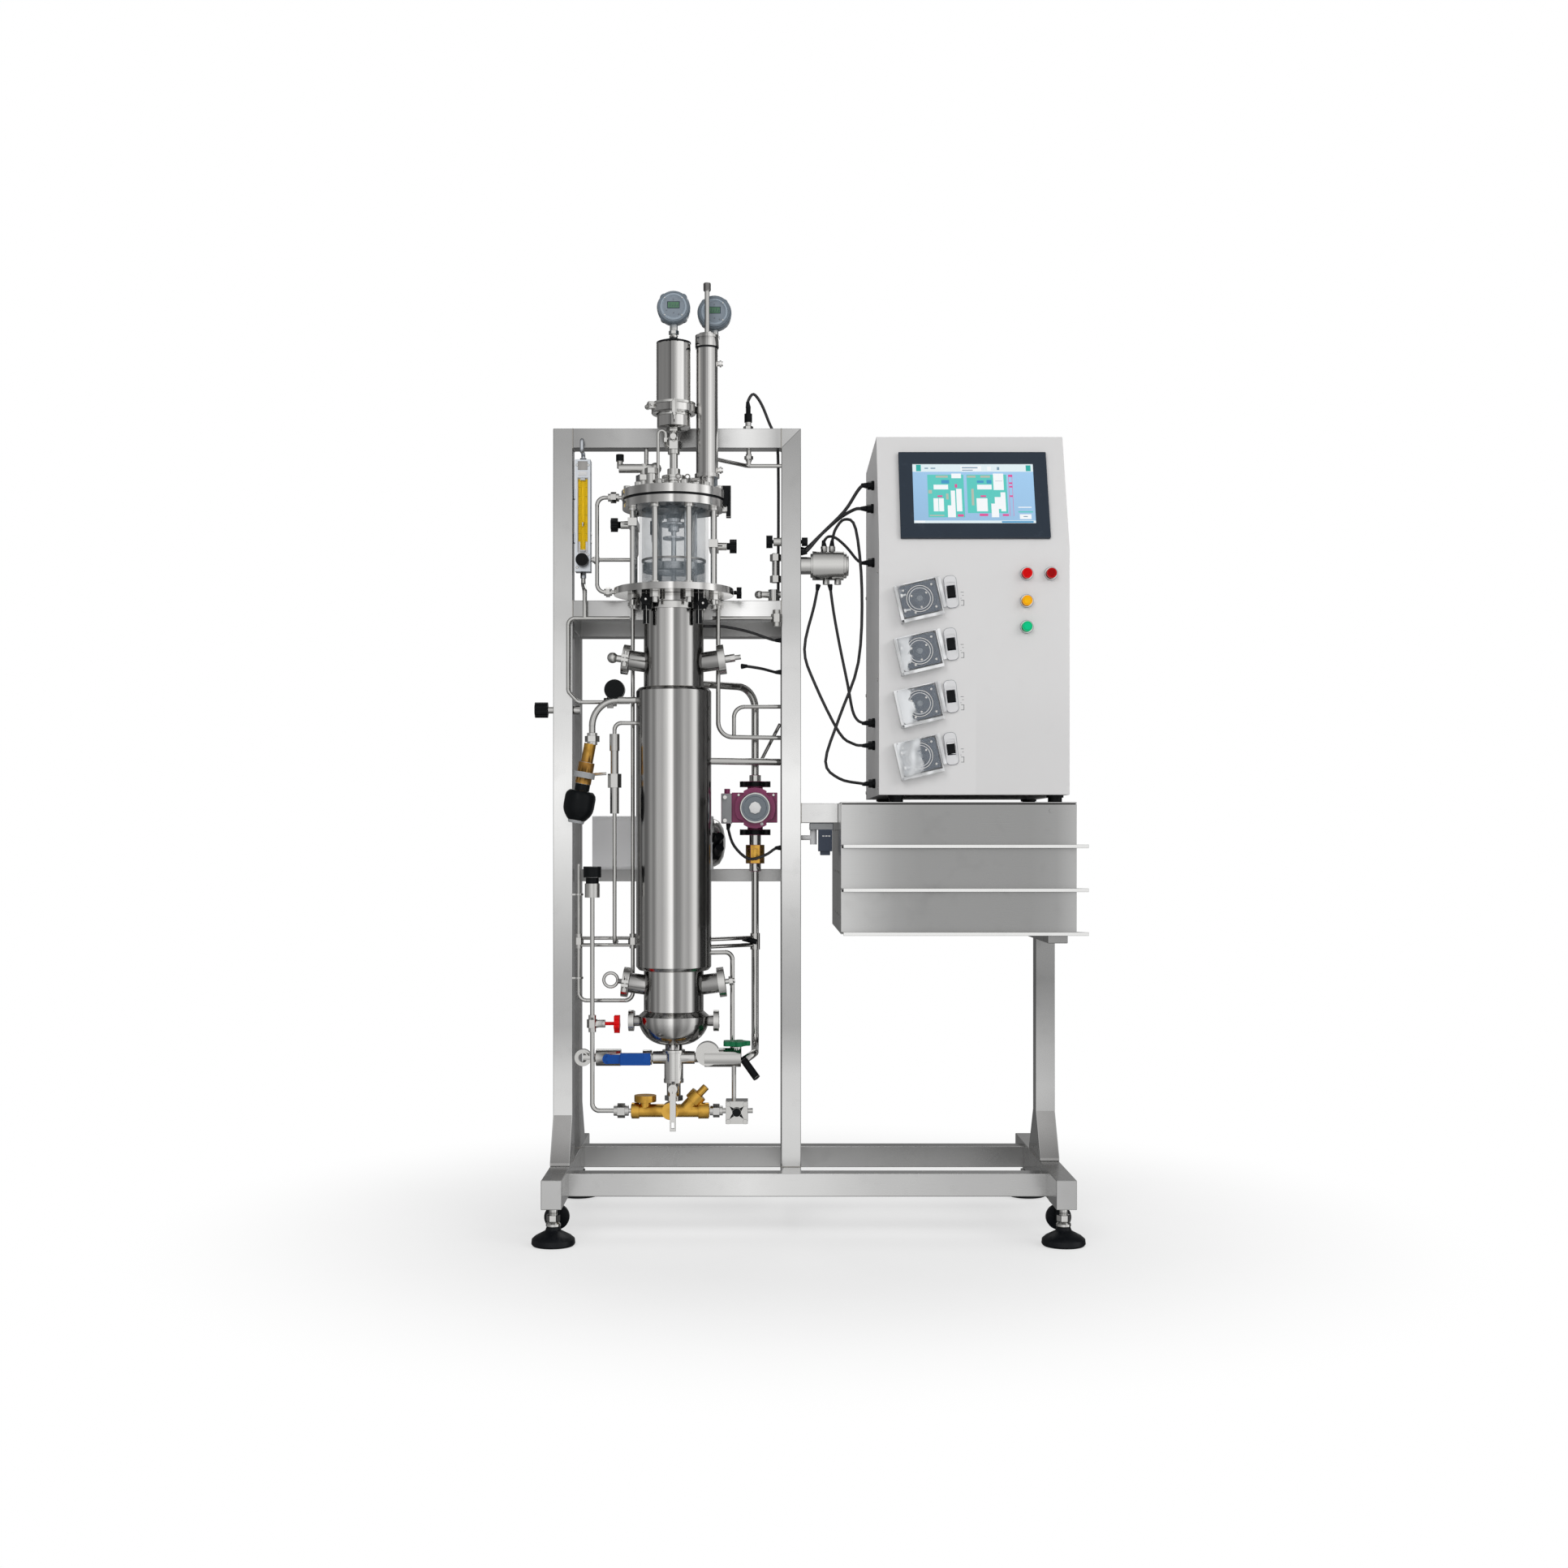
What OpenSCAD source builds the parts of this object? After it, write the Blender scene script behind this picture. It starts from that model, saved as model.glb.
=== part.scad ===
// Floor-standing stirred tank bioreactor on a stainless skid.
// Z is up, the origin lies on the floor midway between the four feet.

/* [Frame] */
// Outer width of the square frame tube
tube = 40; // [33:1:48]
// Height of the top of the front frame above the floor
frame_top = 1633; // [1590:1:1700]
// Half the distance between the centre lines of the two legs
leg_half = 498; // [496:1:540]
// Length of each leg, front to rear
leg_length = 600; // [560:1:720]
// Gap between the floor and the underside of a leg
leg_clear = 76; // [63:1:92]
// Height of a leg's tube
leg_height = 57; // [48:1:69]
// Height of the two long base beams
base_beam = 46; // [38:1:55]
// Top of the front middle beam, which carries the vessel
mid_top = 1281; // [1272:1:1300]
// X of the inner main posts
main_post_x = -31; // [-36:1:-26]
// Y of the two front posts
front_post_y = -62; // [-66:1:-58]
// Y of the two rear posts
rear_post_y = 110; // [92:1:132]

/* [Feet] */
// Diameter of a levelling pad
pad_d = 86; // [72:1:103]
// Diameter of the threaded stem
stem_d = 16; // [13:1:19]

/* [Vessel] */
// X of the vessel's axis
vessel_x = -268; // [-272:1:-264]
// Distance of the vessel's axis in front of the front posts
vessel_reach = 68; // [66:1:72]
// Radius of the bare neck above and below the jacket
neck_r = 60; // [50:1:62]
// Radius of the steam jacket
jacket_r = 75.5; // [70:0.5:78]
// Wall of the vessel
wall = 3; // [2.5:0.1:3.6]
// Top of the jacket
jacket_top = 1096; // [1080:1:1104]
// Bottom of the jacket
jacket_bottom = 530; // [524:1:560]
// Largest radius of the bottom head
head_r = 71; // [66:1:80]
// Radius of a side nozzle
nozzle_r = 20; // [17:1:22]

/* [Glass section] */
// Outer radius of the sight glass
glass_r = 70; // [66:1:72]
// Wall of the sight glass
glass_wall = 6; // [5:0.5:7]
// Height of the sight glass
glass_h = 158; // [132:1:180]
// Radius of the base flange
base_flange_r = 120; // [112:1:122]
// Thickness of the base flange
base_flange_t = 14; // [12:1:17]
// Radius of the head plate
lid_r = 105; // [100:1:110]
// Thickness of the head plate
lid_t = 17; // [14:1:20]
// Number of tie rods round the glass
rod_count = 8; // [6:1:8]
// Radius of the circle of tie rods
rod_circle = 87; // [84:1:90]
// Diameter of a tie rod
rod_d = 11; // [9:1:13]

/* [Head plate fittings] */
// Radius of the exhaust filter housing
filter_r = 35; // [29:1:36]
// Length of the filter housing above its clamp
filter_h = 122; // [102:1:146]
// Radius of the exhaust condenser
condenser_r = 22; // [18:1:24]
// Length of the condenser tube
condenser_h = 280; // [233:1:336]

/* [Cabinet] */
// Width of the control cabinet
cab_w = 376; // [370:1:390]
// Height of the control cabinet
cab_h = 725; // [700:1:760]
// Depth of the control cabinet at its base
cab_d = 470; // [440:1:500]
// Setback of the top front edge behind the lower front
cab_lean = 91; // [76:1:109]
// Sheet thickness of the cabinet
cab_sheet = 3; // [2.5:0.1:3.6]
// Height of the cabinet's rubber feet
cab_foot_h = 14; // [12:1:17]

/* [Controls] */
// Diameter of a push-button cap
button_d = 20; // [17:1:24]
// Travel of a push-button
button_travel = 4; // [3:0.5:5]
// Vertical pitch of the four dosing pumps
pump_pitch = 103; // [96:1:120]
// Width of a pump head
pump_w = 80; // [70:1:88]
// Tilt of the pump heads on the panel
pump_tilt = 13; // [0:1:16]
// Radius of a pump rotor
rotor_r = 24; // [20:1:28]

/* [Drawer unit] */
// Width of the drawer casing
box_w = 465; // [455:1:480]
// Depth of the drawer casing
box_d = 470; // [440:1:500]
// Vertical pitch of the three drawers
drawer_pitch = 86; // [72:1:90]
// Forward reach of a drawer's lip
lip_reach = 25; // [21:1:30]

/* [Clearances] */
// Gap between two pieces that only seat on each other
seat = 0.3; // [0.2:0.05:0.5]
// Radial gap of a turning fit
fit = 0.08; // [0.04:0.01:0.1]

/* [Hidden] */
$fn = 48;
// Straight tubes end this far inside the slightly fuller elbows
elbow_lap = 1;
elbow_swell = 0.4;

// Frame levels and faces
tank_z = 785;
tank_h = 112;
tank_shelf = tank_z - tank_h / 2 - seat;
leg_top = leg_clear + leg_height;
beam_top = leg_clear + base_beam;
base_beam_y = [-141, 203];
left_x = -leg_half;
right_x = leg_half;
left_inner = left_x + tube / 2;
main_inner = main_post_x - tube / 2;
main_outer = main_post_x + tube / 2;
post_front = front_post_y - tube / 2;
vessel_y = post_front - vessel_reach;
post_back = front_post_y + tube / 2;
rear_mid_top = mid_top - 17;
pipe_y = post_front - 13;
brass_y = vessel_y - 20;
pump_y = -10;
brace_rise = 95;
brace_reach = 60;

// Vessel levels
flange_bottom = mid_top;
flange_top = mid_top + base_flange_t;
glass_top = flange_top + glass_h;
ring_t = 16;
gasket_t = 4;
lid_bottom = glass_top + ring_t + gasket_t;
lid_top = lid_bottom + lid_t;
neck_bottom = jacket_bottom - 82;
head_bottom = neck_bottom - 68;
upper_port_z = jacket_top + 44;
lower_port_z = jacket_bottom - 38;
small_port_z = neck_bottom - 12;
outlet_z = head_bottom - 24;
filter_x = vessel_x;
filter_clamp_z = lid_top + 155;
filter_top = filter_clamp_z + 28 + filter_h;
condenser_x = vessel_x + 67;
condenser_z = lid_top + 28;
condenser_top = condenser_z + condenser_h;
gauge_r = 31;
gauge_z = filter_top + 64;

// Small fittings on the frame
rotameter_x = left_inner + 20;
rotameter_h = 230;
rotameter_z = min(mid_top + 60, frame_top - tube - 22 - rotameter_h);
left_pipe_x = left_inner + 14;
dip_pipe_x = vessel_x - 86;
drop_pipe_x = vessel_x - 119;
drain_pipe_x = vessel_x - 162;
rail_z = mid_top - 38;
return_x = main_post_x - 74;
branch_x = vessel_x + 117;
brass_z = outlet_z - 106;
valve_line_z = outlet_z - 2;

// Cabinet and drawer unit
box_left = 65;
box_top = 866;
box_front = -221;
sheet = 2;
drawer_count = 3;
drawer_rise = drawer_pitch - 4;
box_bottom = box_top - 3 - drawer_count * drawer_pitch;
cab_left = 140;
gland_face = cab_left - 14 - seat;
cab_front = -223;
cab_bottom = box_top + cab_foot_h;
cab_top = cab_bottom + cab_h;
cab_knee = cab_top - 238;
cab_back = cab_front + cab_d;
panel_angle = atan(cab_lean / (cab_top - cab_knee));
pump_x = cab_left + 79;
rocker_x = pump_x + 63;
button_x = cab_left + 291;
button_z = cab_bottom + 436;
button_bezel = 26;
bezel_t = 4;
cap_rear = bezel_t + button_travel + seat;
stand_top = box_bottom;

// Round frame helpers
module at(p) { translate(p) children(); }
module along_x() { rotate([0, 90, 0]) children(); }
module along_y() { rotate([90, 0, 0]) children(); }

// Block from one corner to the opposite corner
module block(a, b) { translate(a) cube(b - a); }

// Disc between two heights
module disc(r, z0, z1) { translate([0, 0, z0]) cylinder(r = r, h = z1 - z0); }

// Ring between two heights
module ring(r_out, r_in, z0, z1) {
    difference() {
        disc(r_out, z0, z1);
        disc(r_in, z0 - 1, z1 + 1);
    }
}

// Hexagonal nut
module hex(across, z0, z1) {
    translate([0, 0, z0]) cylinder(d = across / cos(30), h = z1 - z0, $fn = 6);
}

// Union fitting along Z: a hexagon between two collars
module union_nut(across, length) {
    hex(across, -length / 4, length / 4);
    disc(across * 0.4, -length / 2, length / 2);
}

// Star knob with round lobes, its face at height h
module star_outline(r, lobes) {
    circle(r = r * 0.78);
    for (i = [0 : lobes - 1])
        rotate(i * 360 / lobes) translate([r * 0.74, 0]) circle(r = r * 0.26);
}

module star(r, lobes, h) { linear_extrude(h) star_outline(r, lobes); }

// Vector helpers for pipes
function unit(v) = v / norm(v);
function turn_angle(a, b) = acos(max(-1, min(1, unit(a) * unit(b))));

// Moves the Z axis onto direction w, with X on direction u
module frame_at(p, u, v, w) {
    multmatrix([[u[0], v[0], w[0], p[0]],
                [u[1], v[1], w[1], p[1]],
                [u[2], v[2], w[2], p[2]],
                [0, 0, 0, 1]]) children();
}

// Straight round bar between two points
module bar(a, b, d) {
    w = unit(b - a);
    side = abs(w[2]) < 0.9 ? [0, 0, 1] : [1, 0, 0];
    u = unit(cross(side, w));
    frame_at(a, u, cross(w, u), w) cylinder(d = d, h = norm(b - a));
}

// Bent pipe through a list of points, with one bend radius
module pipe(points, d, bend) {
    last = len(points) - 1;
    cut = [for (i = [0 : last])
        i == 0 || i == last ? 0
        : bend * tan(turn_angle(points[i] - points[i - 1], points[i + 1] - points[i]) / 2) - elbow_lap];
    for (i = [0 : last - 1]) {
        w = unit(points[i + 1] - points[i]);
        bar(points[i] + w * cut[i], points[i + 1] - w * cut[i + 1], d);
    }
    for (i = [1 : last - 1]) {
        into = unit(points[i] - points[i - 1]);
        out = unit(points[i + 1] - points[i]);
        normal = unit(cross(into, out));
        inward = cross(normal, into);
        start = points[i] - into * (cut[i] + elbow_lap);
        frame_at(start + inward * bend, -inward, into, cross(into, inward))
            rotate_extrude(angle = turn_angle(into, out)) translate([bend, 0]) circle(d = d + elbow_swell);
    }
}

// Cable swept along hand-laid points with a smooth curve between them
function spline(p, i, t) =
    let (a = p[max(i - 1, 0)], b = p[i], c = p[i + 1], d = p[min(i + 2, len(p) - 1)])
    0.5 * ((2 * b) + (c - a) * t + (2 * a - 5 * b + 4 * c - d) * t * t
        + (3 * b - a - 3 * c + d) * t * t * t);
function smooth(p, steps) = concat(
    [for (i = [0 : len(p) - 2], j = [0 : steps - 1]) spline(p, i, j / steps)],
    [p[len(p) - 1]]);
function heading(q, i) = unit(q[min(i + 1, len(q) - 1)] - q[max(i - 1, 0)]);

module cable(points, d, steps = 3, sides = 8) {
    q = smooth(points, steps);
    n = len(q);
    rings = [for (i = [0 : n - 1])
        let (w = heading(q, i), u = unit(cross([0.31, 0.95, 0.07], w)), v = cross(w, u))
        for (k = [0 : sides - 1])
            q[i] + d / 2 * (cos(360 * k / sides) * u + sin(360 * k / sides) * v)];
    faces = concat(
        [for (i = [0 : n - 2], k = [0 : sides - 1])
            let (a = i * sides + k, b = i * sides + (k + 1) % sides)
            [a, a + sides, b + sides, b]],
        [[for (k = [0 : sides - 1]) k]],
        [[for (k = [0 : sides - 1]) (n - 1) * sides + sides - 1 - k]]);
    polyhedron(rings, faces, convexity = 6);
}

// Two legs, two long beams, the cross tube and the threaded bores for the feet
foot_y = leg_length / 2 - 40;
module base_frame() {
    color("silver") difference() {
        union() {
            for (x = [left_x, right_x])
                block([x - tube / 2, -leg_length / 2, leg_clear], [x + tube / 2, leg_length / 2, leg_top]);
            for (y = base_beam_y)
                block([left_inner, y - tube / 2, leg_clear], [right_x - tube / 2, y + tube / 2, beam_top]);
            block([main_post_x - tube / 2, base_beam_y[0] + tube / 2, leg_clear],
                  [main_post_x + tube / 2, base_beam_y[1] - tube / 2, beam_top]);
        }
        for (x = [left_x, right_x], y = [-foot_y, foot_y])
            at([x, y, 0]) disc(stem_d / 2 + 0.2, leg_clear - 1, leg_clear + leg_height - 6);
    }
}

// Small swivel castor hung under a leg, held clear of the floor by the feet
castor_r = 25;
module castor() {
    wheel_z = leg_clear - 33;
    color("dimgray") {
        block([-17, -17, leg_clear - 4], [17, 17, leg_clear]);
        for (side = [-1, 1])
            block([-7, side * 9 - 2, wheel_z - 6], [7, side * 9 + 2, leg_clear - 4]);
        at([0, 0, wheel_z]) along_y() ring(castor_r, 3, -6, 6);
        at([0, 0, wheel_z]) along_y() disc(3 - fit, -13, 13);
    }
}

// Four levelling feet: domed pad, threaded stem and lock nut, with a castor inboard of each
module levelling_feet() {
    for (x = [left_x, right_x], y = [65 - foot_y, foot_y - 65]) at([x, y, 0]) castor();
    for (x = [left_x, right_x], y = [-foot_y, foot_y])
        at([x, y, 0]) color("dimgray") {
            rotate_extrude() polygon([[0, 0], [pad_d / 2 - 3, 0], [pad_d / 2, 4], [pad_d / 2 - 1, 13],
                [pad_d / 2 - 8, 19], [16, 29], [13, 37], [0, 37]]);
            disc(stem_d / 2, 36, leg_clear + 44);
            hex(stem_d * 1.5, 47, 60);
        }
}

// Sloping stay between a post and its leg, towards front (-1) or rear (1)
module stay(x, y, side) {
    at([x - tube / 2, y, 0]) rotate([90, 0, 90]) linear_extrude(tube)
        polygon([[side * tube / 2, leg_top], [side * (tube / 2 + brace_reach), leg_top],
                 [side * (tube / 2 + brace_reach), leg_top + 8], [side * tube / 2, leg_top + brace_rise]]);
}

module post(x, y, z0, z1) {
    block([x - tube / 2, y - tube / 2, z0], [x + tube / 2, y + tube / 2, z1]);
}

// Front frame: two tall posts, top beam, middle beam and the link to the drawer unit
module front_frame() {
    color("silver") {
        post(left_x, front_post_y, leg_top, frame_top);
        difference() {
            post(main_post_x, front_post_y, beam_top, frame_top);
            bar([main_inner - 1, front_post_y, post_valve_z], [main_outer + 1, front_post_y, post_valve_z],
                8 + 2 * fit);
        }
        for (z = [mid_top, frame_top])
            block([left_inner, post_front, z - tube], [main_inner, front_post_y + tube / 2, z]);
        stay(left_x, front_post_y, -1);
        block([main_outer, post_front, box_top - tube], [box_left, front_post_y + tube / 2, box_top]);
    }
}

// Rear frame: two shorter posts, their cross beam and the side rails to the front posts
module rear_frame() {
    color("silver") {
        post(left_x, rear_post_y, leg_top, rear_mid_top);
        post(main_post_x, rear_post_y, beam_top, rear_mid_top);
        block([left_inner, rear_post_y - tube / 2, rear_mid_top - tube],
              [main_inner, rear_post_y + tube / 2, rear_mid_top]);
        for (x = [left_x, main_post_x])
            block([x - tube / 2, front_post_y + tube / 2, rear_mid_top - tube],
                  [x + tube / 2, rear_post_y - tube / 2, rear_mid_top]);
        block([left_inner, rear_post_y - tube / 2, tank_shelf - 26],
              [main_inner, rear_post_y - tube / 2 + 26, tank_shelf]);
        stay(left_x, rear_post_y, 1);
    }
}

// Post and bearer that carry the drawer unit on the right leg
module drawer_stand() {
    color("silver") {
        post(right_x, 0, leg_top, stand_top - 20);
        block([right_x - tube / 2, -box_d * 0.4, stand_top - 20], [right_x + tube / 2, box_d * 0.4, stand_top]);
        stay(right_x, 0, -1);
        stay(right_x, 0, 1);
    }
}

// Side nozzle with its ferrule, pointing along +X before it is turned
nozzle_reach = 72;
nozzle_tilt = 8;
ferrule = 5;
module nozzle_solid(r, reach) {
    along_x() {
        disc(r, 0, reach);
        disc(r + ferrule, reach - 4, reach);
    }
}
module nozzle_bore(r, reach) { along_x() disc(r - 2, -1, reach + 1); }

// Places children at a side port: side -1 is left, 1 is right
module side_port(z, side, tilt = nozzle_tilt) {
    at([vessel_x, vessel_y, z]) rotate([0, 0, side > 0 ? 0 : 180]) rotate([0, -tilt, 0])
        translate([neck_r - 16, 0, 0]) children();
}

// Jacketed cylinder: bare neck, shouldered jacket and lower neck with four nozzles
module jacketed_vessel() {
    color("lightgray") difference() {
        union() {
            at([vessel_x, vessel_y, 0]) {
                disc(neck_r, neck_bottom, flange_bottom - 16);
                rotate_extrude() polygon([[neck_r - 1, jacket_bottom], [jacket_r - 6, jacket_bottom],
                    [jacket_r, jacket_bottom + 7], [jacket_r, jacket_top - 7],
                    [jacket_r - 6, jacket_top], [neck_r - 1, jacket_top]]);
                disc(neck_r + 5, flange_bottom - 16, flange_bottom);
            }
            for (z = [upper_port_z, lower_port_z], side = [-1, 1])
                side_port(z, side) nozzle_solid(nozzle_r, nozzle_reach - 20);
        }
        at([vessel_x, vessel_y, 0]) disc(neck_r - wall, neck_bottom - 1, flange_bottom + 1);
        for (z = [upper_port_z, lower_port_z], side = [-1, 1])
            side_port(z, side) nozzle_bore(nozzle_r, nozzle_reach - 20);
    }
}

// Bulged bottom head with two small ports and an outlet neck
small_r = 11;
outlet_r = 17;
module bottom_head() {
    color("lightgray") difference() {
        union() {
            at([vessel_x, vessel_y, 0]) rotate_extrude() head_outline(0);
            for (side = [-1, 1]) at([vessel_x, vessel_y, small_port_z - 8])
                rotate([0, side < 0 ? 180 : 0, 0]) translate([head_r - 8, 0, 0]) {
                    along_x() disc(small_r, 0, 22);
                    along_x() disc(small_r + 5, 18, 22);
                }
        }
        at([vessel_x, vessel_y, 0]) rotate_extrude() head_outline(wall);
        for (side = [-1, 1]) at([vessel_x, vessel_y, small_port_z - 8])
            rotate([0, side < 0 ? 180 : 0, 0]) translate([head_r - 20, 0, 0])
                along_x() disc(small_r - 2, 0, 40);
    }
}

// Half outline of the head, thinned by the given wall: elliptic bowl, shoulder and neck
module head_outline(thin) {
    belly_z = neck_bottom - 14;
    reach = head_r - outlet_r;
    depth = belly_z - head_bottom - thin;
    over = thin > 0 ? 1 : 0;
    polygon(concat(
        [[0, neck_bottom + over], [neck_r - thin, neck_bottom + over], [head_r - thin, belly_z + 4]],
        [for (t = [0 : 9 : 81]) [outlet_r - thin + reach * cos(t), belly_z - depth * sin(t)]],
        [[outlet_r - thin, head_bottom + thin], [outlet_r - thin, head_bottom - 10 - over],
         [0, head_bottom - 10 - over]]));
}

// Tee under the bottom outlet and the body of the sampling valve below it
tee_top = head_bottom - 10 - seat;
tee_bottom = tee_top - 58;
sample_z = tee_bottom - 16;
module drain_valve_body() {
    color("silver") at([vessel_x, vessel_y, 0]) difference() {
        union() {
            disc(outlet_r + 6, tee_top - 6, tee_top);
            disc(outlet_r + 2, tee_bottom, tee_top - 6);
            at([0, 0, valve_line_z]) along_x() disc(13, -42, 42);
            disc(20, tee_bottom - 8, tee_bottom);
            disc(14, tee_bottom - 34, tee_bottom - 8);
            hex(32, tee_bottom - 44, tee_bottom - 34);
            at([0, 0, sample_z]) along_y() disc(9, 0, 36);
        }
        disc(outlet_r - wall, tee_bottom - 4, tee_top + 1);
        at([0, 0, valve_line_z]) along_x() disc(9, -43, 43);
        at([0, 0, sample_z]) along_y() disc(4 + fit, 22, 37);
    }
}

// Sampling lever: hub on the valve's stem and a flat arm hanging down
module sampling_lever() {
    color("silver") at([vessel_x, vessel_y, sample_z]) {
        along_y() disc(4, 24, 50);
        along_y() disc(9, 36 + seat, 46);
        difference() {
            block([-6, -45, -84], [6, -39, -4]);
            block([-3, -47, -78], [3, -37, -66]);
        }
    }
}

// Base flange on the middle beam, with clearance holes for the tie rods
module base_flange() {
    color("silver") at([vessel_x, vessel_y, 0]) difference() {
        disc(base_flange_r, flange_bottom, flange_top);
        disc(neck_r - wall, flange_bottom - 1, flange_top + 1);
        rod_places() disc(rod_d / 2 + seat, flange_bottom - 1, flange_top + 1);
    }
}

module rod_places() {
    for (i = [0 : rod_count - 1])
        rotate((i + 0.5) * 360 / rod_count) translate([rod_circle, 0, 0]) children();
}

// Borosilicate sight glass
module sight_glass() {
    color("lightblue", 0.4) at([vessel_x, vessel_y, 0])
        ring(glass_r, glass_r - glass_wall, flange_top, glass_top);
}

// Tie rods with their nuts, and the two cross plates that carry the small valves
rod_bottom = flange_bottom - 22;
cross_z = [flange_top + 86, flange_top + 129];
module tie_rods() {
    color("silver") at([vessel_x, vessel_y, 0]) {
        for (i = [0 : rod_count - 1]) tie_rod((i + 0.5) * 360 / rod_count);
        for (side = [0, 1]) rotate(180 * (1 - side)) cross_plate(cross_z[1 - side]);
    }
}

// One tie rod; those above the middle beam end in the flange and have no lower nut
module tie_rod(angle) {
    below = vessel_y + rod_circle * sin(angle) + rod_d < post_front;
    rotate(angle) translate([rod_circle, 0, 0]) {
        disc(rod_d / 2, below ? rod_bottom : flange_bottom, glass_top + 8);
        if (below) hex(rod_d * 1.6, flange_bottom - 12, flange_bottom);
        disc(rod_d * 0.85, flange_top, flange_top + 6);
        disc(rod_d * 0.85, glass_top - 6, glass_top);
    }
}

// Plate gripping the two outermost rods on the right, with a stub pointing outwards
module cross_plate(z) {
    reach = rod_circle * cos(180 / rod_count);
    half = rod_circle * sin(180 / rod_count);
    difference() {
        block([reach - 9, -half - 10, z - 8], [reach + 9, half + 10, z + 8]);
        rod_places() disc(rod_d / 2 + seat, z - 9, z + 9);
    }
    at([reach, 0, z]) along_x() difference() {
        disc(8, 9 - 0.01, 26);
        disc(4 + fit, 12, 27);
    }
}

// Star knobs of the two small valves on the cross plates, on their spindles
module plate_knob(side) {
    color("black") at([vessel_x, vessel_y, cross_z[side > 0 ? 0 : 1]]) rotate([0, 0, side > 0 ? 0 : 180])
        at([rod_circle * cos(180 / rod_count), 0, 0]) along_x() {
            disc(4, 14, 34);
            at([0, 0, 32]) star(14, 6, 14);
            disc(7, 26 + seat, 32);
        }
}
module star_knob() { plate_knob(1); }
module left_star_knob() { plate_knob(-1); }

// Steel ring on the glass and the head plate above it, with their fittings
lid_ports = [[-60, 24, 13], [-42, -52, 10], [38, 56, 9], [-14, 78, 9]];
module head_plate() {
    color("silver") at([vessel_x, vessel_y, 0]) {
        difference() {
            ring(lid_r - 2, glass_r - glass_wall, glass_top, glass_top + ring_t);
            rod_places() disc(rod_d / 2 + 0.01, glass_top - 1, glass_top + 8);
        }
        difference() {
            disc(lid_r, lid_bottom, lid_top);
            for (x = [0, condenser_x - vessel_x]) at([x, 0, 0]) disc(9, lid_bottom - 1, lid_top + 1);
        }
        for (i = [0 : 11]) rotate(i * 30 + 15) translate([lid_r - 10, 0, 0]) hex(13, lid_top, lid_top + 8);
        for (p = lid_ports) at([p[0], p[1], 0]) {
            disc(p[2], lid_top, lid_top + 26);
            hex(p[2] * 2.4, lid_top + 26, lid_top + 38);
        }
    }
    color("silver") at([vessel_x, vessel_y, 0]) {
        ring(20, 12, lid_top, lid_top + 20);
        ring(24, 12, lid_top + 20, lid_top + 26);
    }
}

// Flat seal between the ring and the head plate
module head_gasket() {
    color("black") at([vessel_x, vessel_y, 0])
        ring(lid_r - 4, glass_r - glass_wall, glass_top + ring_t, lid_bottom);
}

// Rod, foam-breaker disc and level probe that hang inside the glass
module dip_probe() {
    color("silver") at([vessel_x, vessel_y, 0]) {
        disc(5, neck_bottom + 120, lid_bottom);
        disc(11, glass_top - 42, lid_bottom);
        disc(14, glass_top - 26, glass_top - 8);
        disc(22, glass_top - 58, glass_top - 54);
        ring(glass_r - glass_wall - 2, glass_r - glass_wall - 12, flange_top + 34, flange_top + 48);
        for (a = [90 : 120 : 330])
            rotate(a) block([4, -2, flange_top + 38], [glass_r - glass_wall - 11, 2, flange_top + 44]);
        at([-34, -18, 0]) disc(3, glass_top - 60, lid_bottom);
        at([-34, -18, 0]) disc(5, glass_top - 82, glass_top - 60);
        for (z = [neck_bottom + 130, neck_bottom + 330]) for (a = [0 : 60 : 300])
            rotate(a) block([8, -1.5, z], [26, 1.5, z + 22]);
        for (z = [neck_bottom + 130, neck_bottom + 330]) disc(10, z + 8, z + 14);
    }
}

// Steel filter housing above its clamp
filter_seam = filter_clamp_z + 16;
module filter_housing() {
    color("silver") at([filter_x, vessel_y, 0]) rotate_extrude() difference() {
        polygon([[0, filter_seam], [filter_r + 4, filter_seam], [filter_r + 4, filter_seam + 5],
                 [filter_r, filter_seam + 8], [filter_r, filter_top - 10], [filter_r - 6, filter_top - 3],
                 [9, filter_top], [9, filter_top + 8], [0, filter_top + 8]]);
        polygon([[0, filter_seam - 1], [filter_r - 2, filter_seam - 1], [filter_r - 2, filter_top - 11],
                 [filter_r - 8, filter_top - 5], [0, filter_top - 4]]);
    }
}

// Filter base, the pipe down to the head plate and the small valves on it
module filter_base() {
    color("silver") at([filter_x, vessel_y, 0]) {
        rotate_extrude() polygon([[0, filter_clamp_z - 12], [filter_r - 14, filter_clamp_z - 12],
            [filter_r - 2, filter_clamp_z - 4], [filter_r - 2, filter_seam - 6],
            [filter_r + 4, filter_seam - 5], [filter_r + 4, filter_seam - seat], [0, filter_seam - seat]]);
        disc(8, lid_top + 26, filter_clamp_z - 12);
        disc(24, lid_top + 26, lid_top + 32);
        disc(13, lid_top + 32, lid_top + 46);
        hex(26, filter_clamp_z - 34, filter_clamp_z - 22);
        at([0, 0, filter_clamp_z - 62]) union_nut(30, 34);
        at([0, -12, filter_clamp_z - 48]) along_y() disc(6, -10, 16);
    }
}

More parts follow.
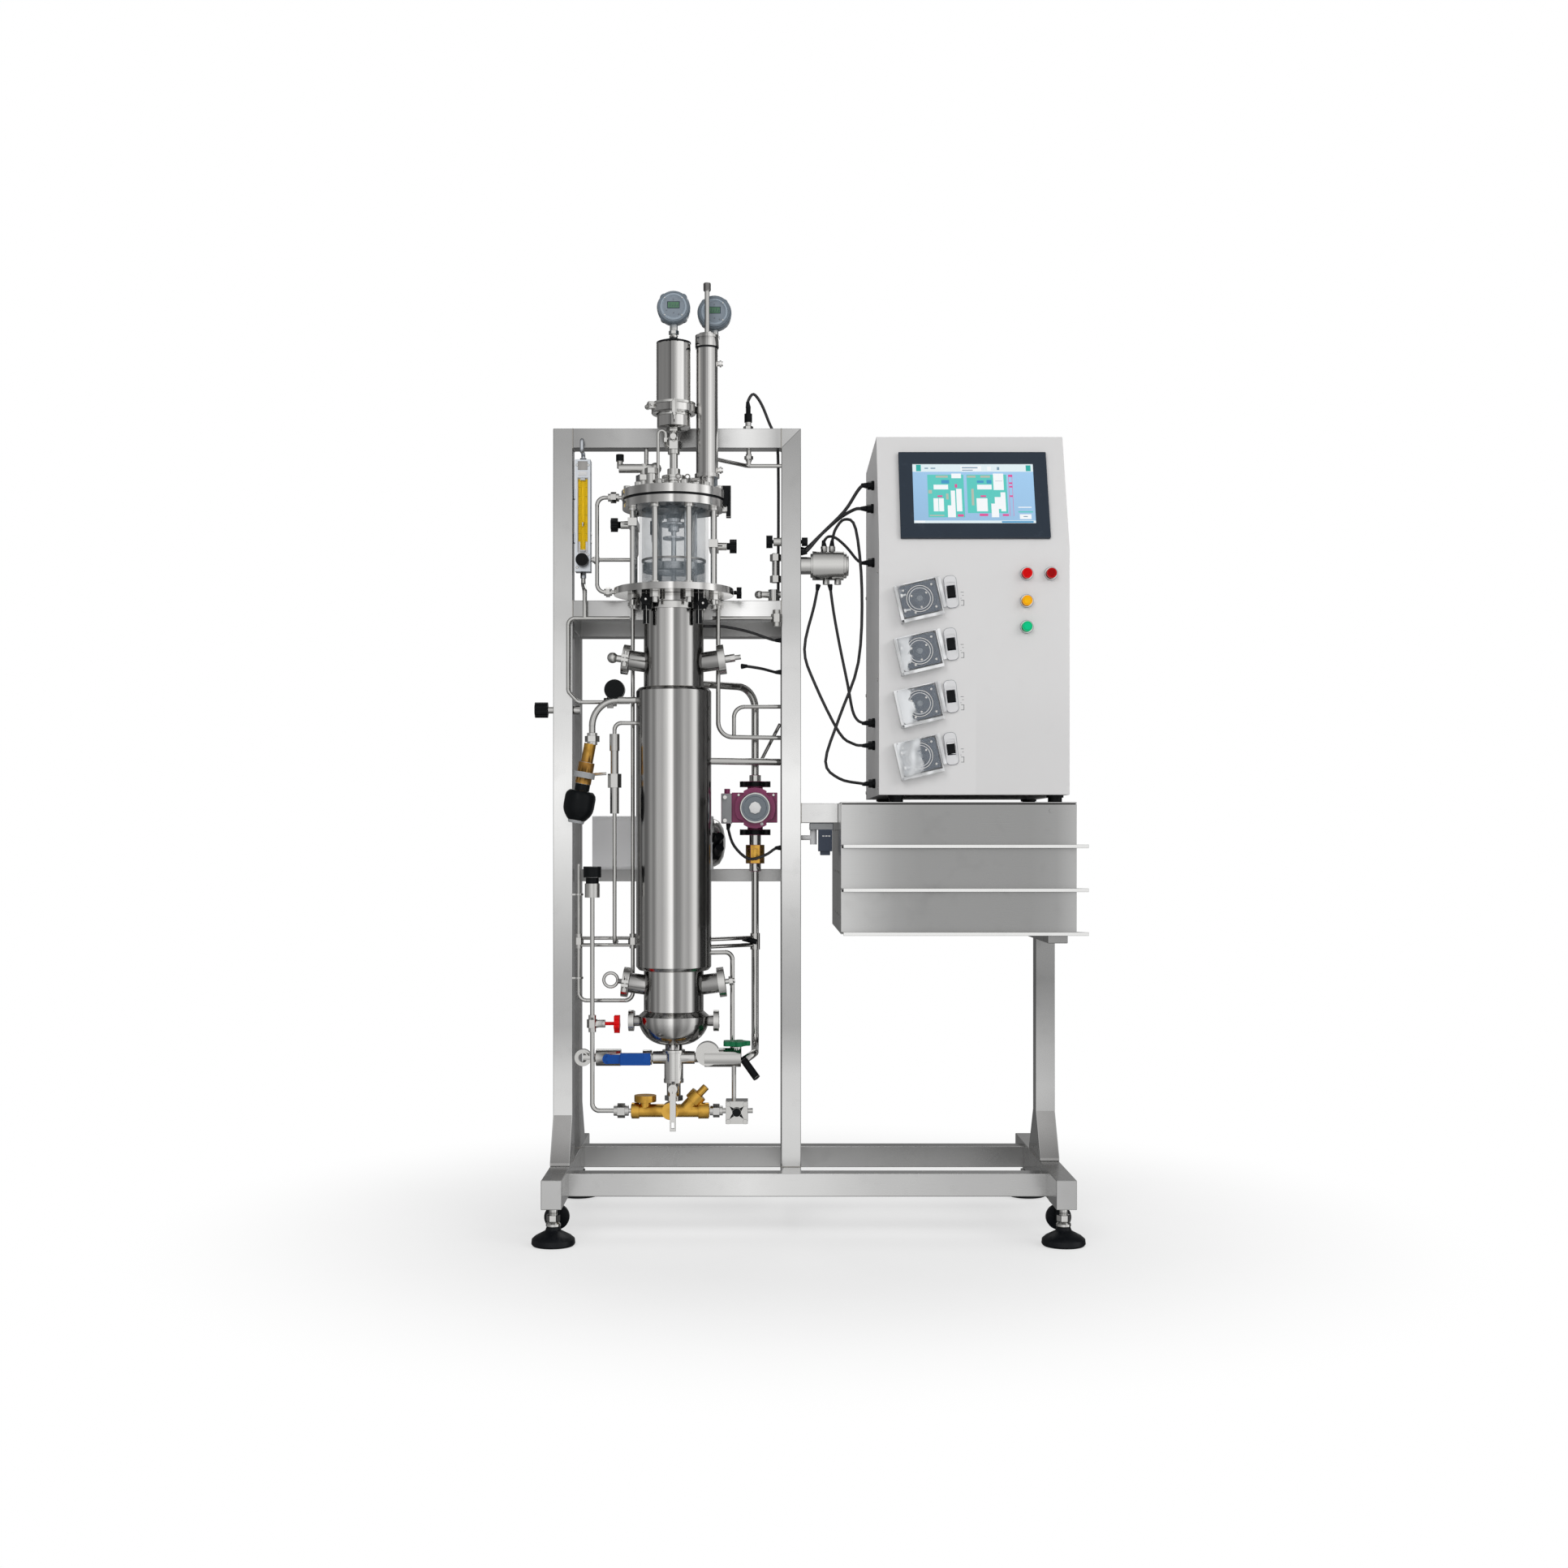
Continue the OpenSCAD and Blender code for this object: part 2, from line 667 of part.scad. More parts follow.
// Tube-in-tube exhaust condenser with its coolant nozzles and the vent rod
module condenser() {
    color("silver") at([condenser_x, vessel_y, 0]) {
        disc(14, lid_top, condenser_z);
        disc(condenser_r + 3, condenser_z, condenser_z + 8);
        disc(condenser_r, condenser_z + 8, condenser_top);
        disc(condenser_r + 2, condenser_top, condenser_top + 6);
        disc(condenser_r - 5, condenser_top + 6, condenser_top + 10);
        disc(5, condenser_top + 10, condenser_top + 108);
        disc(7, condenser_top + 96, condenser_top + 112);
        for (z = [condenser_z + 12, condenser_top - 54]) at([condenser_r - 2, 0, z + 4]) along_x() {
            disc(5, 0, 12);
            disc(7, 5, 9);
        }
    }
}

// Two digital pressure gauges: one on the filter, one on a stem behind the condenser
gauge_back_y = vessel_y + 38;
module gauge_head() {
    at([0, 0, 0]) along_y() {
        disc(gauge_r, -12, 14);
        ring(gauge_r, gauge_r - 4, 14, 17);
        disc(gauge_r - 9, -19, -12);
    }
    for (a = [45 : 90 : 315]) rotate([0, a, 0]) translate([gauge_r - 5, 0, 0]) along_y() disc(9, -10, 11);
    disc(8, -gauge_r - 15, -gauge_r + 12);
    hex(18, -gauge_r - 22, -gauge_r - 14);
}
module pressure_gauges() {
    color("slategray") {
        at([filter_x, vessel_y, gauge_z]) gauge_head();
        at([filter_x, vessel_y, 0]) disc(6, filter_top + 8 + seat, gauge_z - gauge_r - 22);
        at([condenser_x + 14, gauge_back_y, gauge_z]) gauge_head();
        at([condenser_x + 14, gauge_back_y, 0]) disc(6, lid_top + seat, gauge_z - gauge_r - 22);
    }
}

// Variable-area flow meter on the left post: body, scale plate, end blocks and elbow
module rotameter() {
    color("gold") at([rotameter_x, front_post_y, rotameter_z]) {
        difference() {
            block([-16, -14, 0], [16, 14, rotameter_h]);
            block([-10, -15, 40], [10, -9, rotameter_h - 38]);
            at([0, 0, 22]) along_y() disc(4 + fit, 4, 15);
        }
        block([-20 + seat, -8, 60], [-16, 8, 80]);
        block([-20 + seat, -8, rotameter_h - 80], [-16, 8, rotameter_h - 60]);
        at([0, 0, rotameter_h]) disc(7, 0, 4);
        pipe([[0, 0, rotameter_h + 4], [0, 0, rotameter_h + 13], [0, -33, rotameter_h + 13],
              [0, -33, rotameter_h + 36], [0, -tube / 2 - seat, rotameter_h + 36]], 8, 6);
        at([0, 0, -12]) disc(6, 0, 12);
    }
}
module rotameter_knob() {
    color("black") at([rotameter_x, front_post_y, rotameter_z + 22]) along_y() {
        disc(4, 6, 20);
        disc(13, 14 + seat, 34);
    }
}

// Black hand knob on a spindle along +Z, with a grip of radius r
module knob_on_spindle(r, spindle, grip) {
    disc(4, 1, spindle + 1);
    difference() {
        disc(r, spindle, spindle + grip);
        for (a = [0 : 45 : 315]) rotate(a) translate([r + 1, 0, 0]) disc(2.4, spindle - 1, spindle + grip + 1);
    }
}

// Relief valve knob on the outer face of the left post, in its bushed bore
relief_z = mid_top - 223;
module relief_knob() {
    color("black") at([left_x - tube / 2, front_post_y, relief_z]) rotate([0, -90, 0])
        knob_on_spindle(16, 13, 26);
}

// Spindle through the inner main post with a knob at each end
post_valve_z = mid_top + 123;
module post_knob() {
    color("black") {
        at([main_inner, front_post_y, post_valve_z]) rotate([0, -90, 0]) knob_on_spindle(13, 18, 13);
        at([main_outer, front_post_y, post_valve_z]) along_x() disc(9, 2, 14);
        bar([main_inner - 2, front_post_y, post_valve_z], [main_outer + 3, front_post_y, post_valve_z], 8);
    }
}

// Union nuts and small tees of one pipe run: centre, axis and size of each
module fitting(p, axis, across, length) {
    at(p) rotate(axis == "x" ? [0, 90, 0] : axis == "y" ? [90, 0, 0] : [0, 0, 0])
        union_nut(across, length);
}

// Bracket plate from a post's side face round a pipe
module clip(x_face, p, reach) {
    side = p[0] > x_face ? 1 : -1;
    difference() {
        union() {
            block([min(x_face, p[0]), p[1] - 6, p[2] - 2], [max(x_face, p[0]), max(p[1] + 6, reach), p[2] + 2]);
            at([p[0], p[1], 0]) disc(9, p[2] - 2, p[2] + 2);
        }
        at([p[0], p[1], 0]) disc(4 + seat, p[2] - 3, p[2] + 3);
    }
}

// Small-bore pipes, valves and fittings to the left of the vessel
plate_x = vessel_x - rod_circle * cos(180 / rod_count);
plate_back = vessel_y + rod_circle * sin(180 / rod_count) + 10;
gas_z = jacket_top - 24;
riser_z = jacket_bottom + 55;
module left_pipes() {
    color("silver") {
        // Equalising loop from the head plate down to the base flange
        pipe([[vessel_x - lid_r - seat, vessel_y, lid_bottom + 6], [vessel_x - 154, vessel_y, lid_bottom + 6],
              [vessel_x - 154, vessel_y, flange_top - 6], [vessel_x - base_flange_r - seat, vessel_y, flange_top - 6]],
             8, 16);
        fitting([vessel_x - lid_r - 16, vessel_y, lid_bottom + 6], "x", 20, 22);
        fitting([vessel_x - base_flange_r - 12, vessel_y, flange_top - 6], "x", 18, 16);
        // Gas line from the flow meter to the left sight glass valve
        pipe([[rotameter_x + 16 + seat, front_post_y, rotameter_z + 26],
              [plate_x, front_post_y, rotameter_z + 26],
              [plate_x, front_post_y, cross_z[1]],
              [plate_x, plate_back + seat, cross_z[1]]], 8, 14);
        fitting([rotameter_x + 26, front_post_y, rotameter_z + 26], "x", 16, 14);
        // Supply line along the middle beam, round the post and across to the jacket
        pipe([[dip_pipe_x - 6 - seat, pipe_y, rail_z], [left_x + 12, pipe_y, rail_z],
              [left_x + 12, pipe_y, gas_z + 22], [left_pipe_x - 2, pipe_y, gas_z],
              [dip_pipe_x - 6 - seat, pipe_y, gas_z]], 8, 14);
        fitting([dip_pipe_x - 46, pipe_y, gas_z], "x", 22, 26);
        // Drop pipe from the flow meter to the supply line
        pipe([[rotameter_x, front_post_y, rotameter_z - 12 - seat], [rotameter_x, front_post_y, rotameter_z - 26],
              [rotameter_x + 6, pipe_y, rotameter_z - 42], [rotameter_x + 6, pipe_y, rail_z]], 9, 8);
        // Long sampling pipe down beside the jacket and back up along the post
        pipe([[dip_pipe_x, pipe_y, flange_bottom - seat], [dip_pipe_x, pipe_y, jacket_bottom - 66],
              [left_pipe_x, pipe_y, jacket_bottom - 66], [left_pipe_x, pipe_y, jacket_bottom + 212]], 8, 16);
        fitting([dip_pipe_x, pipe_y, flange_bottom - 10], "z", 18, 16);
        fitting([dip_pipe_x, pipe_y, riser_z], "z", 17, 30);
        fitting([left_pipe_x, pipe_y, riser_z], "z", 17, 30);
        for (z = [riser_z - 8, riser_z + 6])
            bar([left_pipe_x, pipe_y, z], [dip_pipe_x, pipe_y, z], 7);
        // Condensate pipe from the jacket, with its filter body and check valve
        pipe([[vessel_x - jacket_r - seat, vessel_y, jacket_top - 70], [drop_pipe_x, vessel_y, jacket_top - 70],
              [drop_pipe_x, vessel_y, riser_z - 1], [drop_pipe_x, pipe_y, riser_z - 1]], 8, 14);
        at([drop_pipe_x, vessel_y, 0]) {
            disc(10, jacket_top - 126, jacket_top - 92);
            disc(8, jacket_top - 172, jacket_top - 126);
            hex(24, jacket_top - 200, jacket_top - 172);
            disc(9, jacket_top - 252, jacket_top - 200);
        }
        // Hose-size bend from the jacket to the pressure reducing valve
        pipe([[vessel_x - jacket_r - seat, vessel_y, gas_z], [reducer_x, vessel_y, gas_z],
              [reducer_x, vessel_y, reducer_top + seat]], 13, 52);
        // Drain pipe down to the strainer
        pipe([[drain_pipe_x, brass_y, reducer_top - 330], [drain_pipe_x, brass_y, brass_z],
              [vessel_x - 84 - seat, brass_y, brass_z]], 9, 14);
        fitting([vessel_x - 104, brass_y, brass_z], "x", 26, 30);
        fitting([drain_pipe_x, brass_y, red_z], "z", 19, 34);
        // Ball valve and its union on the outlet line
        difference() {
            union() {
                at([0, vessel_y, valve_line_z]) along_x() {
                    disc(9, drain_pipe_x - 20, vessel_x - 42 - seat);
                    disc(17, vessel_x - 156, vessel_x - 106);
                    disc(15, vessel_x - 62, vessel_x - 44);
                }
                at([vessel_x - 131, vessel_y, valve_line_z]) along_y() disc(9, 0, 24);
                at([drain_pipe_x - 20, vessel_y, valve_line_z]) along_y() ring(17, 9, -8, 8);
            }
            at([vessel_x - 131, vessel_y, valve_line_z]) along_y() disc(4 + fit, 12, 25);
        }
        // Body of the red needle valve
        at([drain_pipe_x, brass_y, red_z]) along_x() difference() {
            disc(8, 0, 26);
            disc(3.5 + fit, 8, 27);
        }
        clip(left_inner, [left_pipe_x, pipe_y, jacket_bottom + 150], post_front + 6);
        clip(left_inner, [left_pipe_x, pipe_y, jacket_bottom - 20], post_front + 6);
        // Relief valve: bush on the outer face of the left post and union on its inner face
        at([left_x - tube / 2, front_post_y, relief_z]) rotate([0, -90, 0]) ring(7, 4 + fit, seat, 12);
        at([left_inner, front_post_y, relief_z]) along_x() disc(9, seat, 14);
        // Inlet valve on the left of the head plate
        at([vessel_x - 60, vessel_y + 24, lid_top + 38 + seat]) {
            disc(9, 0, 22);
            at([0, 0, 14]) along_x() disc(9, -52, 22);
            at([22, 0, 14]) sphere(12);
            at([-50, 0, 14]) disc(6, 0, 14);
        }
        bar([vessel_x - 60, front_post_y - 8, lid_top + 54], [vessel_x - 60, front_post_y - 8, frame_top - tube - seat], 9);
    }
    color("black") {
        at([vessel_x - 110, vessel_y + 24, lid_top + 66 + seat]) disc(8, 0, 14);
        // Round dial and the second valve's head
        at([vessel_x - 122, pipe_y - 10, gas_z + 24]) along_y() disc(21, -6, 12);
        at([drain_pipe_x, brass_y, 0]) {
            disc(18, reducer_top - 290, reducer_top - 268);
            disc(13, reducer_top - 302, reducer_top - 290);
        }
    }
    color("silver") {
        at([vessel_x - 122, pipe_y - 4 - seat, 0]) disc(5, gas_z + 2, gas_z + 6);
        at([drain_pipe_x, brass_y, 0]) disc(15, reducer_top - 330, reducer_top - 302);
    }
}
reducer_x = vessel_x - 164;
reducer_top = jacket_top - 90;
red_z = small_port_z - 12;

// Blue lever of the outlet line's ball valve
module drain_lever() {
    color("blue") at([vessel_x - 131, vessel_y, valve_line_z]) {
        along_y() disc(4, 14, 34);
        along_y() disc(10, 24 + seat, 31);
        block([0, -34, -9], [46, -31, 9]);
        block([26, -38, -12], [86, -27, 12]);
    }
}
module red_knob() {
    color("red") at([drain_pipe_x, brass_y, red_z]) along_x() {
        disc(3.5, 12, 50);
        at([0, 0, 44]) star(19, 5, 11);
    }
}

// Point just off a round wall about centre c, in the direction of a target
function off_wall(c, r, target, z) =
    let (v = unit([target[0] - c[0], target[1] - c[1]]))
    [c[0] + v[0] * (r + seat), c[1] + v[1] * (r + seat), z];
function wall_point(r, target, z) = off_wall([vessel_x, vessel_y], r, target, z);

// Pipes, struts and fittings to the right of the vessel
return_z = jacket_top + 12;
cool_z = jacket_top - 95;
cast_z = valve_line_z + 6;
wheel_z = cast_z + 26;
module right_pipes() {
    pump_axis = [return_x, pump_y];
    drop_x = vessel_x + 88;
    color("silver") {
        // Return pipe from the neck down to the circulation pump
        pipe([wall_point(neck_r, pump_axis, return_z), [return_x, pump_y, return_z],
              [return_x, pump_y, pump_top + seat]], 15, 45);
        // Feed pipe from the pump down to the cast strainer
        pipe([[return_x, pump_y, pump_bottom - 62 - seat], [return_x, pump_y, cast_z + 2],
              [return_x, vessel_y, cast_z + 2], [return_x - 26, vessel_y, cast_z - 14]], 15, 26);
        // Coolant pipe from the base flange down and across to the post
        pipe([[drop_x, pipe_y - 3, flange_bottom - seat], [drop_x, pipe_y - 3, cool_z],
              [main_inner - seat - 1.3, front_post_y, cool_z]], 9, 30);
        fitting([drop_x, pipe_y - 3, flange_bottom - 10], "z", 18, 16);
        pipe([[branch_x + 3, pipe_y + 9, cool_z], [branch_x + 3, pipe_y + 9, cool_z + 62],
              [main_inner - seat - 1.1, front_post_y, cool_z + 64]], 8, 22);
        // Rail along the middle beam
        bar([vessel_x + 76, pipe_y, rail_z], [main_inner - 6, pipe_y, rail_z], 8);
        fitting([main_inner - 10, pipe_y, rail_z], "z", 20, 34);
        at([main_inner - 10, 0, rail_z]) along_y() disc(5, -post_front + seat, -pipe_y);
        // Strut from the jacket to the post
        bar(wall_point(jacket_r, [main_inner, front_post_y], cool_z - 50),
            [main_inner - seat - 2.7, front_post_y, cool_z - 50], 14);
        // Thin bypass to the pump
        bar([main_inner - seat - 2.6, front_post_y + 4, cool_z + 28], [return_x + 9, pump_y - 3, pump_top + 24], 7);
        // Pair of jacket pipes to the feed pipe
        for (z = [riser_z - 12, riser_z + 3])
            bar(wall_point(jacket_r, pump_axis, z), [return_x - 5, pump_y - 4.3, z], 8);
        at([return_x, pump_y, 0]) disc(10, riser_z - 22, riser_z + 12);
        // Drop pipe into the back of the cast strainer
        pipe([wall_point(jacket_r, [branch_x, vessel_y + 47], riser_z - 22),
              [branch_x, vessel_y + 47, riser_z - 22],
              [branch_x, vessel_y + 47, cast_z - 4], [branch_x, vessel_y + 15, cast_z - 4]], 9, 16);
        // Cast strainer body on the outlet line, bored for the handwheel's stem
        difference() {
            union() {
                at([0, vessel_y, valve_line_z]) along_x() {
                    disc(10, vessel_x + 42 + seat, vessel_x + 70);
                    disc(19, vessel_x + 62, return_x - 28);
                }
                at([handwheel_x, vessel_y, 0]) disc(11, valve_line_z, wheel_z - 10);
            }
            at([handwheel_x, vessel_y, 0]) disc(4 + fit, wheel_z - 28, wheel_z);
        }
        at([vessel_x + 68, vessel_y, valve_line_z + 8]) along_y() disc(24, -15, 15);
        bar([vessel_x + 68, vessel_y, valve_line_z + 6], [vessel_x + 50, vessel_y, valve_line_z + 20], 18);
        // Pipe down to the steam trap, the trap and its unions
        bar([handwheel_x - 4, vessel_y - 6, brass_z + 21], [handwheel_x - 4, vessel_y - 6, valve_line_z - 10], 9);
        block([trap_x - 22, brass_y - 20, brass_z - 24], [trap_x + 22, brass_y + 26, brass_z + 21]);
        for (dx = [-17, 17], dz = [-19, 16])
            at([trap_x + dx, brass_y, brass_z + dz]) along_y() hex(9, 20, 26);
        bar([vessel_x + 72 + seat, brass_y, brass_z], [trap_x - 22, brass_y, brass_z], 11);
        fitting([vessel_x + 86, brass_y, brass_z], "x", 24, 26);
        at([trap_x + 22, brass_y, brass_z]) along_x() disc(5, 0, 10);
        // Valve through the inner main post and its small body
        at([main_inner, front_post_y, post_valve_z]) rotate([0, -90, 0]) ring(9, 4 + fit, seat, 16);
        at([main_inner - 12, front_post_y, 0]) {
            disc(7, post_valve_z - 76, post_valve_z - 24);
            hex(20, post_valve_z - 84, post_valve_z - 70);
            hex(20, post_valve_z - 40, post_valve_z - 26);
        }
        // Lever valve on the middle beam by the post
        at([main_inner - 16, front_post_y, mid_top + seat]) {
            disc(11, 0, 24);
            at([0, 0, 14]) along_x() disc(7, -32, 15);
            at([-30, 0, 14]) sphere(9);
        }
        // Vent line below the top beam
        pipe([off_wall([condenser_x, vessel_y], condenser_r, [condenser_x + 80, front_post_y], vent_z),
              [condenser_x + 80, front_post_y, vent_z], [main_inner - seat, front_post_y, vent_z]], 8, 16);
        at([vessel_x + 150, front_post_y, 0]) disc(5, vent_z, frame_top - tube - seat);
        at([vessel_x + 150, front_post_y, (vent_z + frame_top - tube) / 2]) union_nut(16, 14);
    }
    color("black") {
        at([trap_x, brass_y, brass_z]) along_y() disc(9, 20, 27);
        bar([return_x - 22, vessel_y - 12, cast_z - 10], [return_x + 4, vessel_y - 30, cast_z - 44], 15);
        bar([return_x - 26, pump_y - 14, riser_z + 2], [return_x + 4, pump_y - 14, riser_z - 6], 11);
    }
}
handwheel_x = vessel_x + 125;
trap_x = vessel_x + 127;
vent_z = min(condenser_z + 42, frame_top - tube - 20);

// Green handwheel of the cast strainer's stop valve
module green_handwheel() {
    color("green") at([handwheel_x, vessel_y, 0]) {
        disc(4, wheel_z - 26, wheel_z + 2);
        at([0, 0, wheel_z - 8]) star(29, 5, 9);
    }
}

// Hygienic clamps round every ferrule, each with its wing bolt, and the blanks they hold
blank_lift = seat - 1.5;
module blank(r, t) { disc(r, 0, t); }

module hygienic_clamps() {
    color("silver") {
        // Clamp under the base flange and its four toggles
        at([vessel_x, vessel_y, flange_bottom - 30]) ring(neck_r + 5, neck_r + seat, 0, 13);
        // Side nozzles: blank, clamp and what hangs on it
        for (z = [upper_port_z, lower_port_z], side = [-1, 1]) side_port(z, side) {
            along_x() at([0, 0, nozzle_reach - 20 + seat]) blank(nozzle_r + ferrule, 5);
            along_x() at([0, 0, nozzle_reach - 19]) rotate(90) port_clamp();
        }
        // Ball handle and eye ring of the left ports, glands of the right ports
        side_port(upper_port_z, -1) along_x() at([0, 0, nozzle_reach - 14]) {
            disc(7, blank_lift, 16);
            at([0, 0, 22]) sphere(11);
        }
        side_port(lower_port_z, -1) at([nozzle_reach + 8, 0, 0]) {
            along_x() disc(5, -23, -10);
            at([4, 0, 0]) rotate([90, 0, 0]) rotate_extrude() translate([14, 0]) circle(r = 3.2);
        }
        side_port(upper_port_z, 1) along_x() at([0, 0, nozzle_reach - 14]) {
            disc(8, blank_lift, 12);
            hex(14, 12, 22);
            disc(5, 22, 34);
        }
        side_port(lower_port_z, 1) along_x() at([0, 0, nozzle_reach - 14]) {
            disc(5, blank_lift, 22);
            hex(16, 10, 18);
        }
        // Small ports of the bottom head
        for (side = [-1, 1]) at([vessel_x, vessel_y, small_port_z - 8])
            rotate([0, side < 0 ? 180 : 0, 0]) translate([head_r + 14 + seat, 0, 0]) {
                along_x() disc(small_r + 5, 0, 5);
                along_x() at([0, 0, 0]) rotate(90) clamp_ring(small_r + 6, 11);
            }
    }
    // Clamp between the filter housing and its base
    color("silver") at([filter_x, vessel_y, filter_seam - seat / 2]) rotate(200)
        clamp_ring(filter_r + 5, 14);
    color("black") {
        for (a = [225, 315]) at([vessel_x, vessel_y, 0]) rotate(a) toggle();
        at([vessel_x, vessel_y, 0]) lid_clamp();
        at([vessel_x + base_flange_r + seat, vessel_y, flange_top - 7]) along_x() {
            disc(4, 0, 7);
            at([0, 0, 6]) star(12, 5, 10);
        }
    }
}

// Split clamp ring that sits on a ferrule rim with a small gap, and its wing bolt
module clamp_ring(r, width) {
    difference() {
        union() {
            ring(r + 4, r - 1 + seat, -width / 2, width / 2);
            block([r + 2, -7, -width / 2], [r + 14, 7, width / 2]);
        }
        block([r - 3, -1, -width], [r + 20, 1, width]);
    }
    at([r + 10, 0, 0]) along_y() disc(3, -14, 14);
    at([r + 10, 0, 0]) along_y() disc(6, 9, 17);
}
module port_clamp() { clamp_ring(nozzle_r + ferrule + 1, 14); }

// Black toggle handle on the clamp below the base flange
module toggle() {
    block([neck_r + 5 + seat, -7, flange_bottom - 34], [neck_r + 20, 7, flange_bottom - seat]);
    block([neck_r + 10, -5, flange_bottom - 62], [neck_r + 18, 5, flange_bottom - 34]);
}

// Black swing clamp over the head plate's rim
module lid_clamp() {
    block([lid_r + seat, -9, glass_top - 14], [lid_r + 10, 9, lid_top + 12]);
    block([lid_r - 8, -9, lid_top + seat], [lid_r + 10, 9, lid_top + 12]);
}

// Brass strainer on the condensate line: body, cap and slanted basket leg
module brass_strainer() {
    leg = unit([1, 0, 1.05]);
    color("goldenrod") at([vessel_x, brass_y, brass_z]) {
        along_x() {
            disc(13, -84, 72);
            disc(16, -83, -68);
            disc(16, 50, 71);
        }
        at([-56, 0, 5]) disc(11, 0, 14);
        at([-56, 0, 18]) disc(22, 0, 13);
        at([-6, 0, 0]) along_y() disc(17, -15, 14);
        bar([20, 0, 0], [20, 0, 0] + leg * 44, 24);
        bar([20, 0, 0] + leg * 26, [20, 0, 0] + leg * 46, 34);
        bar([20, 0, 0] + leg * 44, [20, 0, 0] + leg * 66, 15);
    }
}

// Brass pressure reducing valve with its grey band and black spring housing
module reducing_valve() {
    axis_end = [-34, 0, -186];
    v = unit(axis_end);
    at([reducer_x, vessel_y, reducer_top]) {
        color("silver") at([0, 0, -12]) union_nut(26, 24);
        color("goldenrod") {
            bar(v * 22, v * 78, 24);
            bar(v * 60, v * 104, 32);
        }
        color("gray") bar(v * 80, v * 92, 42);
        color("gray") bar(v * 86, v * 86 + [44 - fit, 0, 3], 6);
        color("black") {
            bar(v * 104, v * 120, 30);
            bar(v * 118, v * 168, 62);
            bar(v * 168, v * 178, 52);
        }
        color("gray") bar(v * 178, v * 184, 34);
    }
}

// Circulation pump: wet end, motor, terminal box, flanges and the brass union below
pump_z = jacket_bottom + 327;
pump_top = pump_z + 69;
pump_bottom = pump_z - 69;
module circulation_pump() {
    at([return_x, pump_y, pump_z]) {
        color("palevioletred") {
            difference() {
                along_y() disc(42, -20, 46);
                for (a = [45 : 90 : 315]) rotate([0, a, 0]) translate([46, -60, 0]) along_y() disc(9, -80, 30);
            }
            block([-48, -34, -30], [46, 16, 32]);
            disc(16, -44, 44);
        }
        color("silver") {
            along_y() disc(31, 46, 60);
            along_y() disc(6, 60, 64);
            disc(12, 56, 69);
            disc(12, -131, -56);
        }
        color("black") for (z = [44, -56]) {
            disc(21, z, z + 12);
            for (x = [-24, 24]) at([x, 0, 0]) hull() {
                disc(8, z, z + 12);
                at([-x / 2, 0, 0]) disc(8, z, z + 12);
            }
        }
        color("goldenrod") {
            hex(34, -115, -76);
            disc(18, -108, -84);
        }
        color("gray") block([-70, -42, -32], [-48, 4, 30]);
        color("black") for (z = [-26, 22]) at([-62, -10, z]) along_y() disc(4, 32, 38);
        color("silver") at([-58, -18, 30]) disc(6, 0, 10);
    }
}

// Hot water tank behind the vessel, on the rear shelf rail
tank_left = vessel_x - 176;
tank_len = 250;
tank_y = 36;
tank_r = tank_h / 2;
module hot_water_tank() {
    color("whitesmoke") at([tank_left, tank_y, tank_z]) {
        block([0, -50, -tank_r + 10], [tank_len, 50, tank_r - 10]);
        block([0, -40, -tank_r], [tank_len, 50, tank_r]);
        for (z = [-tank_r + 10, tank_r - 10]) at([0, -40, z]) along_x() disc(10, 0, tank_len);
        block([20, 50, -tank_r], [tank_len - 20, 52, tank_r]);
    }
    color("silver") at([tank_left + tank_len, tank_y, tank_z]) along_x() rotate_extrude()
        polygon([[0, 0], [50, 0], [50, 4], [44, 14], [30, 22], [10, 26], [0, 26]]);
    color("silver") at([tank_left + tank_len / 2, tank_y, 0])
        block([-90, 30, tank_shelf], [90, rear_post_y - tube / 2 + 20, tank_z - tank_r]);
    color("black") for (z = [-20, 4]) at([tank_left + tank_len + 10, tank_y - 44, tank_z + z])
        rotate([60, 0, 20]) disc(9, 0, 20);
}

// Steel transmitter housing on the outer side of the inner main post
housing_z = mid_top + 74;
housing_r = 30;
module transmitter_housing() {
    color("silver") at([main_outer, front_post_y, housing_z]) along_x() {
        disc(18, seat, 20);
        disc(housing_r - 5, 20, 24);
        disc(housing_r, 24, 88);
        disc(housing_r - 4, 88, 94);
        disc(housing_r - 9, 94, 98);
    }
    color("silver") at([main_outer, front_post_y, housing_z]) {
        for (x = [48, 64]) at([x, 0, 0]) disc(7, housing_r - 5, housing_r + 9);
        for (x = [52, 76]) at([x, 0, 0]) disc(7, -housing_r - 9, -housing_r + 5);
    }
}

// Solenoid valve below the link beam: bracket, body, coil plug and its elbow
solenoid_x = main_outer + 50;
module solenoid_valve() {
    bracket_z = box_top - tube - seat;
    at([0, front_post_y, 0]) {
        color("gray") block([main_outer + 18, -16, bracket_z - 14], [solenoid_x + 16, 16, bracket_z]);
        color("darkslateblue") {
            block([solenoid_x - 14, -16, bracket_z - 58], [solenoid_x + 14, 16, bracket_z - 14]);
            block([solenoid_x - 10, -12, bracket_z - 66], [solenoid_x + 10, 12, bracket_z - 58]);
        }
        color("white") at([main_outer + 26, 0, 0]) {
            disc(7, bracket_z - 44, bracket_z - 13);
            at([0, 0, bracket_z - 30]) rotate([0, -90, 0]) disc(5, 0, 26 - seat);
        }
    }
}

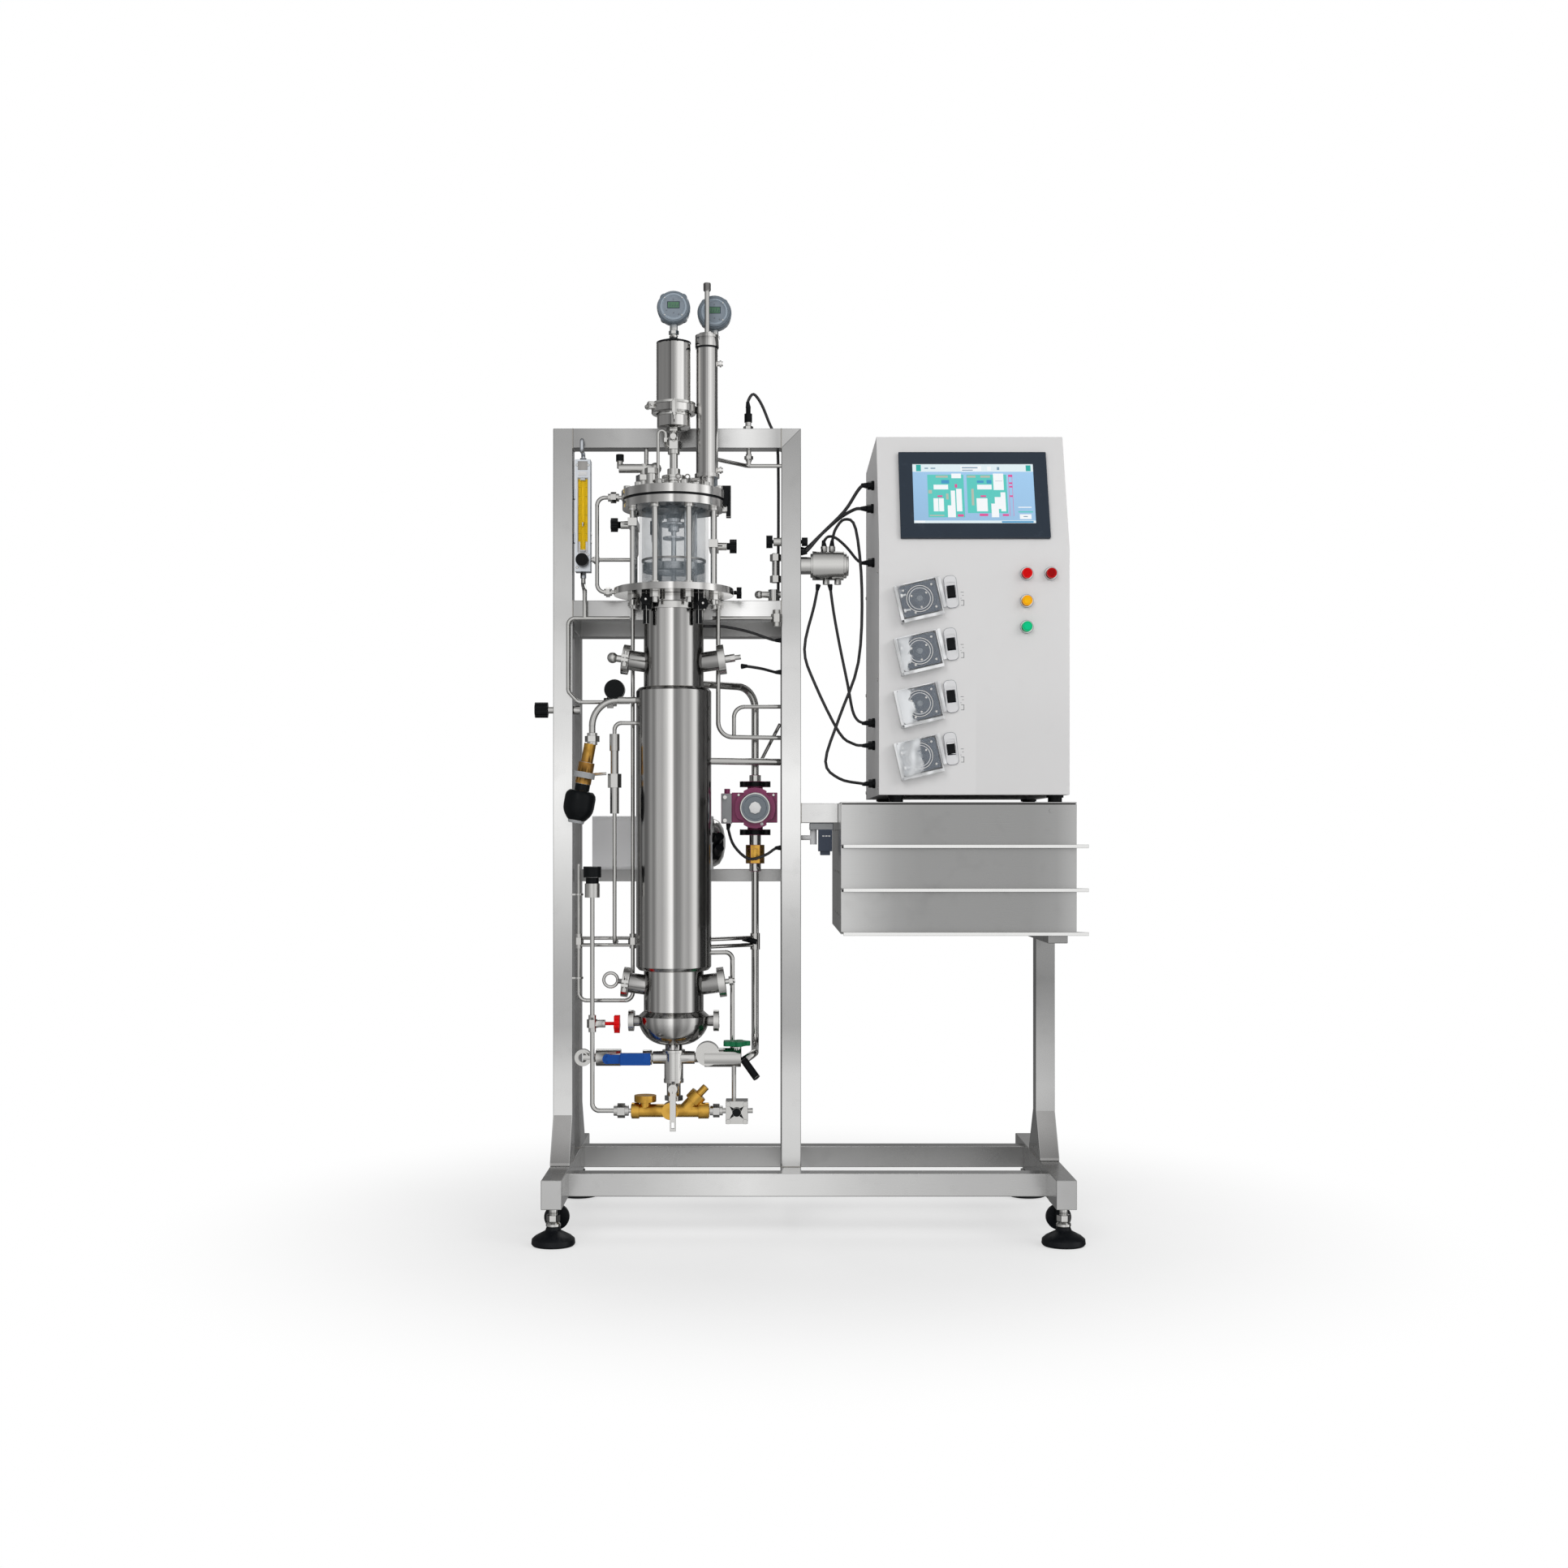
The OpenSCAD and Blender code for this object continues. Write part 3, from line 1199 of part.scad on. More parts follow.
// Profile of the cabinet's side, drawn in the Y-Z plane
module cabinet_profile(thin) {
    polygon([[cab_front + thin, cab_bottom + thin], [cab_back - thin, cab_bottom + thin],
             [cab_back - thin, cab_top - thin], [cab_front + cab_lean + thin, cab_top - thin],
             [cab_front + thin, cab_knee]]);
}
module cabinet_solid(thin) {
    translate([cab_left + thin, 0, 0]) rotate([90, 0, 90])
        linear_extrude(cab_w - 2 * thin) cabinet_profile(thin);
}

// Sheet metal cabinet with bores for every control and louvres at the back
louvre_rows = 6;
module cabinet_shell() {
    color("gainsboro") difference() {
        cabinet_solid(0);
        cabinet_solid(cab_sheet);
        for (b = buttons) at([b[0], cab_front, b[1]]) along_y() disc(button_d / 2 - 2, -cab_sheet - 1, 1);
        for (i = [0 : 3]) {
            at([pump_x, cab_front, pump_z_at(i)]) along_y() disc(10, -cab_sheet - 1, 1);
            rocker_place(i)
                block([-9, -1, -12], [9, cab_sheet + 1, 12]);
        }
        for (i = [0 : louvre_rows - 1])
            block([cab_left + 60, cab_back - cab_sheet - 1, cab_bottom + 80 + i * 22],
                  [cab_left + cab_w - 60, cab_back + 1, cab_bottom + 88 + i * 22]);
        for (g = gland_places) at([cab_left - 1, g[0], g[1]]) along_x() disc(5, 0, cab_sheet + 2);
    }
}

// Cable glands' places on the left side: Y and Z
gland_places = [[-60, cab_bottom + 640], [-40, cab_bottom + 596], [-70, cab_bottom + 480],
                [-90, cab_bottom + 150], [-90, cab_bottom + 104], [-100, cab_bottom + 26]];

// Plug and socket on the top beam, and the plug low on the cabinet's side
beam_plug_x = main_post_x - 88;
module feet_and_glands() {
    color("black") {
        for (x = [cab_left + 36, cab_left + cab_w - 24], y = [cab_front + 34, cab_back - 60])
            at([x, y, 0]) {
                disc(14, box_top, cab_bottom - 3);
                disc(17, cab_bottom - 5, cab_bottom);
            }
        for (g = gland_places) at([cab_left, g[0], g[1]]) rotate([0, -90, 0]) {
            disc(9, 0, 6);
            hex(15, 6, 14);
            disc(5 - fit, -cab_sheet, 0);
        }
    }
    color("silver") at([beam_plug_x, front_post_y, 0]) {
        hex(18, frame_top, frame_top + 8);
        disc(6, frame_top + 8, frame_top + 16);
    }
    color("black") at([beam_plug_x, front_post_y, 0]) {
        disc(8, frame_top + 16, frame_top + 34);
        disc(5, frame_top + 34, frame_top + 46);
    }
}

// Touch screen on the sloping panel
screen_w = 296;
screen_h = 196;
module on_panel(x, along) {
    at([x, cab_front, cab_knee]) rotate([-panel_angle, 0, 0]) at([0, 0, along]) children();
}
module screen() {
    on_panel(cab_left + 191, 19) {
        color("darkslategray") difference() {
            block([-screen_w / 2, -8, 0], [screen_w / 2, -seat, screen_h]);
            block([-121, -9, 32], [121, -6, 168]);
        }
        color("lightblue") block([-121 + 0.1, -6.5, 32.1], [121 - 0.1, -6, 167.9]);
    }
}

// Four push-buttons: X and Z of each
buttons = [[button_x, button_z], [button_x + 48, button_z],
           [button_x, button_z - 54], [button_x, button_z - 105]];
module push_button(i, tint) {
    color(tint) at([buttons[i][0], cab_front, buttons[i][1]]) along_y() {
        disc(button_d / 2 - 3, -18, cap_rear + 1);
        disc(button_d / 2, cap_rear, cap_rear + 5);
    }
}

// Dosing pumps: moulded base under each head, with a recess for the rotor
rotor_well = 27;
head_depth = 16;
function rocker_z(i) = pump_z_at(i) + 15;
function pump_z_at(i) = cab_bottom + 385 - i * pump_pitch;
module pump_place(i) {
    at([pump_x, cab_front, pump_z_at(i)]) rotate([0, -pump_tilt, 0]) children();
}
module rocker_place(i) {
    at([rocker_x, cab_front, rocker_z(i)]) rotate([0, -pump_tilt / 2, 0]) children();
}

// Slab with rounded corners lying against the panel
module panel_slab(w, h, r, y0, y1) {
    rotate([90, 0, 0]) translate([0, 0, y0]) linear_extrude(y1 - y0) {
        square([w - 2 * r, h], center = true);
        square([w, h - 2 * r], center = true);
        for (x = [-1, 1], y = [-1, 1]) translate([x * (w / 2 - r), y * (h / 2 - r)]) circle(r = r);
    }
}

module panel_fittings() {
    color("slategray") for (i = [0 : 3]) pump_place(i) difference() {
        panel_slab(pump_w - 6, 62, 6, 0, head_depth);
        along_y() disc(rotor_well, 5, head_depth + 1);
        along_y() disc(4 + fit, -1, 6);
    }
    color("white") for (i = [0 : 3]) rocker_place(i) difference() {
        panel_slab(25, 64, 9, 0, 4);
        block([-7.8, -5, -12], [7.8, 1, 12]);
        at([0, 0, -2]) panel_slab(19, 42, 4, 3, 5);
    }
    color("silver") for (b = buttons) at([b[0], cab_front, b[1]]) along_y()
        ring(button_bezel / 2, button_d / 2 - 3 + fit, 0, bezel_t);
}

// Clear clip-on covers of the pump heads
module pump_covers() {
    color("lightcyan", 0.4) for (i = [0 : 3]) pump_place(i) difference() {
        panel_slab(pump_w, 68, 7, seat, head_depth + 8);
        panel_slab(pump_w - 6 + 2 * seat, 62 + 2 * seat, 6 + seat, -1, head_depth + seat);
        panel_slab(pump_w - 12, 56, 4, head_depth, head_depth + 5);
    }
}

// Rotor with three rollers and a finger knob
module pump_rotor(i) {
    color("dimgray") pump_place(i) along_y() {
        disc(4, -10, 8);
        disc(rotor_r * 0.62, 6, head_depth + 3);
        for (a = [30 : 120 : 270]) rotate(a) translate([rotor_r - 7, 0, 0]) disc(6.5, 7, head_depth - 1);
        disc(rotor_r, head_depth - 2, head_depth + 1);
    }
}
module rotor_1() { pump_rotor(0); }
module rotor_2() { pump_rotor(1); }
module rotor_3() { pump_rotor(2); }
module rotor_4() { pump_rotor(3); }

// Rocker of each pump's switch, resting with its lower half pressed
rocker_rest = 7;
module pump_rocker(i) {
    color("black") rocker_place(i) at([0, -3, 0]) rotate([rocker_rest, 0, 0]) rotate([90, 0, 90])
        linear_extrude(15, center = true)
            polygon([[5, -8], [-2, -10], [-4.5, -9.5], [-3, 0], [-4.5, 9.5], [-2, 10], [5, 8]]);
}
module rocker_1() { pump_rocker(0); }
module rocker_2() { pump_rocker(1); }
module rocker_3() { pump_rocker(2); }
module rocker_4() { pump_rocker(3); }

module button_stop() { push_button(0, "red"); }
module button_alarm() { push_button(1, "firebrick"); }
module button_pause() { push_button(2, "orange"); }
module button_start() { push_button(3, "mediumseagreen"); }

// Folded casing open at the front, with a pair of runners for each drawer
runner_h = 14;
runner_w = 12;
box_right = box_left + box_w;
box_back = box_front + box_d;
function drawer_z(i) = box_bottom + 2 + i * drawer_pitch;
module drawer_casing() {
    color("silver") {
        block([box_left, box_front, box_bottom], [box_left + sheet, box_back, box_top]);
        block([box_right - sheet, box_front, box_bottom], [box_right, box_back, box_top]);
        block([box_left, box_front, box_bottom], [box_right, box_back, box_bottom + sheet]);
        block([box_left, box_front, box_top - sheet - 1], [box_right, box_back, box_top]);
        block([box_left, box_back - sheet, box_bottom], [box_right, box_back, box_top]);
        for (i = [0 : drawer_count - 1], x = [box_left + sheet, box_right - sheet - runner_w])
            block([x, box_front + 3, drawer_z(i) + 36], [x + runner_w, box_back - 20, drawer_z(i) + 36 + runner_h]);
    }
}

// Sheet metal drawer: overlaid front, folded lip and a tray on flanges that ride the runners
tray_gap = 0.8;
module drawer(i) {
    z = drawer_z(i);
    left = box_left + sheet + runner_w + tray_gap;
    right = box_right - sheet - runner_w - tray_gap;
    tray_top = z + 36 + runner_h + seat;
    back = box_back - 30;
    color("silver") {
        block([box_left, box_front - sheet, z], [box_right, box_front - seat, z + drawer_rise]);
        lip_plate(z);
        difference() {
            union() {
                block([left, box_front - 1, z + 4], [right, back, tray_top + 2]);
                block([left - runner_w, box_front - 1, tray_top], [right + runner_w, back, tray_top + 2]);
            }
            block([left + sheet, box_front, z + 6], [right - sheet, back - sheet, tray_top + 3]);
        }
        for (x = [box_left + 60, box_right - 50]) if (i == drawer_count - 1)
            at([x, box_front - sheet, z + drawer_rise - 12]) along_y() disc(4.5, 0, 2);
    }
}

// Lip folded forward from the bottom of a drawer front, with mitred ends and a turned edge
module lip_plate(z) {
    at([0, 0, z]) linear_extrude(3) polygon([[box_left, box_front - sheet],
        [box_left + 4, box_front - lip_reach], [box_right + 20, box_front - lip_reach],
        [box_right, box_front - sheet]]);
    block([box_left + 4, box_front - lip_reach, z - 4], [box_right + 20, box_front - lip_reach + sheet, z + 3]);
}
module drawer_bottom() { drawer(0); }
module drawer_middle() { drawer(1); }
module drawer_top() { drawer(2); }

// Cable routes, from end to end
housing_cables = [
    // Two arches from the outer face of the main post to the cabinet
    [[main_outer + seat, -62, 1382], [2, -62, 1386], [30, -62, 1418], [78, -62, 1466],
     [104, -61, 1506], [115, -60, 1519], [gland_face, -60, 1520]],
    [[main_outer + seat, -48, 1390], [2, -48, 1393], [34, -47, 1424], [70, -44, 1456],
     [100, -41, 1474], [114, -40, 1476], [gland_face, -40, 1476]]
];
cabinet_leads = [
    [[53, -62, 1394.3], [54, -64, 1406], [60, -74, 1428], [78, -86, 1446], [100, -102, 1424],
     [112, -112, 1300], [104, -130, 1150], [66, -130, 1040], [38, -120, 950], [66, -108, 916],
     [112, -100, 906], [gland_face, -100, 906]],
    [[37, -62, 1394.3], [37, -59, 1405], [46, -40, 1418], [62, -36, 1416], [84, -42, 1396],
     [104, -60, 1368], [115, -70, 1360], [gland_face, -70, 1360]],
    [[25, -62, 1315.7], [16, -70, 1270], [-4, -90, 1180], [16, -108, 1110], [66, -102, 1010],
     [96, -92, 987], [115, -90, 984], [gland_face, -90, 984]],
    [[49, -62, 1315.7], [56, -70, 1260], [68, -80, 1190], [84, -88, 1110], [94, -90, 1056],
     [104, -90, 1036], [116, -90, 1030], [gland_face, -90, 1030]]
];
post_leads = [
    [[-119, -62, 1679.3], [-119, -62, 1694], [-108, -60, 1708], [-92, -50, 1690], [-76, -38, 1654],
     [-62, -34, 1620], [-57, -32, 1560], [-57, -18, 1320], [-57, -18, 1290], [-57, -24, 1268],
     [-57, -34, 1259], [-57, post_back + seat, 1257]],
    [wall_point(neck_r, [vessel_x + 80, vessel_y + 60], 1226), [-200, -99, 1226], [-170, -78, 1228],
     [-120, -60, 1220], [-76, -51, 1206], [-64, -50, 1203], [main_inner - seat, -50, 1203]],
    [[-132.3, -150, upper_port_z], [-120, -148, upper_port_z], [-92, -110, 1139], [-72, -74, 1137],
     [-63, -62, 1136], [main_inner - seat, -62, 1136]],
    [[-160, -20, 824.7], [-160, -20, 810], [-148, -32, 778], [-118, -46, 752], [-84, -52, 760],
     [-64, -54, 773], [main_inner - seat, -54, 775]]
];
module cabinet_cables() {
    color("black") {
        for (c = housing_cables) cable(c, 7);
        for (c = cabinet_leads) cable(c, 6);
    }
}
module frame_cables() {
    color("black") for (c = post_leads) cable(c, 6);
}

base_frame();
levelling_feet();
front_frame();
rear_frame();
drawer_stand();
jacketed_vessel();
bottom_head();
drain_valve_body();
base_flange();
sight_glass();
tie_rods();
head_plate();
head_gasket();
dip_probe();
filter_housing();
filter_base();
condenser();
pressure_gauges();
rotameter();
left_pipes();
right_pipes();
hygienic_clamps();
brass_strainer();
reducing_valve();
circulation_pump();
hot_water_tank();
transmitter_housing();
solenoid_valve();
cabinet_shell();
feet_and_glands();
screen();
panel_fittings();
pump_covers();
drawer_casing();
drawer_top();
drawer_middle();
drawer_bottom();
button_stop();
button_alarm();
button_pause();
button_start();
rotor_1();
rotor_2();
rotor_3();
rotor_4();
rocker_1();
rocker_2();
rocker_3();
rocker_4();
green_handwheel();
red_knob();
rotameter_knob();
drain_lever();
sampling_lever();
relief_knob();
star_knob();
left_star_knob();
post_knob();
cabinet_cables();
frame_cables();
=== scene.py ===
"""Looks of a stirred-tank bioreactor on a stainless skid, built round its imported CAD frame."""

import logging
import math
from dataclasses import dataclass
from enum import Enum
from typing import Callable, Iterable, Sequence

import bmesh
import bpy
from mathutils import Matrix, Vector


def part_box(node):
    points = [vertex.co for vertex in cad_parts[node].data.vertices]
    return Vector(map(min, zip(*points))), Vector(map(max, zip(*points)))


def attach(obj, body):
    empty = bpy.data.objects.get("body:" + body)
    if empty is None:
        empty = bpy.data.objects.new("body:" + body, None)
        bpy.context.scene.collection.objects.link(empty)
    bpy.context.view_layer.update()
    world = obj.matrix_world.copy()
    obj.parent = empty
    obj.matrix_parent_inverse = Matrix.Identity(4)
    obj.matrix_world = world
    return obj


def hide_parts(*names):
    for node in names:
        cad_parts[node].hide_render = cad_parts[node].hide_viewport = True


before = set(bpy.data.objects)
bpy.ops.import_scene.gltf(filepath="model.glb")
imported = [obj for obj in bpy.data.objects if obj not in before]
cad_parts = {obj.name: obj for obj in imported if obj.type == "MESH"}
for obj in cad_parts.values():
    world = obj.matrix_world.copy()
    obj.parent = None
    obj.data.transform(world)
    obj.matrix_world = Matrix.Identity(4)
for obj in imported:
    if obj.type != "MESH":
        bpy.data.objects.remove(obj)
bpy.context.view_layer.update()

log = logging.getLogger("bioreactor")

Socket = bpy.types.NodeSocket
Material = bpy.types.Material
Mesh = bpy.types.Mesh
Object = bpy.types.Object
Colour = tuple[float, float, float]
Point = tuple[float, float, float]
Pair = tuple[float, float]
MM = 0.001
SHARP = 35.0
DEGREES = 180 / math.pi

# Middles of the vessel and the condenser, the flow meter's seat and the cabinet's front, in millimetres.
VESSEL = (-268.0, -150.0)
CONDENSER = (-201.0, -150.0)
METER = (-458, -62, 1341)
CABINET_FRONT = -223


class Axis(Enum):
    """Direction in which a turned piece points, as the turn that brings +Z there."""

    UP = Matrix.Identity(4)
    FRONT = Matrix.Rotation(math.pi / 2, 4, "X")
    BACK = Matrix.Rotation(-math.pi / 2, 4, "X")
    RIGHT = Matrix.Rotation(math.pi / 2, 4, "Y")
    LEFT = Matrix.Rotation(-math.pi / 2, 4, "Y")


# ---------------------------------------------------------------- shader trees


class Num:
    """A value socket of a shader tree that takes part in Python sums."""

    def __init__(self, graph: "ShaderGraph", socket: Socket) -> None:
        """Wraps one output socket."""
        self.graph = graph
        self.socket = socket

    def _math(self, operation: str, *values: "Num | float") -> "Num":
        """Adds one Math node.

        Args:
            operation: The Math node's operation.
            values: Its operands, in order.

        Returns:
            The node's result.
        """
        inputs = dict(enumerate(values))
        return self.graph.value("ShaderNodeMath", {"operation": operation}, inputs)

    def __rsub__(self, other: "Num | float") -> "Num":
        """Difference from a number on the left."""
        return self._math("SUBTRACT", other, self)

    def ramp(self, low: float, high: float) -> "Num":
        """Smooth step from 0 at low to 1 at high."""
        return self.graph.value("ShaderNodeMapRange", {"interpolation_type": "SMOOTHSTEP"},
                                {"Value": self, "From Min": low, "From Max": high})

    def within(self, low: float, high: float) -> "Num":
        """1 between two limits, 0 elsewhere."""
        return (self > low) * (self < high)


def _method(operation: str) -> Callable[..., Num]:
    """A method of Num that adds one Math node, with the value itself as first operand."""
    return lambda value, *others: value._math(operation, value, *others)


# least and most are the smaller and the greater of two values; a.angle(b) is the angle of the direction
# (b, a) from -pi to pi; % stays positive; < and > give 1 where they hold.
for _name, _operation in {
        "__add__": "ADD", "__radd__": "ADD", "__sub__": "SUBTRACT", "__mul__": "MULTIPLY",
        "__rmul__": "MULTIPLY", "__truediv__": "DIVIDE", "__mod__": "FLOORED_MODULO", "__pow__": "POWER",
        "__abs__": "ABSOLUTE", "__gt__": "GREATER_THAN", "__lt__": "LESS_THAN", "least": "MINIMUM",
        "most": "MAXIMUM", "angle": "ARCTAN2"}.items():
    setattr(Num, _name, _method(_operation))


class ShaderGraph:
    """Node tree of one material, with the few node recipes that the finishes share."""

    def __init__(self, name: str, world: bpy.types.World | None = None) -> None:
        """Makes an empty material, or empties a world.

        Args:
            name: The material's name.
            world: World whose tree is built in place of a material's.
        """
        self.material = world or bpy.data.materials.new(name)
        self.material.use_nodes = True
        self.tree = self.material.node_tree
        self.tree.nodes.clear()
        self.place = self.node("ShaderNodeTexCoord").outputs["Generated" if world else "Object"]

    def node(self, kind: str, settings: dict | None = None, inputs: dict | None = None) -> bpy.types.Node:
        """Adds any node.

        Args:
            kind: The node's type.
            settings: Its attributes, set first; stops fills a ramp.
            inputs: Values, Nums or sockets by input name or number.

        Returns:
            The new node.
        """
        node = self.tree.nodes.new(kind)
        for key, value in (settings or {}).items():
            if key == "stops":
                ramp = node.color_ramp.elements
                while len(ramp) < len(value):
                    ramp.new(0.5)
                for element, (place, colour) in zip(ramp, value):
                    element.position, element.color = place, (*colour, 1.0)
            else:
                setattr(node, key, value)
        for key, value in (inputs or {}).items():
            self.feed(node.inputs[key], value)
        return node

    def feed(self, socket: Socket, value: object) -> None:
        """Links a socket or sets its value."""
        source = value.socket if isinstance(value, Num) else value
        if isinstance(source, Socket):
            self.tree.links.new(source, socket)
        elif socket.type == "RGBA":
            socket.default_value = (*source, 1.0)
        else:
            socket.default_value = source

    def value(self, kind: str, settings: dict, inputs: dict) -> Num:
        """Adds a node and wraps its first output."""
        return Num(self, self.node(kind, settings, inputs).outputs[0])

    def axes(self) -> tuple[Num, Num, Num]:
        """The three object coordinates."""
        split = self.node("ShaderNodeSeparateXYZ", None, {0: self.place})
        return tuple(Num(self, out) for out in split.outputs)

    def noise(self, scale: float, detail: float = 2.0, stretch: Point = (1, 1, 1)) -> Num:
        """Noise from 0 to 1.

        Args:
            scale: Features for each metre.
            detail: Octaves.
            stretch: Multiplier along each axis.

        Returns:
            The noise value.
        """
        where = self.node("ShaderNodeVectorMath", {"operation": "MULTIPLY"}, {0: self.place, 1: stretch})
        return self.value("ShaderNodeTexNoise", {},
                          {"Vector": where.outputs[0], "Scale": scale, "Detail": detail})

    def mix(self, factor: Num | float, first: object, second: object) -> Socket:
        """Blends two colours."""
        node = self.node("ShaderNodeMix", {"data_type": "RGBA"})
        for socket, value in zip((node.inputs[0], node.inputs[6], node.inputs[7]), (factor, first, second)):
            self.feed(socket, value)
        return node.outputs[2]

    def bump(self, height: Num, distance: float, strength: float) -> Socket:
        """Normal from a height in units of the distance."""
        inputs = {"Height": height, "Distance": distance, "Strength": strength}
        return self.node("ShaderNodeBump", None, inputs).outputs[0]

    def curve(self, value: Num, stops: Sequence[Pair]) -> Num:
        """Maps a value through stops.

        Args:
            value: What is mapped.
            stops: Pairs of value and result, rising in value.

        Returns:
            The smoothed result.
        """
        low, high = stops[0][0], stops[-1][0]
        top = max(result for _, result in stops)
        marks = [((where - low) / (high - low), (result / top,) * 3) for where, result in stops]
        ramp = self.value("ShaderNodeValToRGB", {"stops": marks}, {0: (value - low) / (high - low)})
        return ramp * top

    def tone(self, colour: object, factor: Num | float) -> Socket:
        """Colour made lighter or darker by a factor."""
        inputs = {0: colour, "Scale": factor}
        return self.node("ShaderNodeVectorMath", {"operation": "SCALE"}, inputs).outputs[0]

    def finish(self, sockets: dict) -> Material:
        """Closes the tree with one Principled shader.

        Args:
            sockets: Its inputs by name.

        Returns:
            The material.
        """
        shader = self.node("ShaderNodeBsdfPrincipled", None, sockets)
        self.node("ShaderNodeOutputMaterial", None, {"Surface": shader.outputs[0]})
        return self.material


# -------------------------------------------------------------------- finishes


def times(colour: Colour, factor: float) -> Colour:
    """Colour with every channel multiplied, none above 1."""
    return tuple(min(1.0, channel * factor) for channel in colour)


class Finish:
    """A finish that is built once and then shared."""

    _made: dict = {}

    def material(self) -> Material:
        """The Blender material, built at first use."""
        if self not in Finish._made:
            Finish._made[self] = self.build()
        return Finish._made[self]

    def build(self) -> Material:
        """Makes the material."""
        raise NotImplementedError


Stops = tuple[Pair, ...]


@dataclass(frozen=True)
class Steel(Finish):
    """Stainless steel with a brushed grain, mottling and handling marks.

    grain is the stretch of the scratches: small along the brushing, large across it. rise and run
    are painted reflection and shade by height and by width. posts are the upright tubes of a frame,
    which take the first, while its beams take the second. bands are painted reflection and shade by
    angle in degrees round an upright axis at centre, from 0 at the front to 90 at the right.
    """

    name: str
    tint: Colour = (0.62, 0.615, 0.60)
    rough: float = 0.27
    grain: Point = (1.0, 1.0, 0.02)
    mottle: float = 0.10
    rise: Stops = ()
    run: Stops = ()
    posts: tuple[float, ...] = ()
    half: float = 0.02
    corner: Pair = (9.0, 9.0)
    centre: Pair = (0.0, 0.0)
    bands: Stops = ()

    # Scratches for each metre and their stretch on beams; heights between which a beam takes painted
    # shade, and how dark; how far from its middle a seam fades out and holds, and how much it dulls.
    SCRATCHES = 900
    ALONG_BEAM = (0.02, 1, 1)
    HIGH_BEAM, HIGH_DULL = (1.4, 1.5), 0.2
    SEAM, SEAM_DULL = (0.0012, 0.0004), 0.5

    def build(self) -> Material:
        """Grain, cloudy mottling, smudges, painted reflection and shade, and the seams of welded tubes."""
        g = ShaderGraph(self.name)
        x, y, z = g.axes()
        grain = g.noise(self.SCRATCHES, 3, self.grain)
        # Painted reflection and shade: a factor on the colour from rise, run or bands.
        painted_light: Num | float = 1.0
        if self.posts:
            post, seam = self._tubes(x, z)
            grain = grain * post + g.noise(self.SCRATCHES, 3, self.ALONG_BEAM) * (1 - post)
            upright = g.curve(z, self.rise) * post
            # The top beam takes painted shade.
            level = g.curve(x, self.run) * (1 - post) * (1 - z.ramp(*self.HIGH_BEAM) * self.HIGH_DULL)
            painted_light = (upright + level) * (1 - seam * self.SEAM_DULL)
        elif self.rise or self.run:
            painted_light = g.curve(z, self.rise) if self.rise else g.curve(x, self.run)
        elif self.bands:
            angle = (x - self.centre[0]).angle(self.centre[1] - y) * DEGREES
            painted_light = g.curve(angle, self.bands)
        cloud = g.noise(7, 4)
        smudge = g.noise(24, 3).ramp(0.55, 0.75)
        shade = 1 + (cloud - 0.5) * (2 * self.mottle) + (grain - 0.5) * 0.12
        rough = self.rough + (grain - 0.5) * 0.14 + smudge * 0.06 + (cloud - 0.5) * 0.10
        return g.finish({"Base Color": g.tone(self.tint, (shade * painted_light).least(1.1)), "Metallic": 1.0,
                         "Roughness": rough.most(0.04), "Normal": g.bump(grain, 0.00004, 0.6)})

    def _tubes(self, x: Num, z: Num) -> tuple[Num, Num]:
        """Masks of the upright tubes, cut along the mitre of the frame's corner, and of the seams."""
        corner_x, corner_z = self.corner
        inner_x, inner_z = corner_x - 2 * self.half, corner_z - 2 * self.half
        off = (x - inner_x) - (z - inner_z)
        cut = (z > inner_z) * (x > inner_x)
        post, seam = 1 - cut, abs(off).ramp(*self.SEAM) * cut
        near: Num | float = 0.0
        for place in self.posts:
            near = (abs(x - place) < self.half).most(near)
            seam = seam.most(abs(abs(x - place) - self.half).ramp(*self.SEAM) * (1 - cut))
        return post * near + cut * (off > 0), seam


@dataclass(frozen=True)
class Moulded(Finish):
    """Plastic or rubber: even colour, fine moulded grain and light wear."""

    name: str
    colour: Colour
    rough: float = 0.45
    grain: float = 1400.0
    depth: float = 0.00003
    coat: float = 0.0
    shine: float = 0.5

    def build(self) -> Material:
        """Stipple bump, tone drift and rubbed patches."""
        g = ShaderGraph(self.name)
        stipple = g.noise(self.grain, 2)
        drift = g.noise(18, 3)
        rubbed = g.noise(60, 4).ramp(0.58, 0.78)
        pale = tuple(min(1.0, c * 1.25 + 0.015) for c in self.colour)
        base = g.mix(rubbed * 0.35, g.mix(drift, times(self.colour, 0.82), self.colour), pale)
        rough = self.rough + (drift - 0.5) * 0.12 + rubbed * 0.08
        return g.finish({"Base Color": base, "Roughness": rough, "Coat Weight": self.coat,
                         "Specular IOR Level": self.shine, "Normal": g.bump(stipple, self.depth, 0.5)})


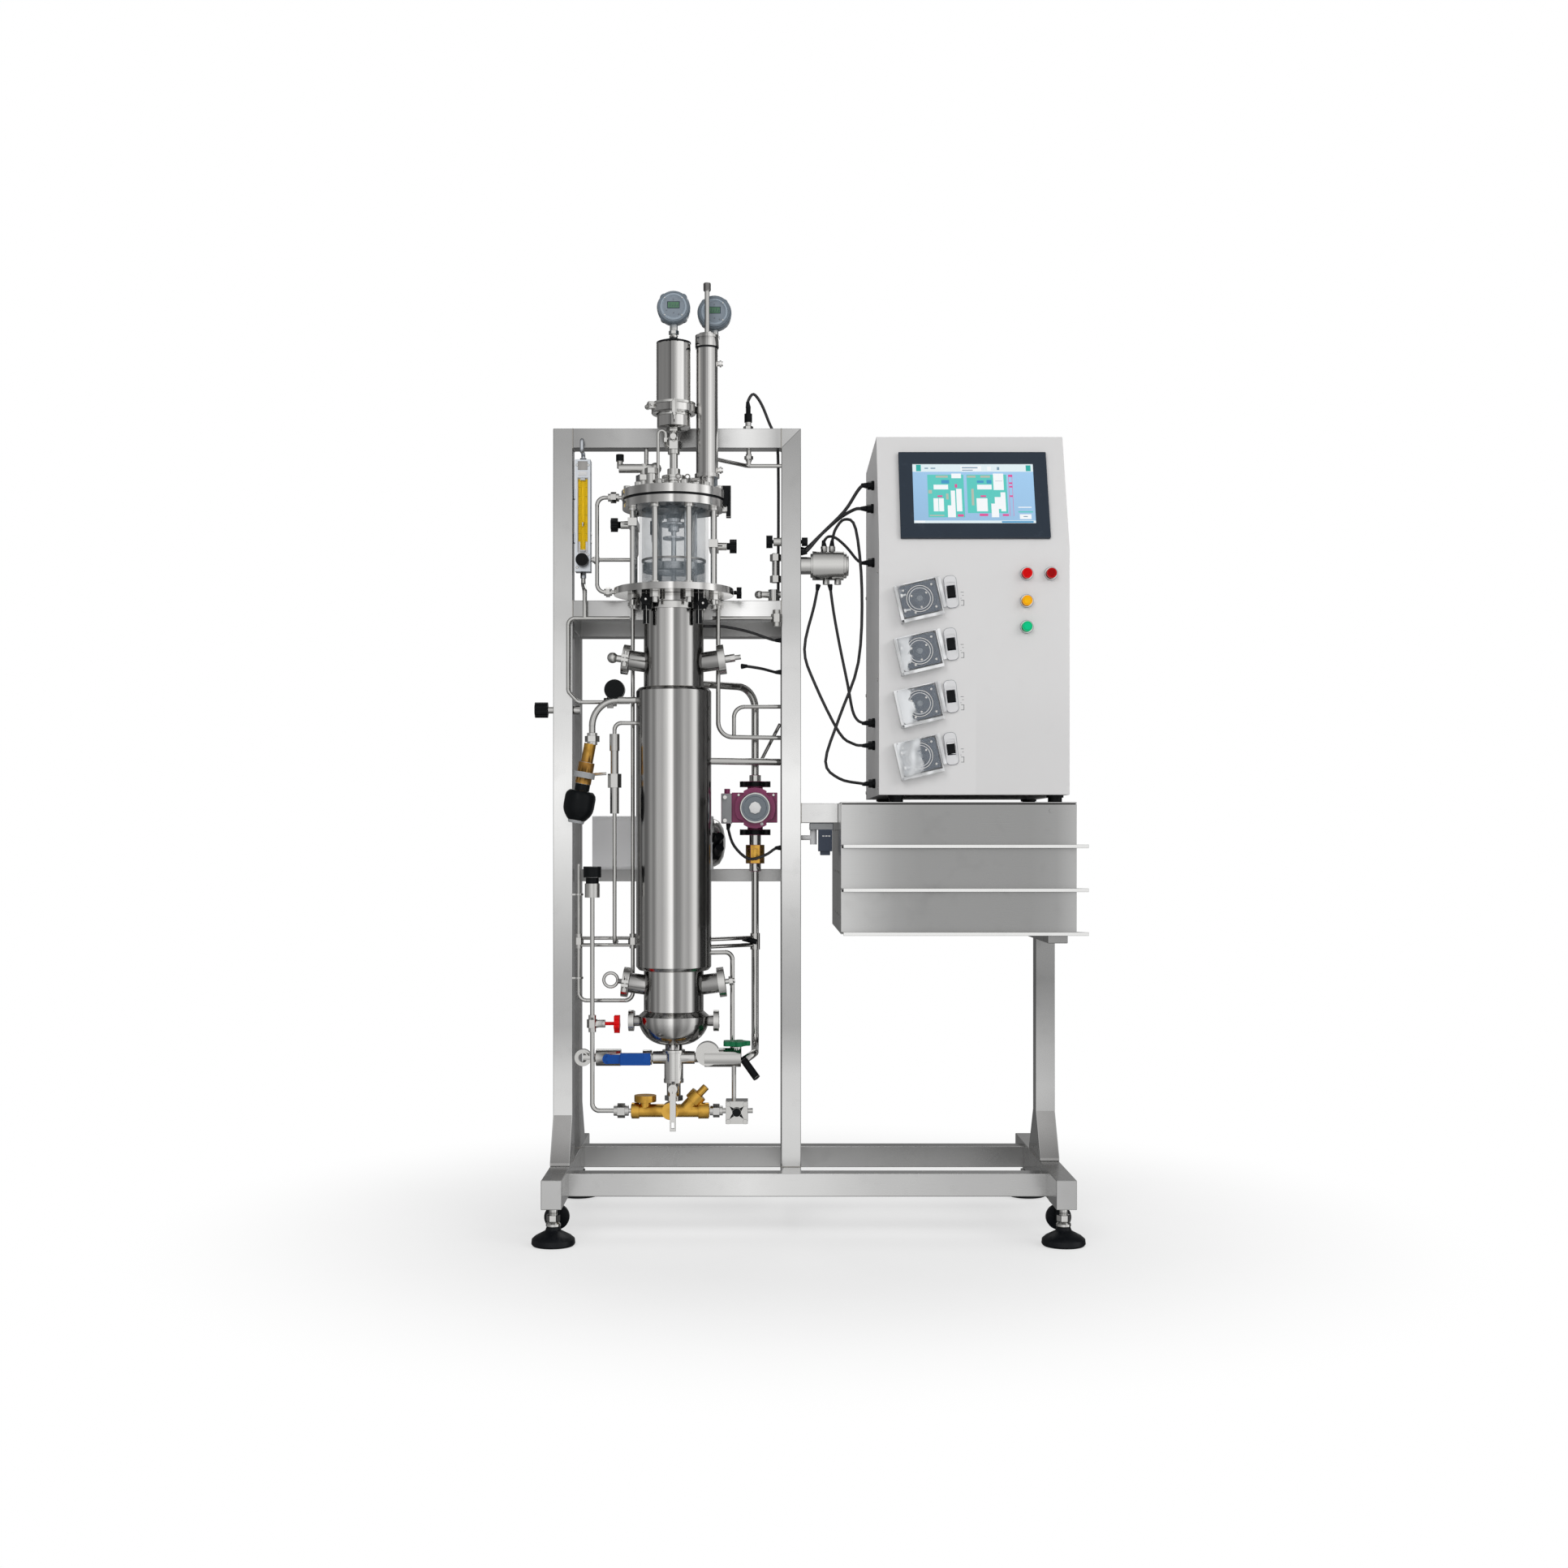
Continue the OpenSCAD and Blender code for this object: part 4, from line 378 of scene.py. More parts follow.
@dataclass(frozen=True)
class Painted(Finish):
    """Powder coat or enamel with orange peel and faint soiling."""

    name: str
    colour: Colour
    rough: float = 0.38
    peel: float = 420.0
    # Corner of the painted shade on the cabinet's lower right front, in metres.
    panel: Pair | None = None

    def build(self) -> Material:
        """Orange peel, soft cloudiness and, on the cabinet, painted shade past its front panel's edge."""
        g = ShaderGraph(self.name)
        peel = g.noise(self.peel, 2)
        cloud = g.noise(3.5, 3)
        dust = g.noise(35, 4).ramp(0.6, 0.85)
        base = g.mix(cloud, times(self.colour, 0.955), self.colour)
        base = g.mix(dust * 0.12, base, times(self.colour, 0.8))
        # Painted shade on the front, right of and below the panel's edge.
        if self.panel:
            x, _, z = g.axes()
            edge_x, edge_z = self.panel
            across = x.ramp(edge_x - 0.002, edge_x + 0.004)
            inside = across * (1 - z.ramp(edge_z - 0.12, edge_z + 0.02))
            base = g.mix(inside * 0.5, base, times(self.colour, 0.9))
        return g.finish({"Base Color": base, "Roughness": self.rough + (cloud - 0.5) * 0.1 + dust * 0.1,
                         "Normal": g.bump(peel, 0.00006, 0.35)})


@dataclass(frozen=True)
class CastMetal(Finish):
    """Cast or turned yellow metal with darker hollows."""

    name: str
    colour: Colour
    rough: float = 0.34
    lumps: float = 260.0

    def build(self) -> Material:
        """Sand-cast bumps, tarnish in patches and rubbed highlights."""
        g = ShaderGraph(self.name)
        lumps = g.noise(self.lumps, 3)
        tarnish = g.noise(45, 4).ramp(0.42, 0.72)
        dull = tuple(c * f for c, f in zip(self.colour, (0.62, 0.56, 0.5)))
        base = g.mix(tarnish * 0.7, self.colour, dull)
        return g.finish({"Base Color": base, "Metallic": 1.0,
                         "Roughness": self.rough + tarnish * 0.16 + (lumps - 0.5) * 0.12,
                         "Normal": g.bump(lumps, 0.00015, 0.5)})


@dataclass(frozen=True)
class Clear(Finish):
    """Glass or clear plastic with faint dust."""

    name: str
    tint: Colour = (0.94, 0.97, 0.98)
    rough: float = 0.02
    bend: float = 1.2
    wave: float = 30.0

    def build(self) -> Material:
        """Clear body, slow waviness and dust that dulls it in places."""
        g = ShaderGraph(self.name)
        wave = g.noise(self.wave, 2)
        dust = g.noise(120, 4).ramp(0.55, 0.9)
        return g.finish({"Base Color": self.tint, "Roughness": self.rough + dust * 0.05,
                         "IOR": self.bend, "Transmission Weight": 1.0,
                         "Normal": g.bump(wave, 0.00005, 0.1)})


@dataclass(frozen=True)
class Haze(Finish):
    """Thin clear plastic, mostly open, with milky alpha patches; painted glare on the pump covers."""

    name: str
    colour: Colour = (0.90, 0.93, 0.96)
    open: float = 0.12
    densest: float = 0.6
    spread: Pair = (0.5, 0.62)
    glare: tuple[float, float, float] | None = None

    def build(self) -> Material:
        """Alpha rising in slanting patches, in painted glare left of a leaning edge, and in fine scuffs."""
        g = ShaderGraph(self.name)
        patch = g.noise(30, 1.5, (1.0, 1.0, 0.55)).ramp(*self.spread)
        # Painted glare: white alpha left of a leaning edge, stronger lower down.
        if self.glare:
            x, _, z = g.axes()
            edge_x, edge_z, lean = self.glare
            wander, fade = 0.05, (-0.002, 0.006)
            start, gain, faintest, strongest = 0.32, 1.5, 0.2, 0.85
            even, patchy = 0.4, 0.7
            edge = (edge_z - z) * lean + edge_x + (g.noise(55, 2) - 0.5) * wander
            depth = ((edge_z - z) * gain + start).most(faintest).least(strongest)
            patch = (edge - x).ramp(*fade) * (even + patchy * patch) * depth
        scuff = g.noise(160, 3).ramp(0.6, 0.8)
        alpha = (patch * (self.densest - self.open) + scuff * 0.03 + self.open).least(0.95)
        return g.finish({"Base Color": self.colour, "Roughness": 0.08 + scuff * 0.2, "Alpha": alpha,
                         "Normal": g.bump(g.noise(45, 2), 0.0001, 0.15)})


@dataclass(frozen=True)
class Display(Finish):
    """Lit process screen: a plain plant picture of panels, vessels, tags and buttons.

    marks are rectangles as low u, low v, high u, high v and the number of a colour in inks.
    """

    name: str
    ground: Colour
    inks: tuple[Colour, ...]
    marks: tuple[tuple[float, float, float, float, int], ...]

    def build(self) -> Material:
        """Draws the marks on a pale ground that drifts in tone, under fine rows of dots."""
        rows, gap, glow = 480, 0.06, 0.72
        g = ShaderGraph(self.name)
        split = g.node("ShaderNodeSeparateXYZ", None, {0: g.node("ShaderNodeTexCoord").outputs["UV"]})
        u, v = Num(g, split.outputs[0]), Num(g, split.outputs[1])
        picture = g.mix(v * 0.6 + u * 0.3, self.ground, times(self.ground, 1.25))
        for left, low, right, high, ink in self.marks:
            across = abs(u - (left + right) / 2) < (right - left) / 2
            inside = across * (abs(v - (low + high) / 2) < (high - low) / 2)
            picture = g.mix(inside, picture, self.inks[ink])
        lit = g.tone(picture, (v * rows % 1.0) * gap + (1 - gap))
        return g.finish({"Base Color": g.tone(picture, 0.3), "Roughness": 0.16 + g.noise(40, 3) * 0.08,
                         "Emission Color": lit, "Emission Strength": glow})


@dataclass(frozen=True)
class Scale(Finish):
    """Printed scale: a coloured card with rule marks at every step of height.

    The marks run from inner to short or long, as distances from the middle of the card.
    """

    name: str
    colour: Colour
    base: float
    step: float
    ink: Colour = (0.16, 0.11, 0.02)
    middle: float = METER[0] / 1000
    inner: float = 0.0042
    short: float = 0.0066
    long: float = 0.0085

    def build(self) -> Material:
        """Short marks at each step, long ones at each fifth, on card with faint stains."""
        g = ShaderGraph(self.name)
        x, _, z = g.axes()
        near = abs(x - self.middle)
        marks = []
        for count, share, reach in ((1, 0.22, self.short), (5, 0.3, self.long)):
            drawn = (z - self.base) % (count * self.step) < self.step * share
            marks.append(drawn * near.within(self.inner, reach))
        stain = g.noise(60, 3)
        card = g.mix(stain, times(self.colour, 0.8), self.colour)
        return g.finish({"Base Color": g.mix(marks[0].most(marks[1]) * 0.75, card, self.ink),
                         "Roughness": 0.42 + stain * 0.1, "Specular IOR Level": 0.15,
                         "Normal": g.bump(stain, 0.0001, 0.2)})


@dataclass(frozen=True)
class Jacket(Finish):
    """Cable jacket: smooth, slightly dusty, with a faint lay of the cores beneath."""

    name: str
    colour: Colour = (0.018, 0.018, 0.02)
    rough: float = 0.42

    def build(self) -> Material:
        """Dust specks and long soft ripples."""
        g = ShaderGraph(self.name)
        dust = g.noise(260, 4).ramp(0.55, 0.85)
        ripple = g.noise(90, 1)
        base = g.mix(dust * 0.25, self.colour, (0.09, 0.09, 0.09))
        return g.finish({"Base Color": base, "Roughness": self.rough + dust * 0.15,
                         "Normal": g.bump(ripple, 0.0002, 0.3)})


BRIGHT = (0.95, 0.948, 0.94)
MIRROR = (0.80, 0.79, 0.775)
VESSEL_AXIS = tuple(c / 1000 for c in VESSEL)
CONDENSER_AXIS = tuple(c / 1000 for c in CONDENSER)


def mirror(name: str, centre: Pair, *bands: Pair, rough: float = 0.14, grain: Point = (1, 1, 0.03)) -> Steel:
    """Polished steel with painted reflections and shade laid out by angle round an upright axis."""
    return Steel(name, MIRROR, rough, grain, 0.05, centre=centre, bands=bands)


def cap(name: str, colour: Colour) -> Moulded:
    """Glossy moulded cap."""
    return Moulded(name, colour, 0.25, 1400.0, 0.00001, shine=0.12)


def lens(name: str, colour: Colour) -> Moulded:
    """Sunk disc of a button, duller than its cap."""
    return Moulded(name, colour, 0.3, shine=0.1)


class Look(Enum):
    """Every finish that the pieces choose from."""

    # The frame tubes' rise and run ramps are painted reflection and shade by height and by width.
    TUBE = Steel("satin_tube", BRIGHT, 0.24, rise=(
        (0.1, 0.66), (0.21, 0.72), (0.31, 0.66), (0.41, 0.43), (0.51, 0.44), (0.61, 0.54), (0.71, 0.70),
        (0.81, 0.86), (0.91, 0.90), (1.01, 0.76), (1.18, 0.66), (1.25, 0.55), (1.31, 0.58), (1.41, 0.52),
        (1.51, 0.43), (1.6, 0.37)), run=(
            (-0.47, 0.4), (-0.42, 0.49), (-0.37, 0.58), (-0.3, 0.47), (-0.22, 0.42), (-0.16, 0.88),
            (-0.13, 1.05), (-0.11, 1.02), (-0.08, 0.85), (-0.06, 0.62), (0.05, 0.8)),
        posts=(-0.498, -0.031), corner=(-0.011, 1.633))
    BASE_TUBE = Steel("base_tube", BRIGHT, 0.24, (0.02, 1, 1), run=(
        (-0.5, 0.52), (-0.37, 0.55), (-0.23, 0.68), (-0.12, 0.79), (0.0, 0.71), (0.14, 0.58),
        (0.3, 0.53), (0.5, 0.49)))
    # A darker copy of the tube steel for the rear tubes: painted shade.
    SHADED_TUBE = Steel("shaded_tube", BRIGHT, 0.3, (1, 1, 1), 0.14, run=(
        (-0.5, 0.38), (-0.1, 0.45), (0.05, 0.37), (0.5, 0.27)))
    STAND_TUBE = Steel("stand_tube", BRIGHT, 0.26, rise=(
        (0.1, 0.5), (0.22, 0.48), (0.28, 0.53), (0.36, 0.45), (0.44, 0.34), (0.5, 0.27), (0.6, 0.34)))
    # A lighter copy of the sheet steel: painted highlight along the drawers' folded lips.
    LIP = Steel("folded_lip", (0.8, 0.8, 0.79), 0.2, (0.02, 1, 1), 0.05)
    WELD = Steel("weld_bead", (0.45, 0.43, 0.40), 0.34, (1, 1, 1), 0.2)
    # The vessel, filter, condenser and flange shells carry painted reflections and shade by angle.
    JACKET = mirror(
        "jacket_shell", VESSEL_AXIS,
        (-180, 0.6), (-140, 0.5), (-110, 0.62), (-90, 0.5), (-80, 0.37), (-66, 0.82), (-56, 0.3), (-50, 0.74),
        (-46, 0.34), (-41, 0.36), (-34, 0.8), (-29, 0.52), (-23, 0.9), (-15, 0.62), (-8, 0.78), (-4, 1.0),
        (-1, 1.1), (1, 0.95), (3, 0.3), (7, 0.24), (11, 0.38), (18, 0.54), (25, 0.42), (33, 0.62), (38, 0.66),
        (42, 0.22), (48, 0.25), (62, 0.3), (80, 0.4), (100, 0.55), (140, 0.5), (180, 0.6))
    FILTER = mirror(
        "filter_shell", VESSEL_AXIS,
        (-180, 0.6), (-130, 0.5), (-100, 0.6), (-80, 0.4), (-60, 1.0), (-45, 0.64), (-30, 0.58), (-20, 0.39),
        (-12, 0.22), (-7, 0.13), (-4, 0.4), (0, 0.3), (7, 0.5), (11, 0.9), (15, 1.1), (31, 1.05), (36, 0.75),
        (41, 0.23), (50, 1.1), (88, 1.1), (110, 0.6), (140, 0.5), (180, 0.6))
    COLUMN = mirror(
        "condenser_shell", CONDENSER_AXIS,
        (-180, 0.6), (-130, 0.5), (-90, 0.6), (-56, 0.35), (-42, 0.75), (-30, 0.72), (-19, 0.28), (-10, 0.25),
        (-6, 0.31), (0, 0.5), (4, 0.34), (10, 1.1), (19, 1.1), (30, 0.77), (34, 0.44), (42, 0.54), (50, 1.1),
        (80, 1.1), (110, 0.6), (140, 0.5), (180, 0.6))
    FLANGE = mirror(
        "flange_face", VESSEL_AXIS,
        (-180, 0.7), (-130, 0.55), (-100, 0.7), (-65, 1.1), (-53, 1.1), (-43, 0.56), (-37, 0.44), (-30, 0.6),
        (-27, 1.0), (-22, 0.5), (-9, 0.55), (-3, 0.75), (-1, 1.1), (1, 1.1), (3, 0.35), (12, 0.7), (20, 0.9),
        (27, 1.0), (32, 0.4), (40, 0.95), (50, 1.1), (75, 1.1), (100, 0.6), (140, 0.55), (180, 0.7),
        rough=0.15, grain=(1, 1, 1))
    CAP_STEEL = Steel("knurled_cap", (0.22, 0.215, 0.21), 0.3, (1, 1, 0.05), 0.1)
    TURNED = Steel("turned_fitting", (0.60, 0.595, 0.58), 0.12, (1, 1, 1), 0.08)
    PIPE = Steel("drawn_pipe", (0.54, 0.535, 0.52), 0.12, (1, 1, 0.05), 0.08)
    # The drawer sheet's run ramp is painted reflection across the drawer fronts.
    SHEET = Steel("brushed_sheet", (0.6, 0.6, 0.595), 0.3, (0.02, 1, 1), 0.05, run=(
        (0.06, 1.0), (0.08, 0.95), (0.12, 0.78), (0.17, 0.6), (0.22, 0.54), (0.44, 0.54), (0.49, 0.6),
        (0.53, 0.8)))
    # A darker copy of the tube steel for the frame's stays: painted shade.
    SHADED_GUSSET = Steel("shaded_gusset_steel", (0.36, 0.355, 0.35), 0.26, (1, 1, 0.05), 0.3)
    DARK_STEEL = Steel("shaded_steel", (0.35, 0.34, 0.33), 0.3, (1, 1, 1), 0.1)
    # Its last pair places painted shade on the lower right of the front.
    CABINET = Painted("cabinet_coat", (0.70, 0.695, 0.695), 0.42, 420.0, (0.330, 1.103))
    TANK = Painted("tank_enamel", (0.84, 0.84, 0.85), 0.25)
    MAGENTA = Painted("pump_enamel", (0.26, 0.03, 0.12), 0.34, 300.0)
    TRAY = Painted("tray_blasted", (0.42, 0.42, 0.41), 0.38, 300.0)
    GREY_CAST = Painted("grey_casting", (0.33, 0.34, 0.35), 0.4, 300.0)
    BRASS = CastMetal("cast_brass", (0.66, 0.38, 0.07), 0.24)
    BRONZE = CastMetal("dark_bronze", (0.50, 0.27, 0.07), 0.36)
    BLACK = Moulded("black_plastic", (0.004, 0.005, 0.006), 0.34, shine=0.13)
    RUBBER = Moulded("black_rubber", (0.005, 0.006, 0.008), 0.38, 900.0, shine=0.2)
    GAUGE = Moulded("gauge_blue", (0.14, 0.175, 0.21), 0.2)
    GAUGE_RIM = Moulded("gauge_rim", (0.31, 0.37, 0.43), 0.2)
    GAUGE_FACE = Moulded("gauge_face", (0.21, 0.25, 0.295), 0.4)
    SLATE = Moulded("pump_slate", (0.04, 0.062, 0.095), 0.2)
    WHITE = Moulded("white_plastic", (0.74, 0.74, 0.75), 0.36)
    PLUG = Moulded("plug_blue", (0.035, 0.05, 0.085), 0.4)
    BEZEL = Moulded("screen_bezel", (0.020, 0.032, 0.05), 0.3, shine=0.3)
    RED = cap("red_cap", (0.75, 0.002, 0.003))
    DARK_RED = cap("dark_red_cap", (0.48, 0.002, 0.003))
    YELLOW = cap("amber_cap", (1.0, 0.42, 0.001))
    GREEN = cap("green_cap", (0.002, 0.52, 0.20))
    GREEN_WHEEL = Moulded("green_wheel", (0.004, 0.16, 0.06), 0.4, shine=0.25)
    BLUE_GRIP = Moulded("blue_grip", (0.003, 0.07, 0.34), 0.3, shine=0.2)
    METER = Steel("meter_block", (0.62, 0.65, 0.69), 0.3, (1, 1, 0.05), 0.08)
    SCALE = Scale("flow_scale", (0.88, 0.56, 0.004), 1.381, 0.0038)
    LCD = Scale("gauge_readout", (0.10, 0.21, 0.13), 1.0, 0.9)
    SMOKED = Moulded("smoked_cap", (0.14, 0.17, 0.20), 0.16, 1400.0, 0.00001, 0.6)
    MILKY = Haze("milky_frame", (0.86, 0.87, 0.88), 0.5, 0.95, (0.4, 0.6))
    PALE = Moulded("pale_silicone", (0.60, 0.62, 0.64), 0.3)
    PRINT = Moulded("grey_print", (0.14, 0.14, 0.15), 0.5)
    PIN = Moulded("white_pin", (0.85, 0.85, 0.85), 0.3)
    RED_LENS = lens("red_lens", (0.66, 0.001, 0.002))
    DARK_RED_LENS = lens("dark_red_lens", (0.34, 0.001, 0.002))
    AMBER_LENS = lens("amber_lens", (1.0, 0.50, 0.005))
    GREEN_LENS = lens("green_lens", (0.003, 0.60, 0.26))
    DISPLAY = Display(
        "process_picture", (0.30, 0.50, 0.72),
        ((0.75, 0.86, 0.90), (0.10, 0.58, 0.52), (0.90, 0.93, 0.95), (0.05, 0.30, 0.55), (0.72, 0.08, 0.30),
         (0.02, 0.40, 0.36), (0.45, 0.50, 0.42), (0.20, 0.32, 0.42)),
        ((0.0, 0.87, 1.0, 1.0, 0), (0.03, 0.88, 0.07, 0.99, 5), (0.10, 0.92, 0.13, 0.94, 7),
         (0.15, 0.92, 0.19, 0.94, 7), (0.40, 0.88, 0.57, 0.97, 2), (0.41, 0.93, 0.54, 0.95, 7),
         (0.41, 0.89, 0.50, 0.905, 7), (0.62, 0.89, 0.65, 0.96, 2), (0.70, 0.90, 0.72, 0.95, 7),
         (0.94, 0.88, 0.98, 0.98, 5), (0.12, 0.10, 0.42, 0.82, 1), (0.445, 0.17, 0.775, 0.82, 1),
         (0.19, 0.77, 0.29, 0.805, 6), (0.32, 0.76, 0.40, 0.84, 2), (0.235, 0.67, 0.30, 0.73, 3),
         (0.17, 0.57, 0.29, 0.65, 2), (0.165, 0.20, 0.25, 0.42, 2), (0.205, 0.20, 0.209, 0.42, 1),
         (0.28, 0.10, 0.345, 0.30, 2), (0.31, 0.22, 0.345, 0.55, 2), (0.355, 0.20, 0.40, 0.58, 2),
         (0.345, 0.60, 0.365, 0.66, 4), (0.20, 0.44, 0.24, 0.47, 4), (0.36, 0.11, 0.41, 0.15, 4),
         (0.13, 0.12, 0.25, 0.14, 6), (0.27, 0.40, 0.29, 0.50, 6), (0.125, 0.50, 0.155, 0.56, 6),
         (0.45, 0.77, 0.52, 0.805, 6), (0.56, 0.77, 0.64, 0.805, 6), (0.53, 0.68, 0.585, 0.72, 3),
         (0.61, 0.67, 0.65, 0.73, 3), (0.53, 0.57, 0.65, 0.65, 2), (0.665, 0.56, 0.75, 0.84, 2),
         (0.68, 0.71, 0.74, 0.715, 7), (0.52, 0.20, 0.61, 0.42, 2), (0.64, 0.10, 0.70, 0.33, 2),
         (0.67, 0.24, 0.72, 0.44, 2), (0.72, 0.20, 0.76, 0.52, 2), (0.48, 0.30, 0.50, 0.58, 6),
         (0.555, 0.44, 0.60, 0.47, 4), (0.54, 0.12, 0.61, 0.16, 4), (0.73, 0.12, 0.78, 0.155, 4),
         (0.79, 0.12, 0.793, 0.82, 4), (0.82, 0.12, 0.823, 0.82, 4), (0.79, 0.78, 0.825, 0.82, 4),
         (0.795, 0.66, 0.82, 0.69, 4), (0.795, 0.60, 0.82, 0.63, 4), (0.795, 0.44, 0.82, 0.47, 4),
         (0.86, 0.26, 0.97, 0.275, 2), (0.86, 0.18, 0.98, 0.20, 1), (0.87, 0.07, 0.965, 0.15, 2),
         (0.90, 0.105, 0.935, 0.12, 7), (0.0, 0.0, 1.0, 0.045, 0), (0.01, 0.01, 0.09, 0.045, 2),
         (0.72, 0.008, 0.98, 0.035, 3)))
    GLASS = Haze("sight_glass_clear", (0.30, 0.35, 0.39), 0.16, 0.24, (0.40, 0.72))
    METER_GLASS = Clear("meter_tube_clear", (1.0, 0.99, 0.94), 0.02, 1.06)
    LINER = Haze("liner_tint", (0.16, 0.19, 0.21), 0.12, 0.2)
    PROBE = Steel("probe_steel", (0.70, 0.73, 0.76), 0.22, (1, 1, 0.05), 0.2)
    # Pump covers: white alpha patches left of a leaning edge are painted glare.
    RESIN = Haze("pump_cover_clear", (0.96, 0.98, 1.0), 0.05, 0.90, (0.40, 0.60), (0.182, 1.265, 0.13))
    CABLE = Jacket("cable_jacket")

    @property
    def material(self) -> Material:
        """The finish as a Blender material."""
        return self.value.material()


# --------------------------------------------------------------- mesh building


def turns(steps: int) -> list[float]:
    """Angles of even steps round a full turn."""
    return [2 * math.pi * k / steps for k in range(steps)]


class Shape:
    """Mesh under construction, drawn in millimetres, with a look for every form added."""

    def __init__(self) -> None:
        """Starts empty."""
        self.bm = bmesh.new()
        self.looks: list[Look] = []

    def _tag(self, look: Look, faces: Iterable[bmesh.types.BMFace]) -> None:
        """Gives faces the look's material index."""
        if look not in self.looks:
            self.looks.append(look)
        for face in faces:
            face.material_index = self.looks.index(look)

    def _round(self, edges: list[bmesh.types.BMEdge], width: float, look: Look) -> None:
        """Bevels edges of a form that has just been added."""
        if width > 0 and edges:
            made = bmesh.ops.bevel(self.bm, geom=edges, offset=width, segments=2, profile=0.5,
                                   affect="EDGES", clamp_overlap=True)
            self._tag(look, made["faces"])

    def lathe(self, look: Look, profile: Sequence[Pair], place: Matrix = Matrix(),
              steps: int = 48) -> "Shape":
        """Turns a closed outline about Z.

        Args:
            look: Finish of the form.
            profile: Radius and height of each corner, outside going up.
            place: Where it goes.
            steps: Faces round the axis.

        Returns:
            The shape itself.
        """
        on_axis = 1e-6
        rings = []
        for radius, height in profile:
            corners = [(radius * math.cos(a), radius * math.sin(a)) for a in turns(steps)]
            if radius <= on_axis:
                corners = [(0, 0)]
            rings.append([self.bm.verts.new(place @ Vector((x, y, height))) for x, y in corners])
        closed = profile[0][0] > on_axis or profile[-1][0] > on_axis
        pairs = list(zip(rings, rings[1:])) + ([(rings[-1], rings[0])] if closed else [])
        faces = []
        for low, high in pairs:
            if len(low) == 1 and len(high) == 1:
                continue
            for k in range(steps):
                m = (k + 1) % steps
                corners = low[k % len(low)], low[m % len(low)], high[m % len(high)], high[k % len(high)]
                faces.append(self.bm.faces.new(list(dict.fromkeys(corners))))
        self._tag(look, faces)
        return self

    def ring(self, look: Look, inner: float, outer: float, low: float, high: float,
             place: Matrix = Matrix(), steps: int = 48) -> "Shape":
        """Adds a plain ring between two radii and two heights: a disc where the inner is 0."""
        return self.lathe(look, [(inner, low), (outer, low), (outer, high), (inner, high)], place, steps)

    def prism(self, look: Look, outline: Sequence[Pair], low: float, high: float,
              place: Matrix = Matrix(), edge: float = 0.0) -> "Shape":
        """Pulls an outline up along Z.

        Args:
            look: Finish of the form.
            outline: Corners in X and Y, anticlockwise.
            low: Height of the underside.
            high: Height of the top.
            place: Where it goes.
            edge: Width of the rounded rim.

        Returns:
            The shape itself.
        """
        bottom, top = ([self.bm.verts.new(place @ Vector((x, y, z))) for x, y in outline]
                       for z in (low, high))
        count = len(outline)
        faces = [self.bm.faces.new(bottom[::-1]), self.bm.faces.new(top)]
        for k in range(count):
            m = (k + 1) % count
            faces.append(self.bm.faces.new([bottom[k], bottom[m], top[m], top[k]]))
        self._tag(look, faces)
        around = [*faces[0].edges, *faces[1].edges]
        if count <= 8:
            around += [e for f in faces[2:] for e in f.edges if e not in around]
        self._round(list(dict.fromkeys(around)), edge, look)
        return self

    def block(self, look: Look, low: Point, high: Point, place: Matrix = Matrix(),
              edge: float = 0.0) -> "Shape":
        """Adds a box between two corners, with rounded edges."""
        (x0, y0, z0), (x1, y1, z1) = low, high
        return self.prism(look, [(x0, y0), (x1, y0), (x1, y1), (x0, y1)], z0, z1, place, edge)

    def rod(self, look: Look, points: Sequence[Point], radius: float, steps: int = 12) -> "Shape":
        """Runs a round bar along points."""
        line = [Vector(p) for p in points]
        rings = []
        side = None
        for k, here in enumerate(line):
            ahead = (line[min(k + 1, len(line) - 1)] - line[max(k - 1, 0)]).normalized()
            side = side or ahead.orthogonal()
            side = side - ahead * side.dot(ahead)
            side.normalize()
            other = ahead.cross(side)
            rings.append([self.bm.verts.new(here + (side * math.cos(a) + other * math.sin(a)) * radius)
                          for a in turns(steps)])
        faces = [self.bm.faces.new(rings[0][::-1]), self.bm.faces.new(rings[-1])]
        for low, high in zip(rings, rings[1:]):
            for j in range(steps):
                m = (j + 1) % steps
                faces.append(self.bm.faces.new([low[j], low[m], high[m], high[j]]))
        self._tag(look, faces)
        return self

    def mesh(self, name: str) -> Mesh:
        """Closes the shape as a mesh in metres, its faces turned outwards."""
        bmesh.ops.scale(self.bm, vec=(MM, MM, MM), verts=self.bm.verts)
        bmesh.ops.recalc_face_normals(self.bm, faces=self.bm.faces)
        mesh = bpy.data.meshes.new(name)
        self.bm.to_mesh(mesh)
        self.bm.free()
        for look in self.looks:
            mesh.materials.append(look.material)
        shade(mesh)
        return mesh

    def piece(self, name: str, slot: str, *replaced: str, body: str = "skid") -> Object:
        """Closes the shape as a piece that rides on a body."""
        return settle(self.mesh(name), name, slot, *replaced, body=body)


def linked(name: str, data: bpy.types.ID) -> Object:
    """New object with its data, in the scene."""
    made = bpy.data.objects.new(name, data)
    bpy.context.scene.collection.objects.link(made)
    return made


def shade(mesh: Mesh, sharp: float = SHARP) -> None:
    """Shades a mesh smooth except over edges sharper than an angle in degrees."""
    mesh.shade_smooth()
    mesh.set_sharp_from_angle(angle=math.radians(sharp))


